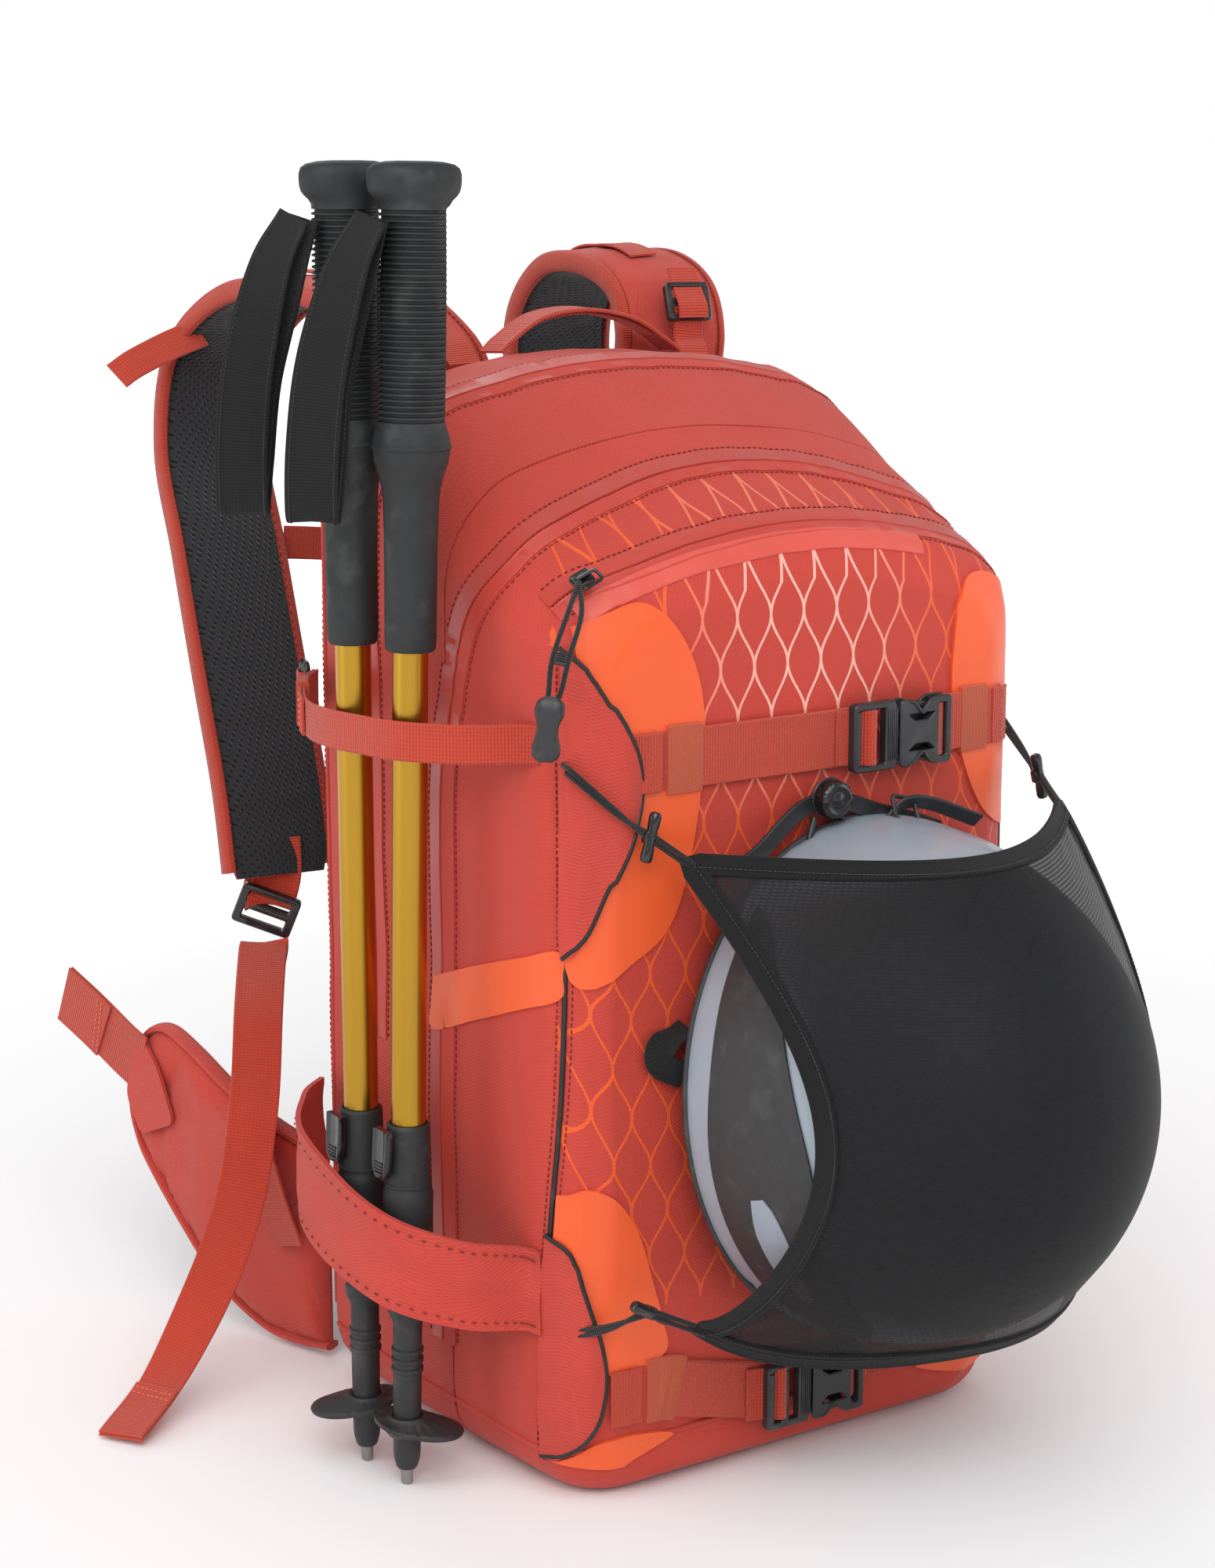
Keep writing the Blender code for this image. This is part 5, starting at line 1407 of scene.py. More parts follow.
def make_wrist_strap(suffix, matrix, sways):
    route = [(-0.0195, 0.0060, 0.6540), (-0.0270, 0.0085, 0.6300), (-0.0370, 0.0230, 0.5800),
             (-0.0410, 0.0270, 0.5350), (-0.0450, 0.0250, 0.5100), (-0.0490, 0.0180, 0.5150),
             (-0.0500, 0.0130, 0.5450), (-0.0460, 0.0090, 0.5850), (-0.0360, 0.0020, 0.6300),
             (-0.0250, -0.0040, 0.6550)]
    angles = [95, 106, 138, 146, 146, 146, 146, 138, 115, 100]
    sides = [(math.cos(math.radians(a)), math.sin(math.radians(a)), 0) for a in angles]
    path = smooth_path([(x, y + s, z) for (x, y, z), s in zip(route, sways)], 10)
    across = smooth_path(sides, 10)
    shape = Shape()
    shape.web(path, across, STRAP_WIDE)
    piece(f"wrist_webbing_{suffix}", shape.mesh("wrist", matrix, 55), MAT["black_web"],
          f"pole_{suffix}_upper", [f"wrist_strap_{suffix}"])
    rows = Shape()
    last = len(path) - 1
    for edge in (-0.42, 0.42):
        for i in range(2, last - 1):
            for t in (0.0, 0.5):
                centre = path[i].lerp(path[i + 1], t)
                tangent = heading(path, i)
                side = across[i].lerp(across[i + 1], t)
                side = square_to(side, tangent)
                normal = tangent.cross(side)
                for face in (-1, 1):
                    at = centre + side * STRAP_WIDE * edge + normal * face * 0.0008
                    add_stitch(rows, at, tangent, normal * face, 0.0020, 0.0003)
    piece(f"wrist_stitches_{suffix}", rows.mesh("rows", matrix), MAT["dark_rubber"],
          f"pole_{suffix}_upper")


def make_shafts(suffix, matrix):
    upper = Shape()
    profile = [(0.1500, SHAFT_BORE), (0.1500, SHAFT_RADIUS), (0.3000, SHAFT_RADIUS),
               (0.4500, SHAFT_RADIUS), (0.6550, SHAFT_RADIUS), (0.6550, SHAFT_BORE)]
    upper.lathe(profile, 48, loop=True)
    piece(f"gold_shaft_{suffix}", upper.mesh("shaft", matrix), MAT["gold"],
          f"pole_{suffix}_upper", [f"upper_shaft_{suffix}"])
    lower = Shape()
    rod = [(0.1000, 0.0040), (0.1000, ROD_RADIUS), (0.2500, ROD_RADIUS), (0.4290, ROD_RADIUS),
           (0.4300, 0.0056)]
    lower.lathe(rod, 40)
    ferrule = [(0.0082, 0.0036), (0.0088, 0.0050), (0.0100, 0.0058), (0.0140, 0.0068),
               (0.0180, 0.0072), (0.0420, 0.0074), (0.0560, 0.0075)]
    for k in range(3):
        z = 0.0640 + k * 0.0052
        ferrule += [(z - 0.0016, 0.0075), (z - 0.0010, 0.0084), (z + 0.0010, 0.0084),
                    (z + 0.0016, 0.0075)]
    ferrule += [(0.0880, 0.0076), (0.0905, 0.0080), (0.0930, 0.0094), (0.0950, 0.0101),
                (0.0990, 0.0102), (0.1005, 0.0096), (0.1020, 0.0085), (0.1020, 0.0063)]
    lower.lathe(ferrule, 40, slot=1)
    lower.lathe([(0.0000, 0.0018), (0.0006, 0.0030), (0.0020, 0.0031), (0.0060, 0.0033),
                 (0.0084, 0.0036)], 24, slot=2)
    piece(f"lower_rod_{suffix}", lower.mesh("rod", matrix),
          [MAT["rod"], MAT["dark_rubber"], MAT["tip"]],
          f"pole_{suffix}_lower", [f"lower_shaft_{suffix}"])


def make_basket(suffix, matrix, tail):
    """Small teardrop dish with fine ridges on top and a hub."""
    shape = Shape()
    sides = 60
    profile = ((0.0080, 0.0380, 0.0), (0.0098, 0.0382, 0.0), (0.0106, 0.0372, 0.0),
               (0.30, 0.0362, 0.2), (0.55, 0.0354, 0.5), (0.80, 0.0348, 0.8),
               (0.97, 0.0344, 1.0), (1.00, 0.0334, 1.0), (0.97, 0.0320, 1.0),
               (0.55, 0.0318, 0.5), (0.0106, 0.0285, 0.0), (0.0100, 0.0276, 0.0),
               (0.0080, 0.0275, 0.0))
    rings = []
    for reach, z, slope in profile:
        ring = []
        for i in range(sides):
            a = 2 * math.pi * i / sides
            away = math.cos(a - tail)
            rim = 0.0175 + 0.0125 * max(0.0, away) ** 3
            radius = reach if reach < 0.02 else 0.0106 + (rim - 0.0106) * reach
            ridge = 0.0004 * math.cos(a * 20) if 0.2 < reach < 0.9 else 0.0
            ring.append(Vector((radius * math.cos(a), radius * math.sin(a),
                                z + ridge - 0.0040 * away * slope)))
        rings.append(ring)
    shape.loft(rings, loop=True)
    piece(f"snow_basket_{suffix}", shape.mesh("basket", matrix, 50), MAT["dark_rubber"],
          f"pole_{suffix}_lower", [f"basket_{suffix}"])


def make_lock(suffix, matrix):
    """Clamp collar with a bulbous foot, hinge ears and a curved lever."""
    collar = Shape()
    foot = [(0.1500, 0.0067), (0.1093, 0.0067), (0.1093, 0.0092), (0.1100, 0.0097),
            (0.1140, 0.0109), (0.1180, 0.0119), (0.1250, 0.0127), (0.1350, 0.0130),
            (0.1480, 0.0129), (0.1560, 0.0130), (0.1610, 0.0130), (0.1625, 0.0124),
            (0.1640, 0.0119), (0.1700, 0.0115), (0.1960, 0.0112), (0.1972, 0.0110),
            (0.1980, 0.0104), (0.1980, 0.0095), (0.1500, 0.0095)]
    collar.lathe(foot, 48, loop=True)
    for k in range(2):
        for j in range(3):
            angle = math.radians(-118 + j * 17)
            z = 0.1300 + k * 0.0045
            centre = Vector((0.0129 * math.cos(angle), 0.0129 * math.sin(angle), z))
            collar.tube([centre * 0.97, centre + centre.normalized() * 0.0004], 0.0010, 8)
    collar.lathe([(0.1648, 0.0119), (0.1652, 0.0123), (0.1664, 0.0123), (0.1668, 0.0118)], 48,
                 caps=False)
    piece(f"clamp_collar_{suffix}", collar.mesh("collar", matrix), MAT["rubber"],
          f"pole_{suffix}_upper", [f"lock_collar_{suffix}"])

    lever = Shape()
    path = smooth_path([(-0.0152, 0, 0.1709), (-0.0158, 0, 0.1760), (-0.0155, 0, 0.1830),
                        (-0.0151, 0, 0.1900), (-0.0150, 0, 0.1963)], 5)
    widths = smooth_values([0.0090, 0.0126, 0.0140, 0.0140, 0.0136], 5)
    lever.sweep(path, BACK, [web_section(width, 0.0044, 3) for width in widths])
    lever.tube([Vector((-0.0150, y, 0.1945)) for y in (-0.0072, 0.0072)], 0.0016, 12)
    for k in range(4):
        z = 0.1735 + k * 0.0018
        lever.box((0.0008, 0.0086, 0.0007), (-0.0178, 0, z), 0.0002, 1)
    piece(f"clamp_lever_{suffix}", lever.mesh("lever", matrix), MAT["gloss"],
          f"lever_{suffix}", [f"lock_lever_{suffix}"])


def make_poles():
    for suffix, ends, tail, sways in (("near", NEAR_POLE, math.radians(-35), NEAR_SWAYS),
                                      ("far", FAR_POLE, math.radians(145), FAR_SWAYS)):
        matrix = pole_matrix(ends)
        make_grip(suffix, matrix)
        make_wrist_strap(suffix, matrix, sways)
        make_shafts(suffix, matrix)
        make_basket(suffix, matrix, tail)
        make_lock(suffix, matrix)


# ---------------------------------------------------------------- harness

PAD_WIDTH = 0.066
PAD_THICKNESS = 0.012
LEFT_STRAP = ((-0.060, 0.1225, 0.512), (-0.0625, 0.132, 0.545), (-0.066, 0.150, 0.577),
              (-0.077, 0.200, 0.603), (-0.092, 0.268, 0.602), (-0.107, 0.312, 0.567),
              (-0.117, 0.312, 0.510), (-0.122, 0.282, 0.450), (-0.127, 0.250, 0.385),
              (-0.130, 0.222, 0.322), (-0.132, 0.206, 0.268))
RIGHT_STRAP = ((0.075, 0.1225, 0.512), (0.082, 0.1225, 0.548), (0.087, 0.123, 0.580),
               (0.089, 0.138, 0.606), (0.085, 0.168, 0.619), (0.081, 0.203, 0.615),
               (0.080, 0.230, 0.588), (0.086, 0.243, 0.548), (0.098, 0.252, 0.500),
               (0.108, 0.256, 0.450), (0.118, 0.248, 0.385), (0.128, 0.226, 0.322),
               (0.132, 0.206, 0.268))
STRAP_ROUTE = ((-0.1690, 0.1350, 0.068), (-0.1770, 0.1465, 0.110), (-0.1740, 0.1630, 0.165),
               (-0.1570, 0.1890, 0.205), (-0.1450, 0.2030, 0.227), (-0.1510, 0.1945, 0.226),
               (-0.1720, 0.1600, 0.203), (-0.1860, 0.1380, 0.170), (-0.1970, 0.1240, 0.145),
               (-0.2050, 0.1200, 0.115), (-0.2205, 0.1170, 0.078), (-0.2430, 0.1130, 0.042),
               (-0.2700, 0.1010, 0.016), (-0.3020, 0.0810, 0.0032))
STRAP_TURNS = (100, 96, 52, 14, -14, -18, -18, -18, -18, -22, -30, -45, -63, -69)
WING_ROOT = Vector((-0.1480, 0.1240, 0.0))
WING_ALONG = Vector((-0.28, 0.96, 0.0)).normalized()
WING_THICKNESS = 0.012
WING_OUTLINE = ((0.000, 0.006), (0.026, 0.0045), (0.050, 0.008), (0.085, 0.025), (0.118, 0.054),
                (0.148, 0.084), (0.159, 0.100), (0.164, 0.120), (0.160, 0.146), (0.152, 0.162),
                (0.140, 0.171), (0.126, 0.172), (0.102, 0.162), (0.078, 0.149), (0.046, 0.135),
                (0.020, 0.127), (0.000, 0.122))
WING_OUTWARD = Vector((-WING_ALONG.y, WING_ALONG.x, 0.0))
WING_TILT = Vector((0, -0.28, 0.96))           # the hip webbing stands this way
WEARER = Vector((0.0, 0.215, 0.40))


def strap_frames(route, per_span=14):
    """Point, direction, side and normal at each step of a shoulder strap."""
    path = smooth_path(route, per_span)
    frames = []
    for i, point in enumerate(path):
        tangent = heading(path, i)
        across = square_to(ACROSS, tangent)
        frames.append((point, tangent, across, tangent.cross(across)))
    return frames


def make_shoulder_strap(name, route):
    """Padded strap: smooth cloth outside, spacer mesh inside, bound along both edges."""
    frames = strap_frames(route)
    middle = frames[len(frames) // 2][0]
    inner_sign = 1 if (WEARER - middle).dot(frames[len(frames) // 2][3]) > 0 else -1
    sides = 40
    rings, cloth = [], []
    travelled = 0.0
    for i, (point, tangent, across, normal) in enumerate(frames):
        if i:
            travelled += (point - frames[i - 1][0]).length
        t = i / (len(frames) - 1)
        end = min(1.0, min(t, 1 - t) / 0.03)
        wide = PAD_WIDTH * (0.86 + 0.14 * end)
        thick = PAD_THICKNESS * (0.55 + 0.45 * end)
        ring = []
        for k in range(sides):
            a = 2 * math.pi * (k + 0.5) / sides
            c, s = math.cos(a), math.sin(a)
            u = wide / 2 * math.copysign(abs(c) ** 0.45, c)
            v = thick / 2 * math.copysign(abs(s) ** 0.6, s)
            rim = abs(u) / (wide / 2)
            seam = 0.0016 * math.exp(-((rim - 0.80) / 0.05) ** 2)
            crown = 0.0012 * (1 - rim ** 2)
            wrinkle = 0.0011 * noise.noise(Vector((travelled * 55, u * 22, 2.0)))
            wrinkle += 0.0006 * noise.noise(Vector((travelled * 140, u * 30, 5.0)))
            v += math.copysign(crown - seam + wrinkle * (1 - rim ** 4), s)
            ring.append(point + across * u + normal * v)
            cloth.append((u, travelled, v))
        rings.append(ring)
    shape = Shape()
    shape.loft(rings, cloth=cloth)
    mesh = shape.mesh(name, sharp=55)
    slots = []
    for polygon in mesh.polygons:
        k = min(range(0, len(frames), 2),
                key=lambda j: (frames[j][0] - polygon.center).length_squared)
        point, _, _, normal = frames[k]
        inner = (polygon.center - point).dot(normal) * inner_sign > 0.0004
        slots.append(1 if inner else 0)
    mesh.polygons.foreach_set("material_index", slots)
    item = piece(name + "_pad", mesh, [MAT["smooth_red"], MAT["spacer"]], "pack",
                 [name])
    bind, rows = Shape(), Shape()
    outline = [(-0.0062, -0.0010), (-0.0045, -0.0030), (0.0, -0.0036), (0.0045, -0.0030),
               (0.0062, -0.0010), (0.0062, 0.0010), (0.0045, 0.0024), (-0.0045, 0.0024),
               (-0.0062, 0.0010)]
    for edge in (-1, 1):
        line = [p + a * edge * (PAD_WIDTH / 2 - 0.0004) for p, t, a, n in frames[1:-1]]
        bind.sweep(line, [n for p, t, a, n in frames[1:-1]],
                   [(u, v * edge) for u, v in outline])
        for p, t, a, n in frames[2:-2]:
            for face in (-1, 1):
                at = p + a * edge * (PAD_WIDTH / 2 - 0.0022) + n * face * 0.0056
                add_stitch(rows, at, t, n * face, 0.0026)
    piece(name + "_binding", bind.mesh("binding", sharp=50), MAT["red_binding"], "pack")
    piece(name + "_stitches", rows.mesh("rows"), MAT["thread"], "pack")
    return frames, -inner_sign


def daisy_webbing(name, frames, out_sign, start, end):
    """Webbing sewn down the middle of a strap in short loops."""
    shape = Shape()
    line, sides = [], []
    for i in range(start, end):
        p, _, a, n = frames[i]
        wave = 0.0008 * abs(math.sin((i - start) * 0.26))
        line.append(p + n * out_sign * (PAD_THICKNESS / 2 + 0.0026 + wave))
        sides.append(a)
    shape.web(line, sides, SIDE_WEB)
    piece(name, shape.mesh(name, sharp=50), MAT["web"], "pack")
    rows = Shape()
    for i in range(start + 6, end - 2, 12):
        p, _, a, n = frames[i]
        out = n * out_sign
        at = p + out * (PAD_THICKNESS / 2 + 0.0041)
        stitch_row(rows, at, a, out, -0.0076, 0.0030, 6, 0.0021)
    piece(name + "_stitches", rows.mesh(name), MAT["light_thread"], "pack")


def ladder_lock(name, node, matrix, length, width, bars):
    """Moulded ladder frame: two rails, bars and a thumb lip."""
    shape = Shape()
    outline = rounded_box(0, length / 2, width / 2, 0.0032)
    holes = [rounded_box(x, half, width * 0.36, 0.0010) for x, half in bars]
    plate(shape, outline, holes, -0.0022, 0.0022, 0.0008)
    lip = smooth_path([(length / 2 - 0.0012, y, 0.0018) for y in
                       (-width * 0.42, -width * 0.2, 0, width * 0.2, width * 0.42)], 3)
    shape.tube(lip, 0.0016, 10)
    shape.tube([Vector((0, y, 0.0012)) for y in (-width * 0.38, width * 0.38)], 0.0015, 10)
    piece(name, shape.mesh(name, matrix), MAT["gloss"], "pack", [node])


def make_strap_webbing():
    sides = [(math.cos(math.radians(a)), math.sin(math.radians(a)), 0.0) for a in STRAP_TURNS]
    for name, sign in (("left", 1), ("right", -1)):
        path = smooth_path([(sign * x, y, z) for x, y, z in STRAP_ROUTE], 10)
        across = smooth_path([(sign * x, y, z) for x, y, z in sides], 10)
        shape = Shape()
        shape.web(path, across, SHOULDER_WEB)
        last = len(path) - 1
        fold = int(last * 0.925)
        tail = [path[i] + Vector((0, 0, 0.0019)) for i in range(fold, last + 1)]
        shape.web(tail, across[fold:], SHOULDER_WEB)
        piece(f"tail_webbing_{name}", shape.mesh("tail", sharp=55), MAT["web"], "pack",
              [f"strap_webbing_{name}"])
        rows = Shape()
        for i in (fold + 1, fold + 2):
            at = path[i] + Vector((0, 0, 0.0029))
            stitch_row(rows, at, across[i].normalized(), UP, -0.0112, 0.0032, 8)
        piece(f"tail_stitches_{name}", rows.mesh("rows"), MAT["light_thread"], "pack")
        matrix = frame_matrix((sign * -0.1390, 0.2115, 0.2465), (sign * 0.20, -0.35, 0.90),
                              (sign * -0.5, -0.85, 0))
        ladder_lock(f"ladder_{name}", f"ladder_lock_{name}", matrix, 0.026, 0.036,
                    ((-0.0055, 0.0030), (0.0060, 0.0030)))
        tab = Shape()
        top = Vector((sign * -0.1325, 0.2090, 0.2680))
        lock = Vector((sign * -0.1372, 0.2100, 0.2520))
        wrap = smooth_path([top + Vector((0, 0, 0.022)), top, lock,
                            lock + Vector((0, 0.004, -0.001)),
                            lock + Vector((0, 0.0052, 0.004)),
                            top + Vector((0, 0.0060, 0.002))], 6)
        tab.web(wrap, Vector((sign * -0.86, 0.5, 0)), SHOULDER_WEB)
        piece(f"lock_tab_{name}", tab.mesh("tab", sharp=50), MAT["web"], "pack")


def make_lifters(left, right):
    """Webbing from the pack's top through a frame on each shoulder strap."""
    lifters = (("left", [(-0.062, 0.1060, 0.5690), (-0.063, 0.1200, 0.5800),
                         (-0.066, 0.1340, 0.5880)],
                ((-0.0700, 0.1560, 0.6000), (-0.13, 0.86, 0.55), (0, -0.5, 0.86))),
               ("right", [(0.086, 0.0960, 0.5660), (0.0865, 0.1000, 0.5730),
                          (0.087, 0.1050, 0.5790)],
                ((0.0885, 0.1080, 0.5980), (0.02, 0.28, 0.95), (0, -0.95, 0.28))))
    for side, route, seat in lifters:
        matrix = frame_matrix(*seat)
        shape = Shape()
        bar = matrix @ Vector((-0.0045, 0, 0.0010))
        path = smooth_path([Vector(p) for p in route] + [bar], 8)
        shape.web(path, ACROSS, SIDE_WEB)
        over = smooth_path([matrix @ Vector(p) for p in
                            ((-0.0100, 0, 0.0042), (-0.0030, 0, 0.0052), (0.0040, 0, 0.0030),
                             (0.0100, 0, 0.0012), (0.0200, 0, -0.0010))], 6)
        shape.web(over, matrix.to_3x3() @ BACK, SIDE_WEB)
        piece(f"lifter_web_{side}", shape.mesh("lifter", sharp=50), MAT["web"], "pack",
              [f"load_lifter_{side}"])
        ladder_lock(f"lifter_frame_{side}", f"lifter_buckle_{side}", matrix, 0.022, 0.030,
                    ((-0.0045, 0.0025), (0.0050, 0.0025)))
    for name, (frames, out_sign), start in (("daisy_left", left, 46), ("daisy_right", right, 50)):
        daisy_webbing(name, frames, out_sign, start, len(frames) - 22)
    tab = Shape()
    line = smooth_path([(-0.128, 0.300, 0.578), (-0.150, 0.298, 0.571), (-0.172, 0.297, 0.562),
                        (-0.184, 0.297, 0.555)], 8)
    tab.web(line, Vector((0.1, 0.5, 0.85)), 0.018)
    piece("lifter_tab", tab.mesh("tab", sharp=50), MAT["web"], "pack")


def make_sternum():
    """Chest strap with a small double-ended clip."""
    start, end = Vector((-0.0850, 0.2830, 0.452)), Vector((0.0700, 0.2590, 0.452))
    middle = (start + end) / 2 + Vector((0, 0.004, -0.006))
    path = smooth_path([start, middle, end], 24)
    shape = Shape()
    shape.web(path, UP, SIDE_WEB)
    piece("sternum_web", shape.mesh("sternum", sharp=50), MAT["web"], "pack",
          ["sternum_strap"])
    along = end - start
    turn = Matrix.Rotation(math.atan2(along.y, along.x), 4, "Z")
    stand = Matrix(((1, 0, 0), (0, 0, 1), (0, -1, 0))).transposed().to_4x4()
    place = Matrix.Translation(middle + Vector((0, 0.0065, 0))) @ turn @ stand
    shape = Shape()
    outline = rounded_outline([(-0.0210, -0.0125), (-0.0060, -0.0125), (0.0, -0.0095),
                               (0.0060, -0.0125), (0.0210, -0.0125), (0.0210, 0.0125),
                               (0.0060, 0.0125), (0.0, 0.0095), (-0.0060, 0.0125),
                               (-0.0210, 0.0125)], 0.0026)
    holes = [rounded_box(x, 0.0022, 0.0090, 0.0009) for x in (-0.0160, 0.0160)]
    plate(shape, outline, holes, -0.0034, 0.0034, 0.0009)
    for side in (-1, 1):
        shape.tube(smooth_path([(-0.0070, side * 0.0088, 0.0032), (0, side * 0.0058, 0.0038),
                                (0.0070, side * 0.0088, 0.0032)], 6), 0.0008, 8)
    piece("sternum_clip", shape.mesh("clip", place), MAT["gloss"], "pack",
          ["sternum_buckle"])


def wing_point(along, z, out=0.0):
    """Point of the left wing: along it, at a height, and off its outer face."""
    curl = 0.004 * math.sin(math.pi * min(1.0, along / 0.16))
    return WING_ROOT + WING_ALONG * along + WING_OUTWARD * (out + curl) + Vector((0, 0, z))


def wing_border(step):
    return even_path(smooth_path([(a, b, 0) for a, b in WING_OUTLINE], 6), step)


def wing_shape(sign):
    """Wing as a pillow: a 2-D grid in its outline, crowned on both faces."""
    rim = [Vector((p.x, p.y)) for p in wing_border(0.0045)]
    points, faces = filled_outline(rim, (0.006, 0.006), (0.166, 0.174), 0.005, 0.003)
    upper, lower = [], []
    for p in points:
        near = min((p - r).length for r in rim)
        crown = 1 - (1 - min(1.0, near / 0.016)) ** 2
        half = WING_THICKNESS / 2 * (0.22 + 0.78 * math.sqrt(crown)) - 0.0004
        seam = 0.0022 * math.exp(-((math.hypot(p.x - 0.02, p.y - 0.09) - 0.118) / 0.004) ** 2)
        fold = 0.0010 * noise.noise(Vector((p.x * 32, p.y * 32, 3.0))) * crown
        for group, face in ((upper, 1), (lower, -1)):
            out = face * (half + fold - (seam if face > 0 else 0.0))
            group.append(flipped(wing_point(p.x, p.y, out), sign))
    skin, under, sides = closed_faces(faces, len(points))
    shape = Shape()
    shape.add(upper + lower, skin + under + sides)
    shape.slots = [0] * len(skin) + [1] * len(under) + [0] * len(sides)
    return shape


def make_hip_belt():
    for side, sign in (("left", 1), ("right", -1)):
        body = "wing_" + side
        mesh = wing_shape(sign).mesh("wing_" + side, sharp=60)
        pad = piece("hip_pad_" + side, mesh, [MAT["smooth_red"], MAT["spacer"]], body,
                    ["hip_wing_" + side])

        def free_of_trim(point):
            """1 over the open cloth, 0 at the binding and under the tip's tab."""
            mine = flipped(point, sign)
            along = (mine - WING_ROOT).dot(WING_ALONG)
            out = (mine - wing_point(along, point.z)).length
            thick = min(1.0, max(0.0, (out - 0.0025) / 0.0025))
            return thick * min(1.0, max(0.0, (0.116 - along) / 0.016))

        swell(pad, 0.003, 0.004, free_of_trim)
        line = [flipped(wing_point(p.x, p.y), sign) for p in wing_border(0.004)]
        outward = flipped(WING_OUTWARD, sign)
        bind = Shape()
        bind.sweep(line, outward, [(-0.0052, -0.0012), (-0.0030, -0.0022), (0.0, -0.0026),
                                   (0.0030, -0.0022), (0.0052, -0.0012), (0.0052, 0.0012),
                                   (0.0030, 0.0022), (0.0, 0.0026), (-0.0030, 0.0022),
                                   (-0.0052, 0.0012)])
        piece("hip_binding_" + side, bind.mesh("binding", sharp=50), MAT["smooth_red"], body)
        web = Shape()
        clear = WING_THICKNESS / 2 + WEB_THICKNESS / 2 + 0.0016
        stations = ((0.1475, 0.148), (0.165, 0.155), (0.190, 0.168), (0.216, 0.180))
        path = smooth_path([flipped(wing_point(s, z, clear), sign) for s, z in stations], 8)
        web.web(path, WING_TILT, HIP_WEB)
        lift = outward * (WEB_THICKNESS + 0.0003)
        web.web([p + lift for p in path[13:]], WING_TILT, HIP_WEB)
        piece("hip_web_" + side, web.mesh("hip", sharp=50), MAT["web"], body,
              ["hip_webbing_" + side])
        rows = Shape()
        for k in (14, 15):
            stitch_row(rows, path[k] + outward * 0.0030, WING_TILT, outward, -0.0160, 0.0032, 11)
        piece("hip_stitches_" + side, rows.mesh("rows"), MAT["light_thread"], body)
        tab = Shape()
        corners = [(0.118, 0.118), (0.150, 0.104), (0.1625, 0.126), (0.158, 0.150),
                   (0.146, 0.166), (0.132, 0.150)]
        tab.loft([[flipped(wing_point(p.x, p.y, out), sign)
                   for p in rounded_outline(corners, 0.006, 4)]
                  for out in (clear + 0.0012, clear - 0.0012)])
        piece("hip_tip_tab_" + side, tab.mesh("tab"), MAT["smooth_red"], body)
    make_hip_clip()


def make_hip_clip():
    """Flat double-slot clip at the end of the right wing's webbing."""
    place = wing_point(0.2345, 0.189, WING_THICKNESS / 2)
    ahead = wing_point(0.216, 0.181) - wing_point(0.190, 0.168)
    matrix = frame_matrix(flipped(place, -1), flipped(ahead, -1), flipped(WING_OUTWARD, -1))
    shape = Shape()
    outline = rounded_outline([(-0.0150, -0.0250), (0.0110, -0.0250), (0.0150, -0.0180),
                               (0.0150, 0.0180), (0.0110, 0.0250), (-0.0150, 0.0250)], 0.004)
    holes = [rounded_box(x, 0.0035, 0.0190, 0.0014) for x in (-0.006, 0.007)]
    plate(shape, outline, holes, -0.0025, 0.0025, 0.0009)
    shape.tube([Vector((0.0005, y, 0.0016)) for y in (-0.0185, 0.0185)], 0.0018, 10)
    piece("hip_clip", shape.mesh("clip", matrix), MAT["satin"], "wing_right",
          ["hip_buckle"])


def make_haul_loop():
    path = smooth_path([(-0.049, 0.1000, 0.5755), (-0.040, 0.1010, 0.5825),
                        (-0.018, 0.1030, 0.5940), (0.012, 0.1040, 0.5970),
                        (0.042, 0.1030, 0.5910), (0.062, 0.1010, 0.5790),
                        (0.071, 0.1000, 0.5725)], 10)
    shape = Shape()
    shape.web(path, BACK, 0.022, 0.0022)
    inner = [p - Vector((0, 0, 0.0022)) for p in path[14:-14]]
    shape.web(inner, BACK, 0.014)
    piece("haul_webbing", shape.mesh("haul", sharp=50), MAT["web"], "pack",
          ["haul_loop"])


# ---------------------------------------------------------------- back panel

PANEL_FOOT = 0.022
PANEL_TOP = 0.498
PANEL_HALF_WIDTH = 0.118
PANEL_FRONT_Y = 0.1160


def panel_edge(z):
    """How full the panel is near its foot and top, 1 in between, and its half width."""
    end = math.sqrt(max(0.0, min(1.0, min(z - PANEL_FOOT, PANEL_TOP - z) / 0.030)))
    return end, PANEL_HALF_WIDTH - 0.012 * (1 - end) - 0.016 * max(0, (z - 0.3) / 0.2)


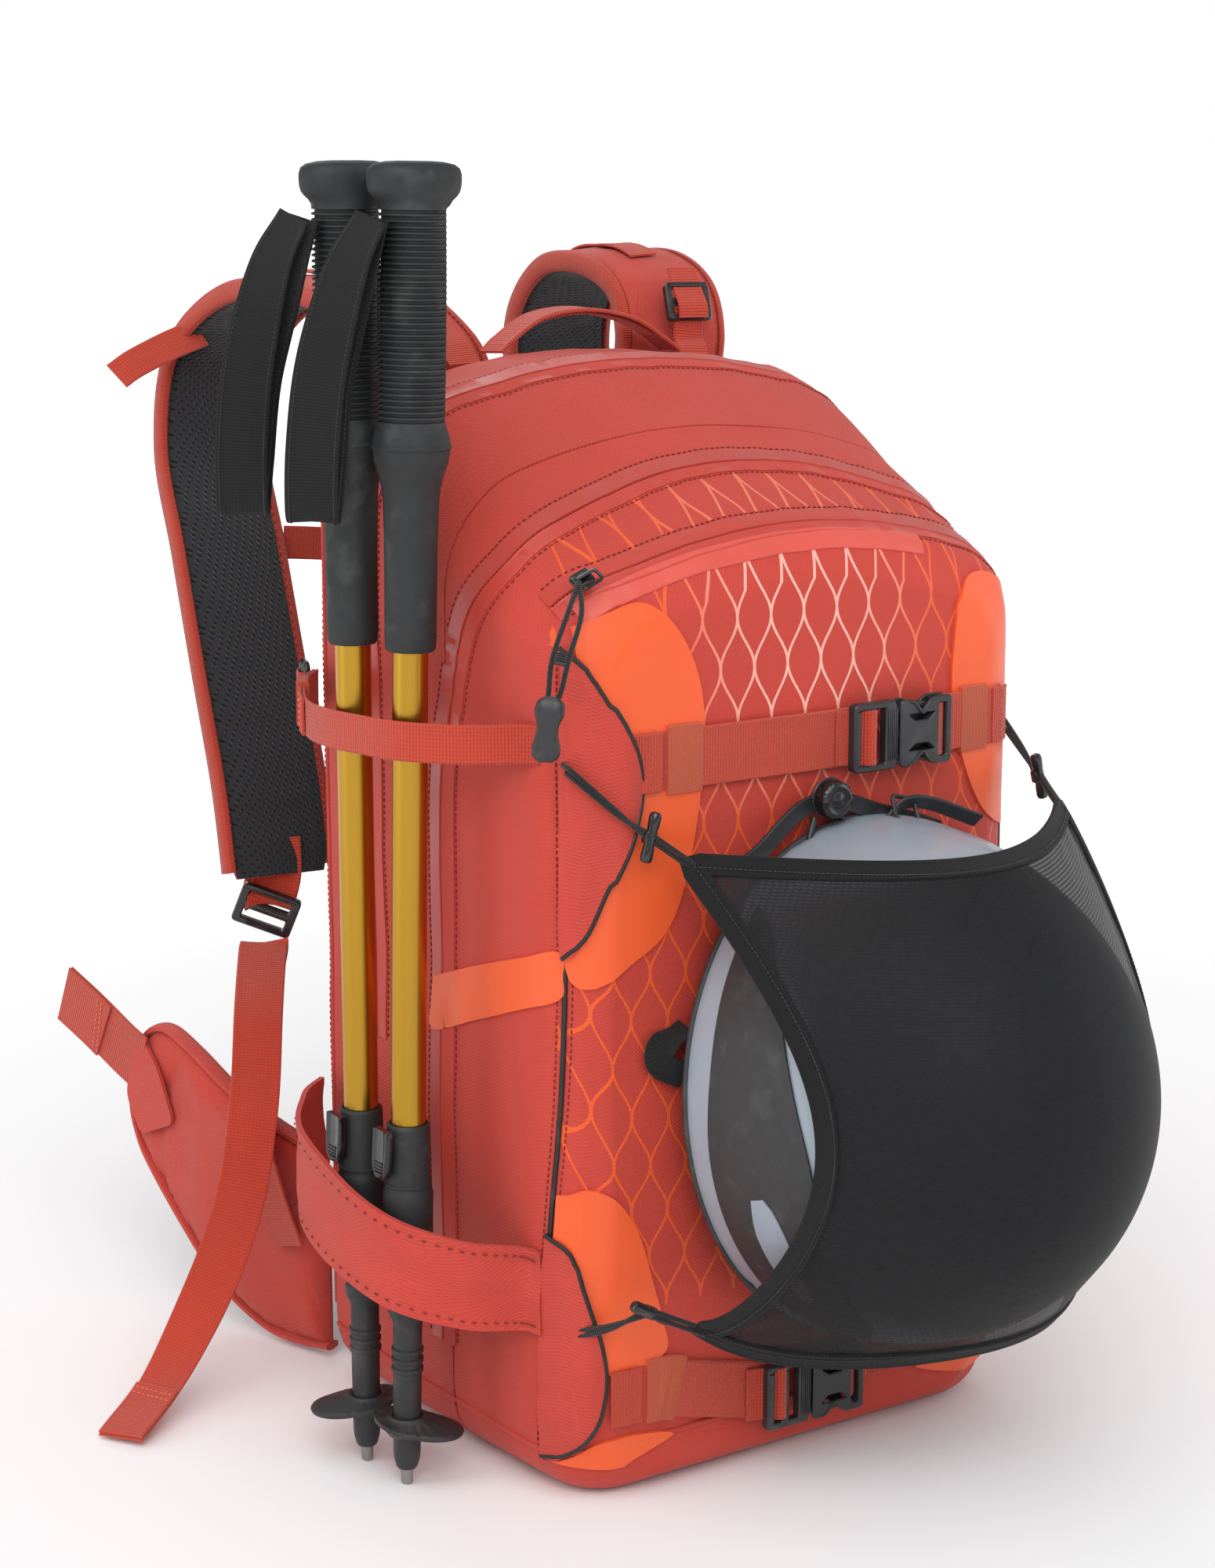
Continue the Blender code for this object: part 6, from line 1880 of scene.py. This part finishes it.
def panel_rings():
    """Padding with a shoulder bulge, a lumbar bulge and a channel down its middle."""
    rings = []
    levels = 90
    for i in range(levels):
        z = PANEL_FOOT + (PANEL_TOP - PANEL_FOOT) * i / (levels - 1)
        lumbar = 0.014 * math.exp(-((z - 0.115) / 0.060) ** 2)
        shoulder = 0.016 * math.exp(-((z - 0.375) / 0.080) ** 2)
        end, half = panel_edge(z)
        depth = (0.018 + lumbar + shoulder) * (0.50 + 0.50 * end)
        ring = []
        steps = 44
        for k in range(steps + 1):
            u = -1 + 2 * k / steps
            edge_fall = (1 - abs(u) ** 5) ** 0.5
            channel = 0.0075 * math.exp(-(u / 0.16) ** 2)
            groove = 0.0
            for height in (0.205, 0.265, 0.300, 0.455):
                groove += 0.0045 * math.exp(-((z - height) / 0.006) ** 2)
            soft = 0.0012 * noise.noise(Vector((u * 3.0, z * 24.0, 8.0)))
            y = PANEL_FRONT_Y + max(0.004, depth * edge_fall - channel - groove * edge_fall + soft)
            ring.append(Vector((u * half, y, z)))
        flat = PANEL_FRONT_Y - 0.0002
        rings.append([Vector((-half, flat, z)), *ring, Vector((half, flat, z)),
                      Vector((0, flat, z))])
    return rings


def make_back_panel():
    shape = Shape()
    shape.loft(panel_rings())
    item = piece("back_pad", shape.mesh("back_pad", sharp=60), MAT["spacer"], "pack",
                 ["back_panel"])
    swell(item, 0.005, 0.006, lambda point: min(1.0, max(0.0, (point.y - 0.122) / 0.008)))
    edge = Shape()
    border = []
    for i in range(61):
        z = PANEL_FOOT + 0.002 + (PANEL_TOP - PANEL_FOOT - 0.004) * i / 60
        border.append((panel_edge(z)[1], z))
    piping_y = PANEL_FRONT_Y + 0.0025
    right = [Vector((x, piping_y, z)) for x, z in border]
    left = [Vector((-x, piping_y, z)) for x, z in reversed(border)]
    edge.tube(even_path(right + left + [right[0]], 0.004)[:-1], 0.0030, 10, loop=True)
    piece("back_pad_piping", edge.mesh("piping"), MAT["binding"], "pack")
    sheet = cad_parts["frame_sheet"]
    sheet.data.materials.clear()
    sheet.data.materials.append(MAT["dark_rubber"])


def make_harness():
    make_back_panel()
    left = make_shoulder_strap("shoulder_strap_left", LEFT_STRAP)
    right = make_shoulder_strap("shoulder_strap_right", RIGHT_STRAP)
    make_strap_webbing()
    make_lifters(left, right)
    make_sternum()
    make_hip_belt()
    make_haul_loop()


# ---------------------------------------------------------------- helmet

HELMET_CENTRE = Vector((0.027, -0.152, 0.213))
HELMET_RADII = (0.120, 0.166, 0.138)          # half width, crown height, half length
HELMET_TILT = math.radians(-5)
SHELL_THICKNESS = 0.003
LINER_THICKNESS = 0.018
DIAL_CENTRE = Vector((0.003, -0.1465, 0.3620))
DIAL_RADIUS = 0.0098
HELMET = Matrix.Translation(HELMET_CENTRE) @ Matrix.Rotation(HELMET_TILT, 4, "X")


def dome_point(angle, lift, grow=0.0, rim_y=0.0):
    """Point of the dome in its own frame: lift runs from the rim to the crown."""
    width, tall, length = (r + grow for r in HELMET_RADII)
    spread = math.cos(lift) ** 0.88
    return Vector((width * spread * math.cos(angle), rim_y - (tall + rim_y) * math.sin(lift),
                   length * spread * math.sin(angle)))


def dome_rings(grow, rim_y, levels, sides, lumps=0.0):
    rings = []
    for i in range(levels):
        lift = math.radians(88) * i / (levels - 1)
        ring = []
        for k in range(sides):
            angle = 2 * math.pi * k / sides
            point = dome_point(angle, lift, grow, rim_y)
            if lumps:
                pad = math.sin(angle * 5) * math.sin(lift * 7)
                point *= 1 + lumps * (0.5 * pad + noise.noise(point * 30))
            ring.append(point)
        rings.append(ring)
    return rings


def shell_groove(angle, lift):
    """Two long grooves that run from front to back over the crown."""
    point = dome_point(angle, lift)
    return 0.0012 * sum(math.exp(-((abs(point.x) - at) / 0.0035) ** 2) for at in (0.040, 0.085))


def make_shell():
    sides, levels = 120, 44
    outer = []
    for i in range(levels):
        lift = math.radians(88) * i / (levels - 1)
        ring = []
        for k in range(sides):
            angle = 2 * math.pi * k / sides
            ring.append(dome_point(angle, lift, -0.0006 - shell_groove(angle, lift)))
        outer.append(ring)
    inner = dome_rings(-SHELL_THICKNESS, 0.0, levels, sides)
    shape = Shape()
    rolled = [[p * 0.992 + Vector((0, 0.0016, 0)) for p in outer[0]]]
    shape.loft(outer[::-1] + rolled + inner)
    piece("shell", shape.mesh("shell", HELMET, 60), MAT["shell"], "pack",
          ["helmet_shell"])
    shape = Shape()
    shape.loft(dome_rings(-SHELL_THICKNESS - 0.0004, 0.0025, 30, 90)[::-1]
               + dome_rings(-SHELL_THICKNESS - LINER_THICKNESS, 0.0025, 30, 90, 0.012))
    liner = piece("liner", shape.mesh("liner", HELMET, 60), MAT["liner"], "pack",
                  ["helmet_liner"])
    for name, sign in (("left", -1), ("right", 1)):
        pad = Shape()
        rings = []
        for i in range(25):
            t = -1 + 2 * i / 24
            girth = math.sqrt(max(0.0004, 1 - t * t))
            ring = []
            for k in range(24):
                a = 2 * math.pi * k / 24
                bump = 1 + 0.10 * noise.noise(Vector((math.cos(a), math.sin(a), t * 3)))
                ring.append(Vector((sign * 0.101 + 0.0115 * girth * bump * math.cos(a),
                                    0.0045 + 0.0100 * girth * bump * math.sin(a), 0.062 * t)))
            rings.append(ring)
        pad.loft(rings)
        item = piece(f"ear_pad_{name}", pad.mesh("pad", HELMET), MAT["liner"], "pack")


def dome_patch(name, outline, lift_off, material):
    """Moulded panel on the dome; its outline is in (angle, lift) degrees.

    skin_patch spaces its points for outlines in metres, so degrees go in as thousandths.
    """
    def project(a, b):
        angle, lift = math.radians(a * 1000), math.radians(b * 1000)
        place = dome_point(angle, lift)
        normal = Vector((place.x / 0.0144, place.y / 0.0276, place.z / 0.0190)).normalized()
        return place, normal

    shape = Shape()
    scaled = [(a / 1000, b / 1000) for a, b in outline]
    skin_patch(shape, scaled, project, lift_off, 0.0011, spacing=0.0030)
    piece(name, shape.mesh(name, HELMET), material, "pack")


def make_shell_trim():
    for name, mirror in (("left", lambda a: a), ("right", lambda a: 540 - a)):
        band = [(mirror(a), b) for a, b in
                ((132, 5), (150, 6), (170, 7), (190, 6), (212, 6), (232, 8), (246, 14),
                 (240, 22), (222, 26), (205, 27), (190, 30), (172, 27), (152, 20), (138, 12))]
        dome_patch(f"shell_band_{name}", band, -0.0004, MAT["helmet_dark"])
        slot_outline = [(mirror(a), b) for a, b in
                        ((196, 15), (205, 13.5), (218, 14), (226, 16.5), (218, 19.5),
                         (205, 20.5), (196, 18.5))]
        dome_patch(f"shell_slot_{name}", slot_outline, 0.0002, MAT["shell"])
    vents = Shape()
    for sign in (-1, 1):
        for lift, angle in ((52, 90), (52, 262), (66, 120), (40, 78)):
            base = math.radians(angle if sign > 0 else 180 - angle)
            line = [dome_point(base + t * 0.16, math.radians(lift + 4 * t), -0.0010)
                    for t in (-1, -0.6, -0.2, 0.2, 0.6, 1)]
            widths = [0.0006, 0.0014, 0.0018, 0.0018, 0.0014, 0.0006]
            vents.tube(smooth_path(line, 4), smooth_values(widths, 4), 12)
    piece("shell_vents", vents.mesh("vents", HELMET), MAT["helmet_dark"], "pack")
    rim = Shape()
    line = [dome_point(2 * math.pi * k / 120, 0.0, -0.0012) + Vector((0, 0.0008, 0))
            for k in range(120)]
    rim.tube(line, 0.0021, 10, loop=True)
    piece("shell_rim", rim.mesh("rim", HELMET), MAT["helmet_dark"], "pack")


def make_fit_parts():
    """Fit dial with its cradle, the goggle clip and a loop of the chin strap."""
    turn = frame_matrix(DIAL_CENTRE, (1, 0, 0), (0, -1, 0))
    dial = Shape()

    def knurl(angle, z):
        return 1 + (0.035 if math.cos(angle * 20) > 0 and z < 0.0030 else 0.0)

    dial.lathe([(-0.0042, DIAL_RADIUS * 0.94), (-0.0030, DIAL_RADIUS * 0.97),
                (0.0024, DIAL_RADIUS * 0.96), (0.0034, DIAL_RADIUS * 0.88),
                (0.0040, DIAL_RADIUS * 0.74), (0.0034, DIAL_RADIUS * 0.60),
                (0.0034, DIAL_RADIUS * 0.30), (0.0042, DIAL_RADIUS * 0.18)], 80, shape=knurl)
    piece("dial_knob", dial.mesh("dial", turn), MAT["gloss"], "dial",
          ["fit_dial"])
    cradle = Shape()
    arc = smooth_path([(-0.052, -0.1420, 0.3330), (-0.040, -0.1425, 0.3400),
                       (-0.024, -0.1415, 0.3520), (-0.012, -0.1400, 0.3580),
                       (0.003, -0.1395, 0.3600), (0.018, -0.1400, 0.3570),
                       (0.034, -0.1415, 0.3510), (0.056, -0.1430, 0.3440),
                       (0.074, -0.1435, 0.3370)], 8)
    cradle.web(arc, UP, 0.0095, 0.0026, 3)
    seat = Shape()
    seat.lathe([(-0.0062, 0.0102), (-0.0050, 0.0107), (-0.0046, 0.0102)], 40)
    cradle.add([turn @ v for v in seat.verts], seat.faces)
    for sign in (-1, 1):
        brace = smooth_path([(0.003 + sign * 0.008, -0.1400, 0.3520),
                             (0.003 + sign * 0.013, -0.1425, 0.3420),
                             (0.003 + sign * 0.015, -0.1450, 0.3340)], 6)
        cradle.tube(brace, 0.0018, 10)
    piece("dial_cradle", cradle.mesh("cradle"), MAT["satin"], "pack")
    clip = Shape()
    line = smooth_path([(0.036, -0.1475, 0.3470), (0.043, -0.1500, 0.3545),
                        (0.052, -0.1515, 0.3560), (0.064, -0.1530, 0.3530),
                        (0.076, -0.1550, 0.3480), (0.090, -0.1570, 0.3420)], 6)
    clip.web(line, Vector((0, -0.6, 0.8)), 0.0090, 0.0022, 3)
    matrix = frame_matrix((0.0440, -0.1530, 0.3530), (1, 0, -0.25), (0, -0.8, 0.6))
    clip.tube(flat_ring(rounded_box(0, 0.0075, 0.0070, 0.003), matrix), 0.0012, 8, loop=True)
    piece("goggle_clip", clip.mesh("clip"), MAT["satin"], "pack")
    chin = Shape()
    strap = smooth_path([(-0.0840, -0.1400, 0.2540), (-0.0965, -0.1388, 0.2475),
                         (-0.1000, -0.1385, 0.2410), (-0.0965, -0.1388, 0.2345),
                         (-0.0840, -0.1400, 0.2280)], 8)
    chin.web(strap, Vector((0.75, -0.35, 0.30)), 0.0150, 0.0014)
    piece("chin_strap", chin.mesh("chin", sharp=50), MAT["black_web"], "pack")


# ---------------------------------------------------------------- helmet net

NET_HALF_WIDTH = 0.126
NET_HALF_LENGTH = 0.133
NET_REACH = 1.44                 # distance of the corners, in helmet radii
NET_OFF = 0.0035                 # how far the net stands off the shell
NET_LOW_PULL = (-0.006, 0.029)   # how far the low left corner is pulled in and up
NET_HIGH_PULL = -0.010           # how far the high right corner is pulled in


def net_height(across, along):
    """Height of the stretched net: the dome, then a straight run to the corners."""
    width, tall, length = (r + NET_OFF for r in HELMET_RADII)
    distance = math.hypot(across / width, along / length)
    contact = 1 / NET_REACH
    if distance < contact:
        return tall * math.sqrt(1 - distance ** 2)
    top = tall * math.sqrt(1 - contact ** 2)
    return top * max(0.0, (NET_REACH - distance) / (NET_REACH - contact))


def net_point(u, v):
    """Point of the net in the helmet's frame; u and v run from -1 to 1."""
    low = ((1 - u) / 2 * (1 - v) / 2) ** 12
    high = ((1 + u) / 2 * (1 + v) / 2) ** 12
    across = u * (NET_HALF_WIDTH - 0.018 * math.cos(v * math.pi / 2))
    along = v * (NET_HALF_LENGTH - 0.008 * math.cos(u * math.pi / 2))
    across += NET_LOW_PULL[0] * low + NET_HIGH_PULL * high
    along += NET_LOW_PULL[1] * low
    height = net_height(across, along) * (1 - 0.75 * low)
    return Vector((across, -height - 0.0015, along))


def net_normal(u, v):
    e = 0.01
    du = net_point(min(1, u + e), v) - net_point(max(-1, u - e), v)
    dv = net_point(u, min(1, v + e)) - net_point(u, max(-1, v - e))
    normal = du.cross(dv).normalized()
    return normal if normal.y < 0 else -normal


def make_net():
    cells = 110
    verts, faces, cloth = [], [], []
    for j in range(cells + 1):
        for i in range(cells + 1):
            u, v = -1 + 2 * i / cells, -1 + 2 * j / cells
            point = net_point(u, v)
            rim = 1 - max(abs(u), abs(v))
            fold = 0.0012 * math.sin(34 * (u - v)) * math.exp(-rim / 0.10)
            fold *= max(0.0, abs(u) + abs(v) - 1.1)
            verts.append(point + net_normal(u, v) * fold)
            cloth.append((u * 0.165, v * 0.175, 0.0))
    row = cells + 1
    for j in range(cells):
        for i in range(cells):
            a = j * row + i
            faces.append((a, a + 1, a + row + 1, a + row))
    shape = Shape()
    shape.add(verts, faces, cloth)
    mesh = shape.mesh("net", HELMET, 70)
    wide = path_length([HELMET @ net_point(-1 + i / 40, 0) for i in range(81)])
    long = path_length([HELMET @ net_point(0, -1 + i / 40) for i in range(81)])
    net = piece("carry_net", mesh, MAT["net"], "pack", ["helmet_net"])
    binding = make_net_binding()
    wide, long = round(wide * 1.04, 3), round(long * 1.04, 3)


def net_border():
    """The net's four edges in turn, as its own (u, v) coordinates."""
    steps = [-1 + 2 * i / 70 for i in range(70)]
    return ([(t, -1.0) for t in steps] + [(1.0, t) for t in steps]
            + [(-t, 1.0) for t in steps] + [(-1.0, -t) for t in steps])


def make_net_binding():
    """Ribbed tape folded round the edge of the net."""
    path, inward = [], []
    for u, v in net_border():
        point = net_point(u, v)
        inner = net_point(u * 0.97, v * 0.97)
        path.append(HELMET @ (point + (inner - point) * 0.75))
        inward.append((HELMET.to_3x3() @ (inner - point)).normalized())
    shape = Shape()
    shape.sweep(path, inward, web_section(0.0115, 0.0030), loop=True)
    binding = piece("net_binding", shape.mesh("binding", sharp=50), MAT["binding"], "pack")
    rows = Shape()
    for i in range(len(path)):
        ahead = path[(i + 1) % len(path)]
        tangent = heading(path, i, loop=True)
        normal = tangent.cross(inward[i]).normalized()
        if normal.y > 0:
            normal = -normal
        for t in (0.0, 0.5):
            centre = path[i].lerp(ahead, t)
            add_stitch(rows, centre + inward[i] * 0.0042 + normal * 0.0016, tangent, normal,
                       0.0022, 0.0003)
    piece("net_stitches", rows.mesh("rows"), MAT["dark_rubber"], "pack")
    return binding


# name, place, lean in degrees, the net's corner, the cords' seats and how they dive in
TOGGLES = (("top_left", (-0.1085, -0.1430, 0.3560), 15, (-1, 1),
            ((-0.1420, -0.1270, 0.3885), (-0.1405, -0.1280, 0.3840)),
            (-0.0020, 0.0090, 0.0040)),
           ("top_right", (0.1465, -0.1405, 0.3560), -15, (1, 1),
            ((0.1500, -0.1060, 0.3820), (0.1480, -0.1080, 0.3780)), (0.002, 0.006, 0)),
           ("bottom_left", (-0.1180, -0.1580, 0.1145), -60, (-1, -1),
            ((-0.1465, -0.1040, 0.0930), (-0.1445, -0.1080, 0.0900)), (0.002, 0.006, 0)))
CORD_RADIUS = 0.0013


def make_toggles():
    """T-bars with a waist and a slot, on elastic cords that run back to the seams."""
    for name, place, lean, (u, v), seats, dive in TOGGLES:
        position = Vector(place)
        turn = Matrix.Rotation(math.radians(lean), 4, "Y")
        matrix = Matrix.Translation(position) @ turn
        bar = Shape()
        bar.lathe([(-0.0128, 0.0016), (-0.0122, 0.0026), (-0.0105, 0.0032), (-0.0060, 0.0030),
                   (-0.0030, 0.0026), (0.0, 0.0029), (0.0030, 0.0026), (0.0060, 0.0030),
                   (0.0105, 0.0032), (0.0122, 0.0026), (0.0128, 0.0016)], 24)
        bar.box((0.0066, 0.0050, 0.0070), (0, 0.0012, 0), 0.0012)
        piece("toggle_" + name, bar.mesh("toggle", matrix), MAT["gloss"], "pack",
              ["net_toggle_" + name])
        corner = HELMET @ net_point(u * 0.965, v * 0.965)
        cords = Shape()
        for k, seat in enumerate(Vector(seat) for seat in seats):
            side = Vector((0, 0, 0.0016 if k else -0.0016))
            cords.tube(smooth_path([seat + Vector(dive), seat,
                                    seat.lerp(position, 0.5) + Vector((0, -0.003, -0.002)),
                                    position + side + Vector((0, 0.002, 0))], 8),
                       CORD_RADIUS, 10)
            cords.tube(smooth_path([position + side + Vector((0, -0.001, 0)),
                                    position.lerp(corner, 0.5) + side,
                                    corner + side], 6), CORD_RADIUS, 10)
        piece("cord_" + name, cords.mesh("cords"), MAT["cord"], "pack")


# ---------------------------------------------------------------- zip sliders and pull

ZIP_RADIUS = 0.330
ZIP_START = math.radians(-22.5)
ZIP_Y = -0.101
MAIN_SLIDER_X = 0.1580 + 0.0008 + 0.0019       # the bag's side, a gap and the slider's depth


def slider_shape():
    """Zip slider: split wedge body, bridge and pull tab; Y runs along the teeth."""
    shape = Shape()
    shape.box((0.0084, 0.0105, 0.0013), (0, 0, 0.0012), 0.0005)
    shape.box((0.0084, 0.0105, 0.0012), (0, 0, -0.0013), 0.0005)
    shape.box((0.0024, 0.0040, 0.0030), (0, 0.0030, 0), 0.0006)
    for x in (-0.0038, 0.0038):
        shape.box((0.0009, 0.0096, 0.0020), (x, 0, 0.0006), 0.0003, 1)
    shape.tube(smooth_path([(0, -0.0042, 0.0016), (0, -0.0032, 0.0036), (0, 0.0, 0.0044),
                            (0, 0.0032, 0.0036), (0, 0.0042, 0.0016)], 5), 0.0011, 10)
    return shape


def make_sliders():
    reach = ZIP_RADIUS + 0.0040
    seat = Vector((reach * math.sin(ZIP_START), ZIP_Y - 0.010,
                   CROWN_CENTRE_Z + reach * math.cos(ZIP_START)))
    tangent = Vector((math.cos(ZIP_START), 0, -math.sin(ZIP_START)))
    outward = Vector((math.sin(ZIP_START), -0.8, math.cos(ZIP_START)))
    matrix = frame_matrix(seat, outward.cross(tangent), outward)
    shape = slider_shape()
    ring = flat_ring(rounded_box(-0.0050, 0.0035, 0.0060, 0.002),
                     Matrix.Translation((0, 0, 0.0055)))
    shape.tube(ring, 0.0009, 8, loop=True)
    piece("pocket_slider_body", shape.mesh("slider", matrix), MAT["gloss"], "pocket_slider",
          ["zip_slider_pocket"])
    matrix = frame_matrix((MAIN_SLIDER_X, 0.0350, 0.2150), (0, -1, 0), (1, 0, 0))
    piece("main_slider_body", slider_shape().mesh("slider", matrix), MAT["gloss"],
          "main_slider", ["zip_slider_main"])
    make_pull(seat)


def make_pull(seat):
    """Two cords from the slider to a moulded grip with a waist."""
    shape = Shape()
    start = seat + Vector((-0.0070, -0.0080, 0.0005))
    line = [start, Vector((-0.1440, -0.1290, 0.468)), Vector((-0.1570, -0.1370, 0.449)),
            Vector((-0.1620, -0.1395, 0.434)), Vector((-0.1640, -0.1402, 0.430))]
    across = Vector((0.832, -0.555, 0))
    spread = (0.0, 0.0034, 0.0040, 0.0030, 0.0022)
    for side in (-1, 1):
        strand = smooth_path([p + across * side * s for p, s in zip(line, spread)], 8)
        shape.tube(strand, CORD_RADIUS, 10)
    knot = [Vector((-0.1560, -0.1365, 0.4510)), Vector((-0.1580, -0.1378, 0.4465))]
    shape.tube(knot, 0.0034, 12)
    piece("pull_cords", shape.mesh("cords"), MAT["cord"], "pull_grip")
    grip = Shape()
    spine = [(-0.1638, -0.1402, 0.4318), (-0.1645, -0.1403, 0.4290), (-0.1658, -0.1404, 0.4240),
             (-0.1666, -0.1405, 0.4190), (-0.1672, -0.1405, 0.4140), (-0.1677, -0.1405, 0.4080),
             (-0.1681, -0.1405, 0.4035), (-0.1683, -0.1405, 0.4005)]
    wide = (0.0060, 0.0128, 0.0146, 0.0112, 0.0106, 0.0136, 0.0132, 0.0070)
    deep = (0.0040, 0.0068, 0.0076, 0.0066, 0.0064, 0.0074, 0.0070, 0.0040)
    path = smooth_path(spine, 5)
    sizes = zip(smooth_values(wide, 5), smooth_values(deep, 5))
    grip.sweep(path, across, [pad_section(w, d, 24) for w, d in sizes])
    piece("pull_moulding", grip.mesh("grip"), MAT["satin"], "pull_grip",
          ["zip_pull_grip"])


# ---------------------------------------------------------------- padding

SWELL_PRESSURE = 4.0
SWELL_FRAMES = 20


def simulated_copy(item, voxel):
    """Remeshed copy of a pad before and after cloth simulation under inner pressure."""
    pad = bpy.data.objects.new("swell", item.data.copy())
    pad.matrix_world = item.matrix_world.copy()
    SCENE.collection.objects.link(pad)
    remesh = pad.modifiers.new("remesh", "REMESH")
    remesh.mode = "VOXEL"
    remesh.voxel_size = voxel
    solid = bpy.data.meshes.new_from_object(pad.evaluated_get(
        bpy.context.evaluated_depsgraph_get()))
    pad.modifiers.clear()
    pad.data = solid
    cloth = pad.modifiers.new("cloth", "CLOTH")
    cloth.settings.use_pressure = True
    cloth.settings.uniform_pressure_force = SWELL_PRESSURE
    cloth.settings.effector_weights.gravity = 0.0
    cloth.point_cache.frame_start = 1
    cloth.point_cache.frame_end = SWELL_FRAMES
    before = [v.co.copy() for v in solid.vertices]
    for step in range(1, SWELL_FRAMES + 1):
        SCENE.frame_set(step)
    shown = pad.evaluated_get(bpy.context.evaluated_depsgraph_get())
    after = [v.co.copy() for v in shown.data.vertices]
    bpy.data.objects.remove(pad, do_unlink=True)
    SCENE.frame_set(1)
    return before, after


def swell(item, cap, voxel, allow):
    """Moves a pad's own points as its simulated copy swelled; allow limits each point."""
    before, after = simulated_copy(item, voxel)
    tree = point_tree(before)
    drift = sum((b - a for a, b in zip(before, after)), Vector()) / len(before)
    for vert in item.data.vertices:
        found = tree.find_n(vert.co, 4)
        weights = [1 / (distance + 0.001) for _, _, distance in found]
        move = Vector()
        for (_, i, _), weight in zip(found, weights):
            move += (after[i] - before[i] - drift) * weight
        move /= sum(weights)
        if move.length > cap:
            move *= cap / move.length
        vert.co += move * allow(vert.co)
    item.data.update()


# ---------------------------------------------------------------- stage

FLOOR_REACH = 40.0
FLOOR_DROP = 0.0006              # the paper lies just under what stands on it


def make_floor():
    """Pale paper that grows brighter with distance, so that it has no horizon."""
    mesh = bpy.data.meshes.new("floor")
    mesh.from_pydata([(-FLOOR_REACH, -FLOOR_REACH, 0), (FLOOR_REACH, -FLOOR_REACH, 0),
                      (FLOOR_REACH, FLOOR_REACH, 0), (-FLOOR_REACH, FLOOR_REACH, 0)],
                     [], [(0, 1, 2, 3)])
    floor = bpy.data.objects.new("floor", mesh)
    g = Graph("floor_paper", rough=0.75, specular=0.15)
    tint = g.mix(g.noise(2.0, 2.0), (0.905, 0.895, 0.900), (0.925, 0.920, 0.925))
    across = g.math("MULTIPLY", g.x, g.x)
    away = g.math("SQRT", g.math("ADD", across, g.math("MULTIPLY", g.y, g.y)))
    g.shader.inputs["Emission Color"].default_value = (1.0, 1.0, 1.0, 1.0)
    g.give(g.shader.inputs["Emission Strength"], g.range(away, 0.9, 3.0, 0.0, 0.45))
    mesh.materials.append(g.finish(tint))
    floor.location.z = -FLOOR_DROP
    SCENE.collection.objects.link(floor)


def add_light(name, place, size, power):
    """Soft box that looks at the middle of the pack."""
    data = bpy.data.lights.new(name, "AREA")
    data.shape = "RECTANGLE"
    data.size, data.size_y = size
    data.energy = power
    light = bpy.data.objects.new(name, data)
    light.location = place
    ahead = Vector((0.0, 0.0, 0.30)) - Vector(place)
    light.rotation_euler = ahead.to_track_quat("-Z", "Y").to_euler()
    SCENE.collection.objects.link(light)


def make_studio():
    """Soft even light as in a white studio: a wide sun, soft boxes and bright air."""
    data = bpy.data.lights.new("wide_sun", "SUN")
    data.energy = 1.55
    data.angle = math.radians(70)
    sun = bpy.data.objects.new("wide_sun", data)
    sun.rotation_euler = Vector((0.50, 0.62, -1.0)).to_track_quat("-Z", "Y").to_euler()
    SCENE.collection.objects.link(sun)
    add_light("key_softbox", (-1.3, -2.0, 1.9), (1.2, 1.2), 16)
    add_light("fill_softbox", (2.2, -1.2, 1.1), (1.4, 1.4), 9)
    add_light("side_softbox", (-2.4, 0.6, 1.0), (0.8, 1.6), 9)
    add_light("rear_softbox", (0.6, 2.4, 1.8), (1.6, 1.2), 12)
    world = bpy.data.worlds.new("studio_air")
    world.use_nodes = True
    nodes, links = world.node_tree.nodes, world.node_tree.links
    light = nodes["Background"]
    light.inputs[0].default_value = (0.97, 0.985, 1.0, 1.0)
    light.inputs[1].default_value = 0.50
    seen = nodes.new("ShaderNodeBackground")
    seen.inputs[0].default_value = (1.0, 1.0, 1.0, 1.0)
    seen.inputs[1].default_value = 1.0
    path = nodes.new("ShaderNodeLightPath")
    mix = nodes.new("ShaderNodeMixShader")
    links.new(path.outputs["Is Camera Ray"], mix.inputs[0])
    links.new(light.outputs[0], mix.inputs[1])
    links.new(seen.outputs[0], mix.inputs[2])
    links.new(mix.outputs[0], nodes["World Output"].inputs["Surface"])
    SCENE.world = world
    SCENE.view_settings.view_transform = "Standard"


def make_camera():
    data = bpy.data.cameras.new("photo_camera")
    data.lens = CAMERA_LENS
    data.sensor_width = 36.0
    camera = bpy.data.objects.new("photo_camera", data)
    camera.location = CAMERA_PLACE
    camera.rotation_euler = CAMERA_AHEAD.to_track_quat("-Z", "Y").to_euler()
    SCENE.collection.objects.link(camera)
    SCENE.camera = camera


make_camera()
make_floor()
make_studio()
make_materials()
front_bag, main_bag = make_compartments()
skin = Skin(front_bag, main_bag)
make_zips(skin)
make_patches(skin)
make_front_straps(skin)
make_buckles()
make_pole_loops()
make_side_straps()
make_poles()
make_harness()
make_shell()
make_shell_trim()
make_fit_parts()
make_net()
make_toggles()
make_sliders()
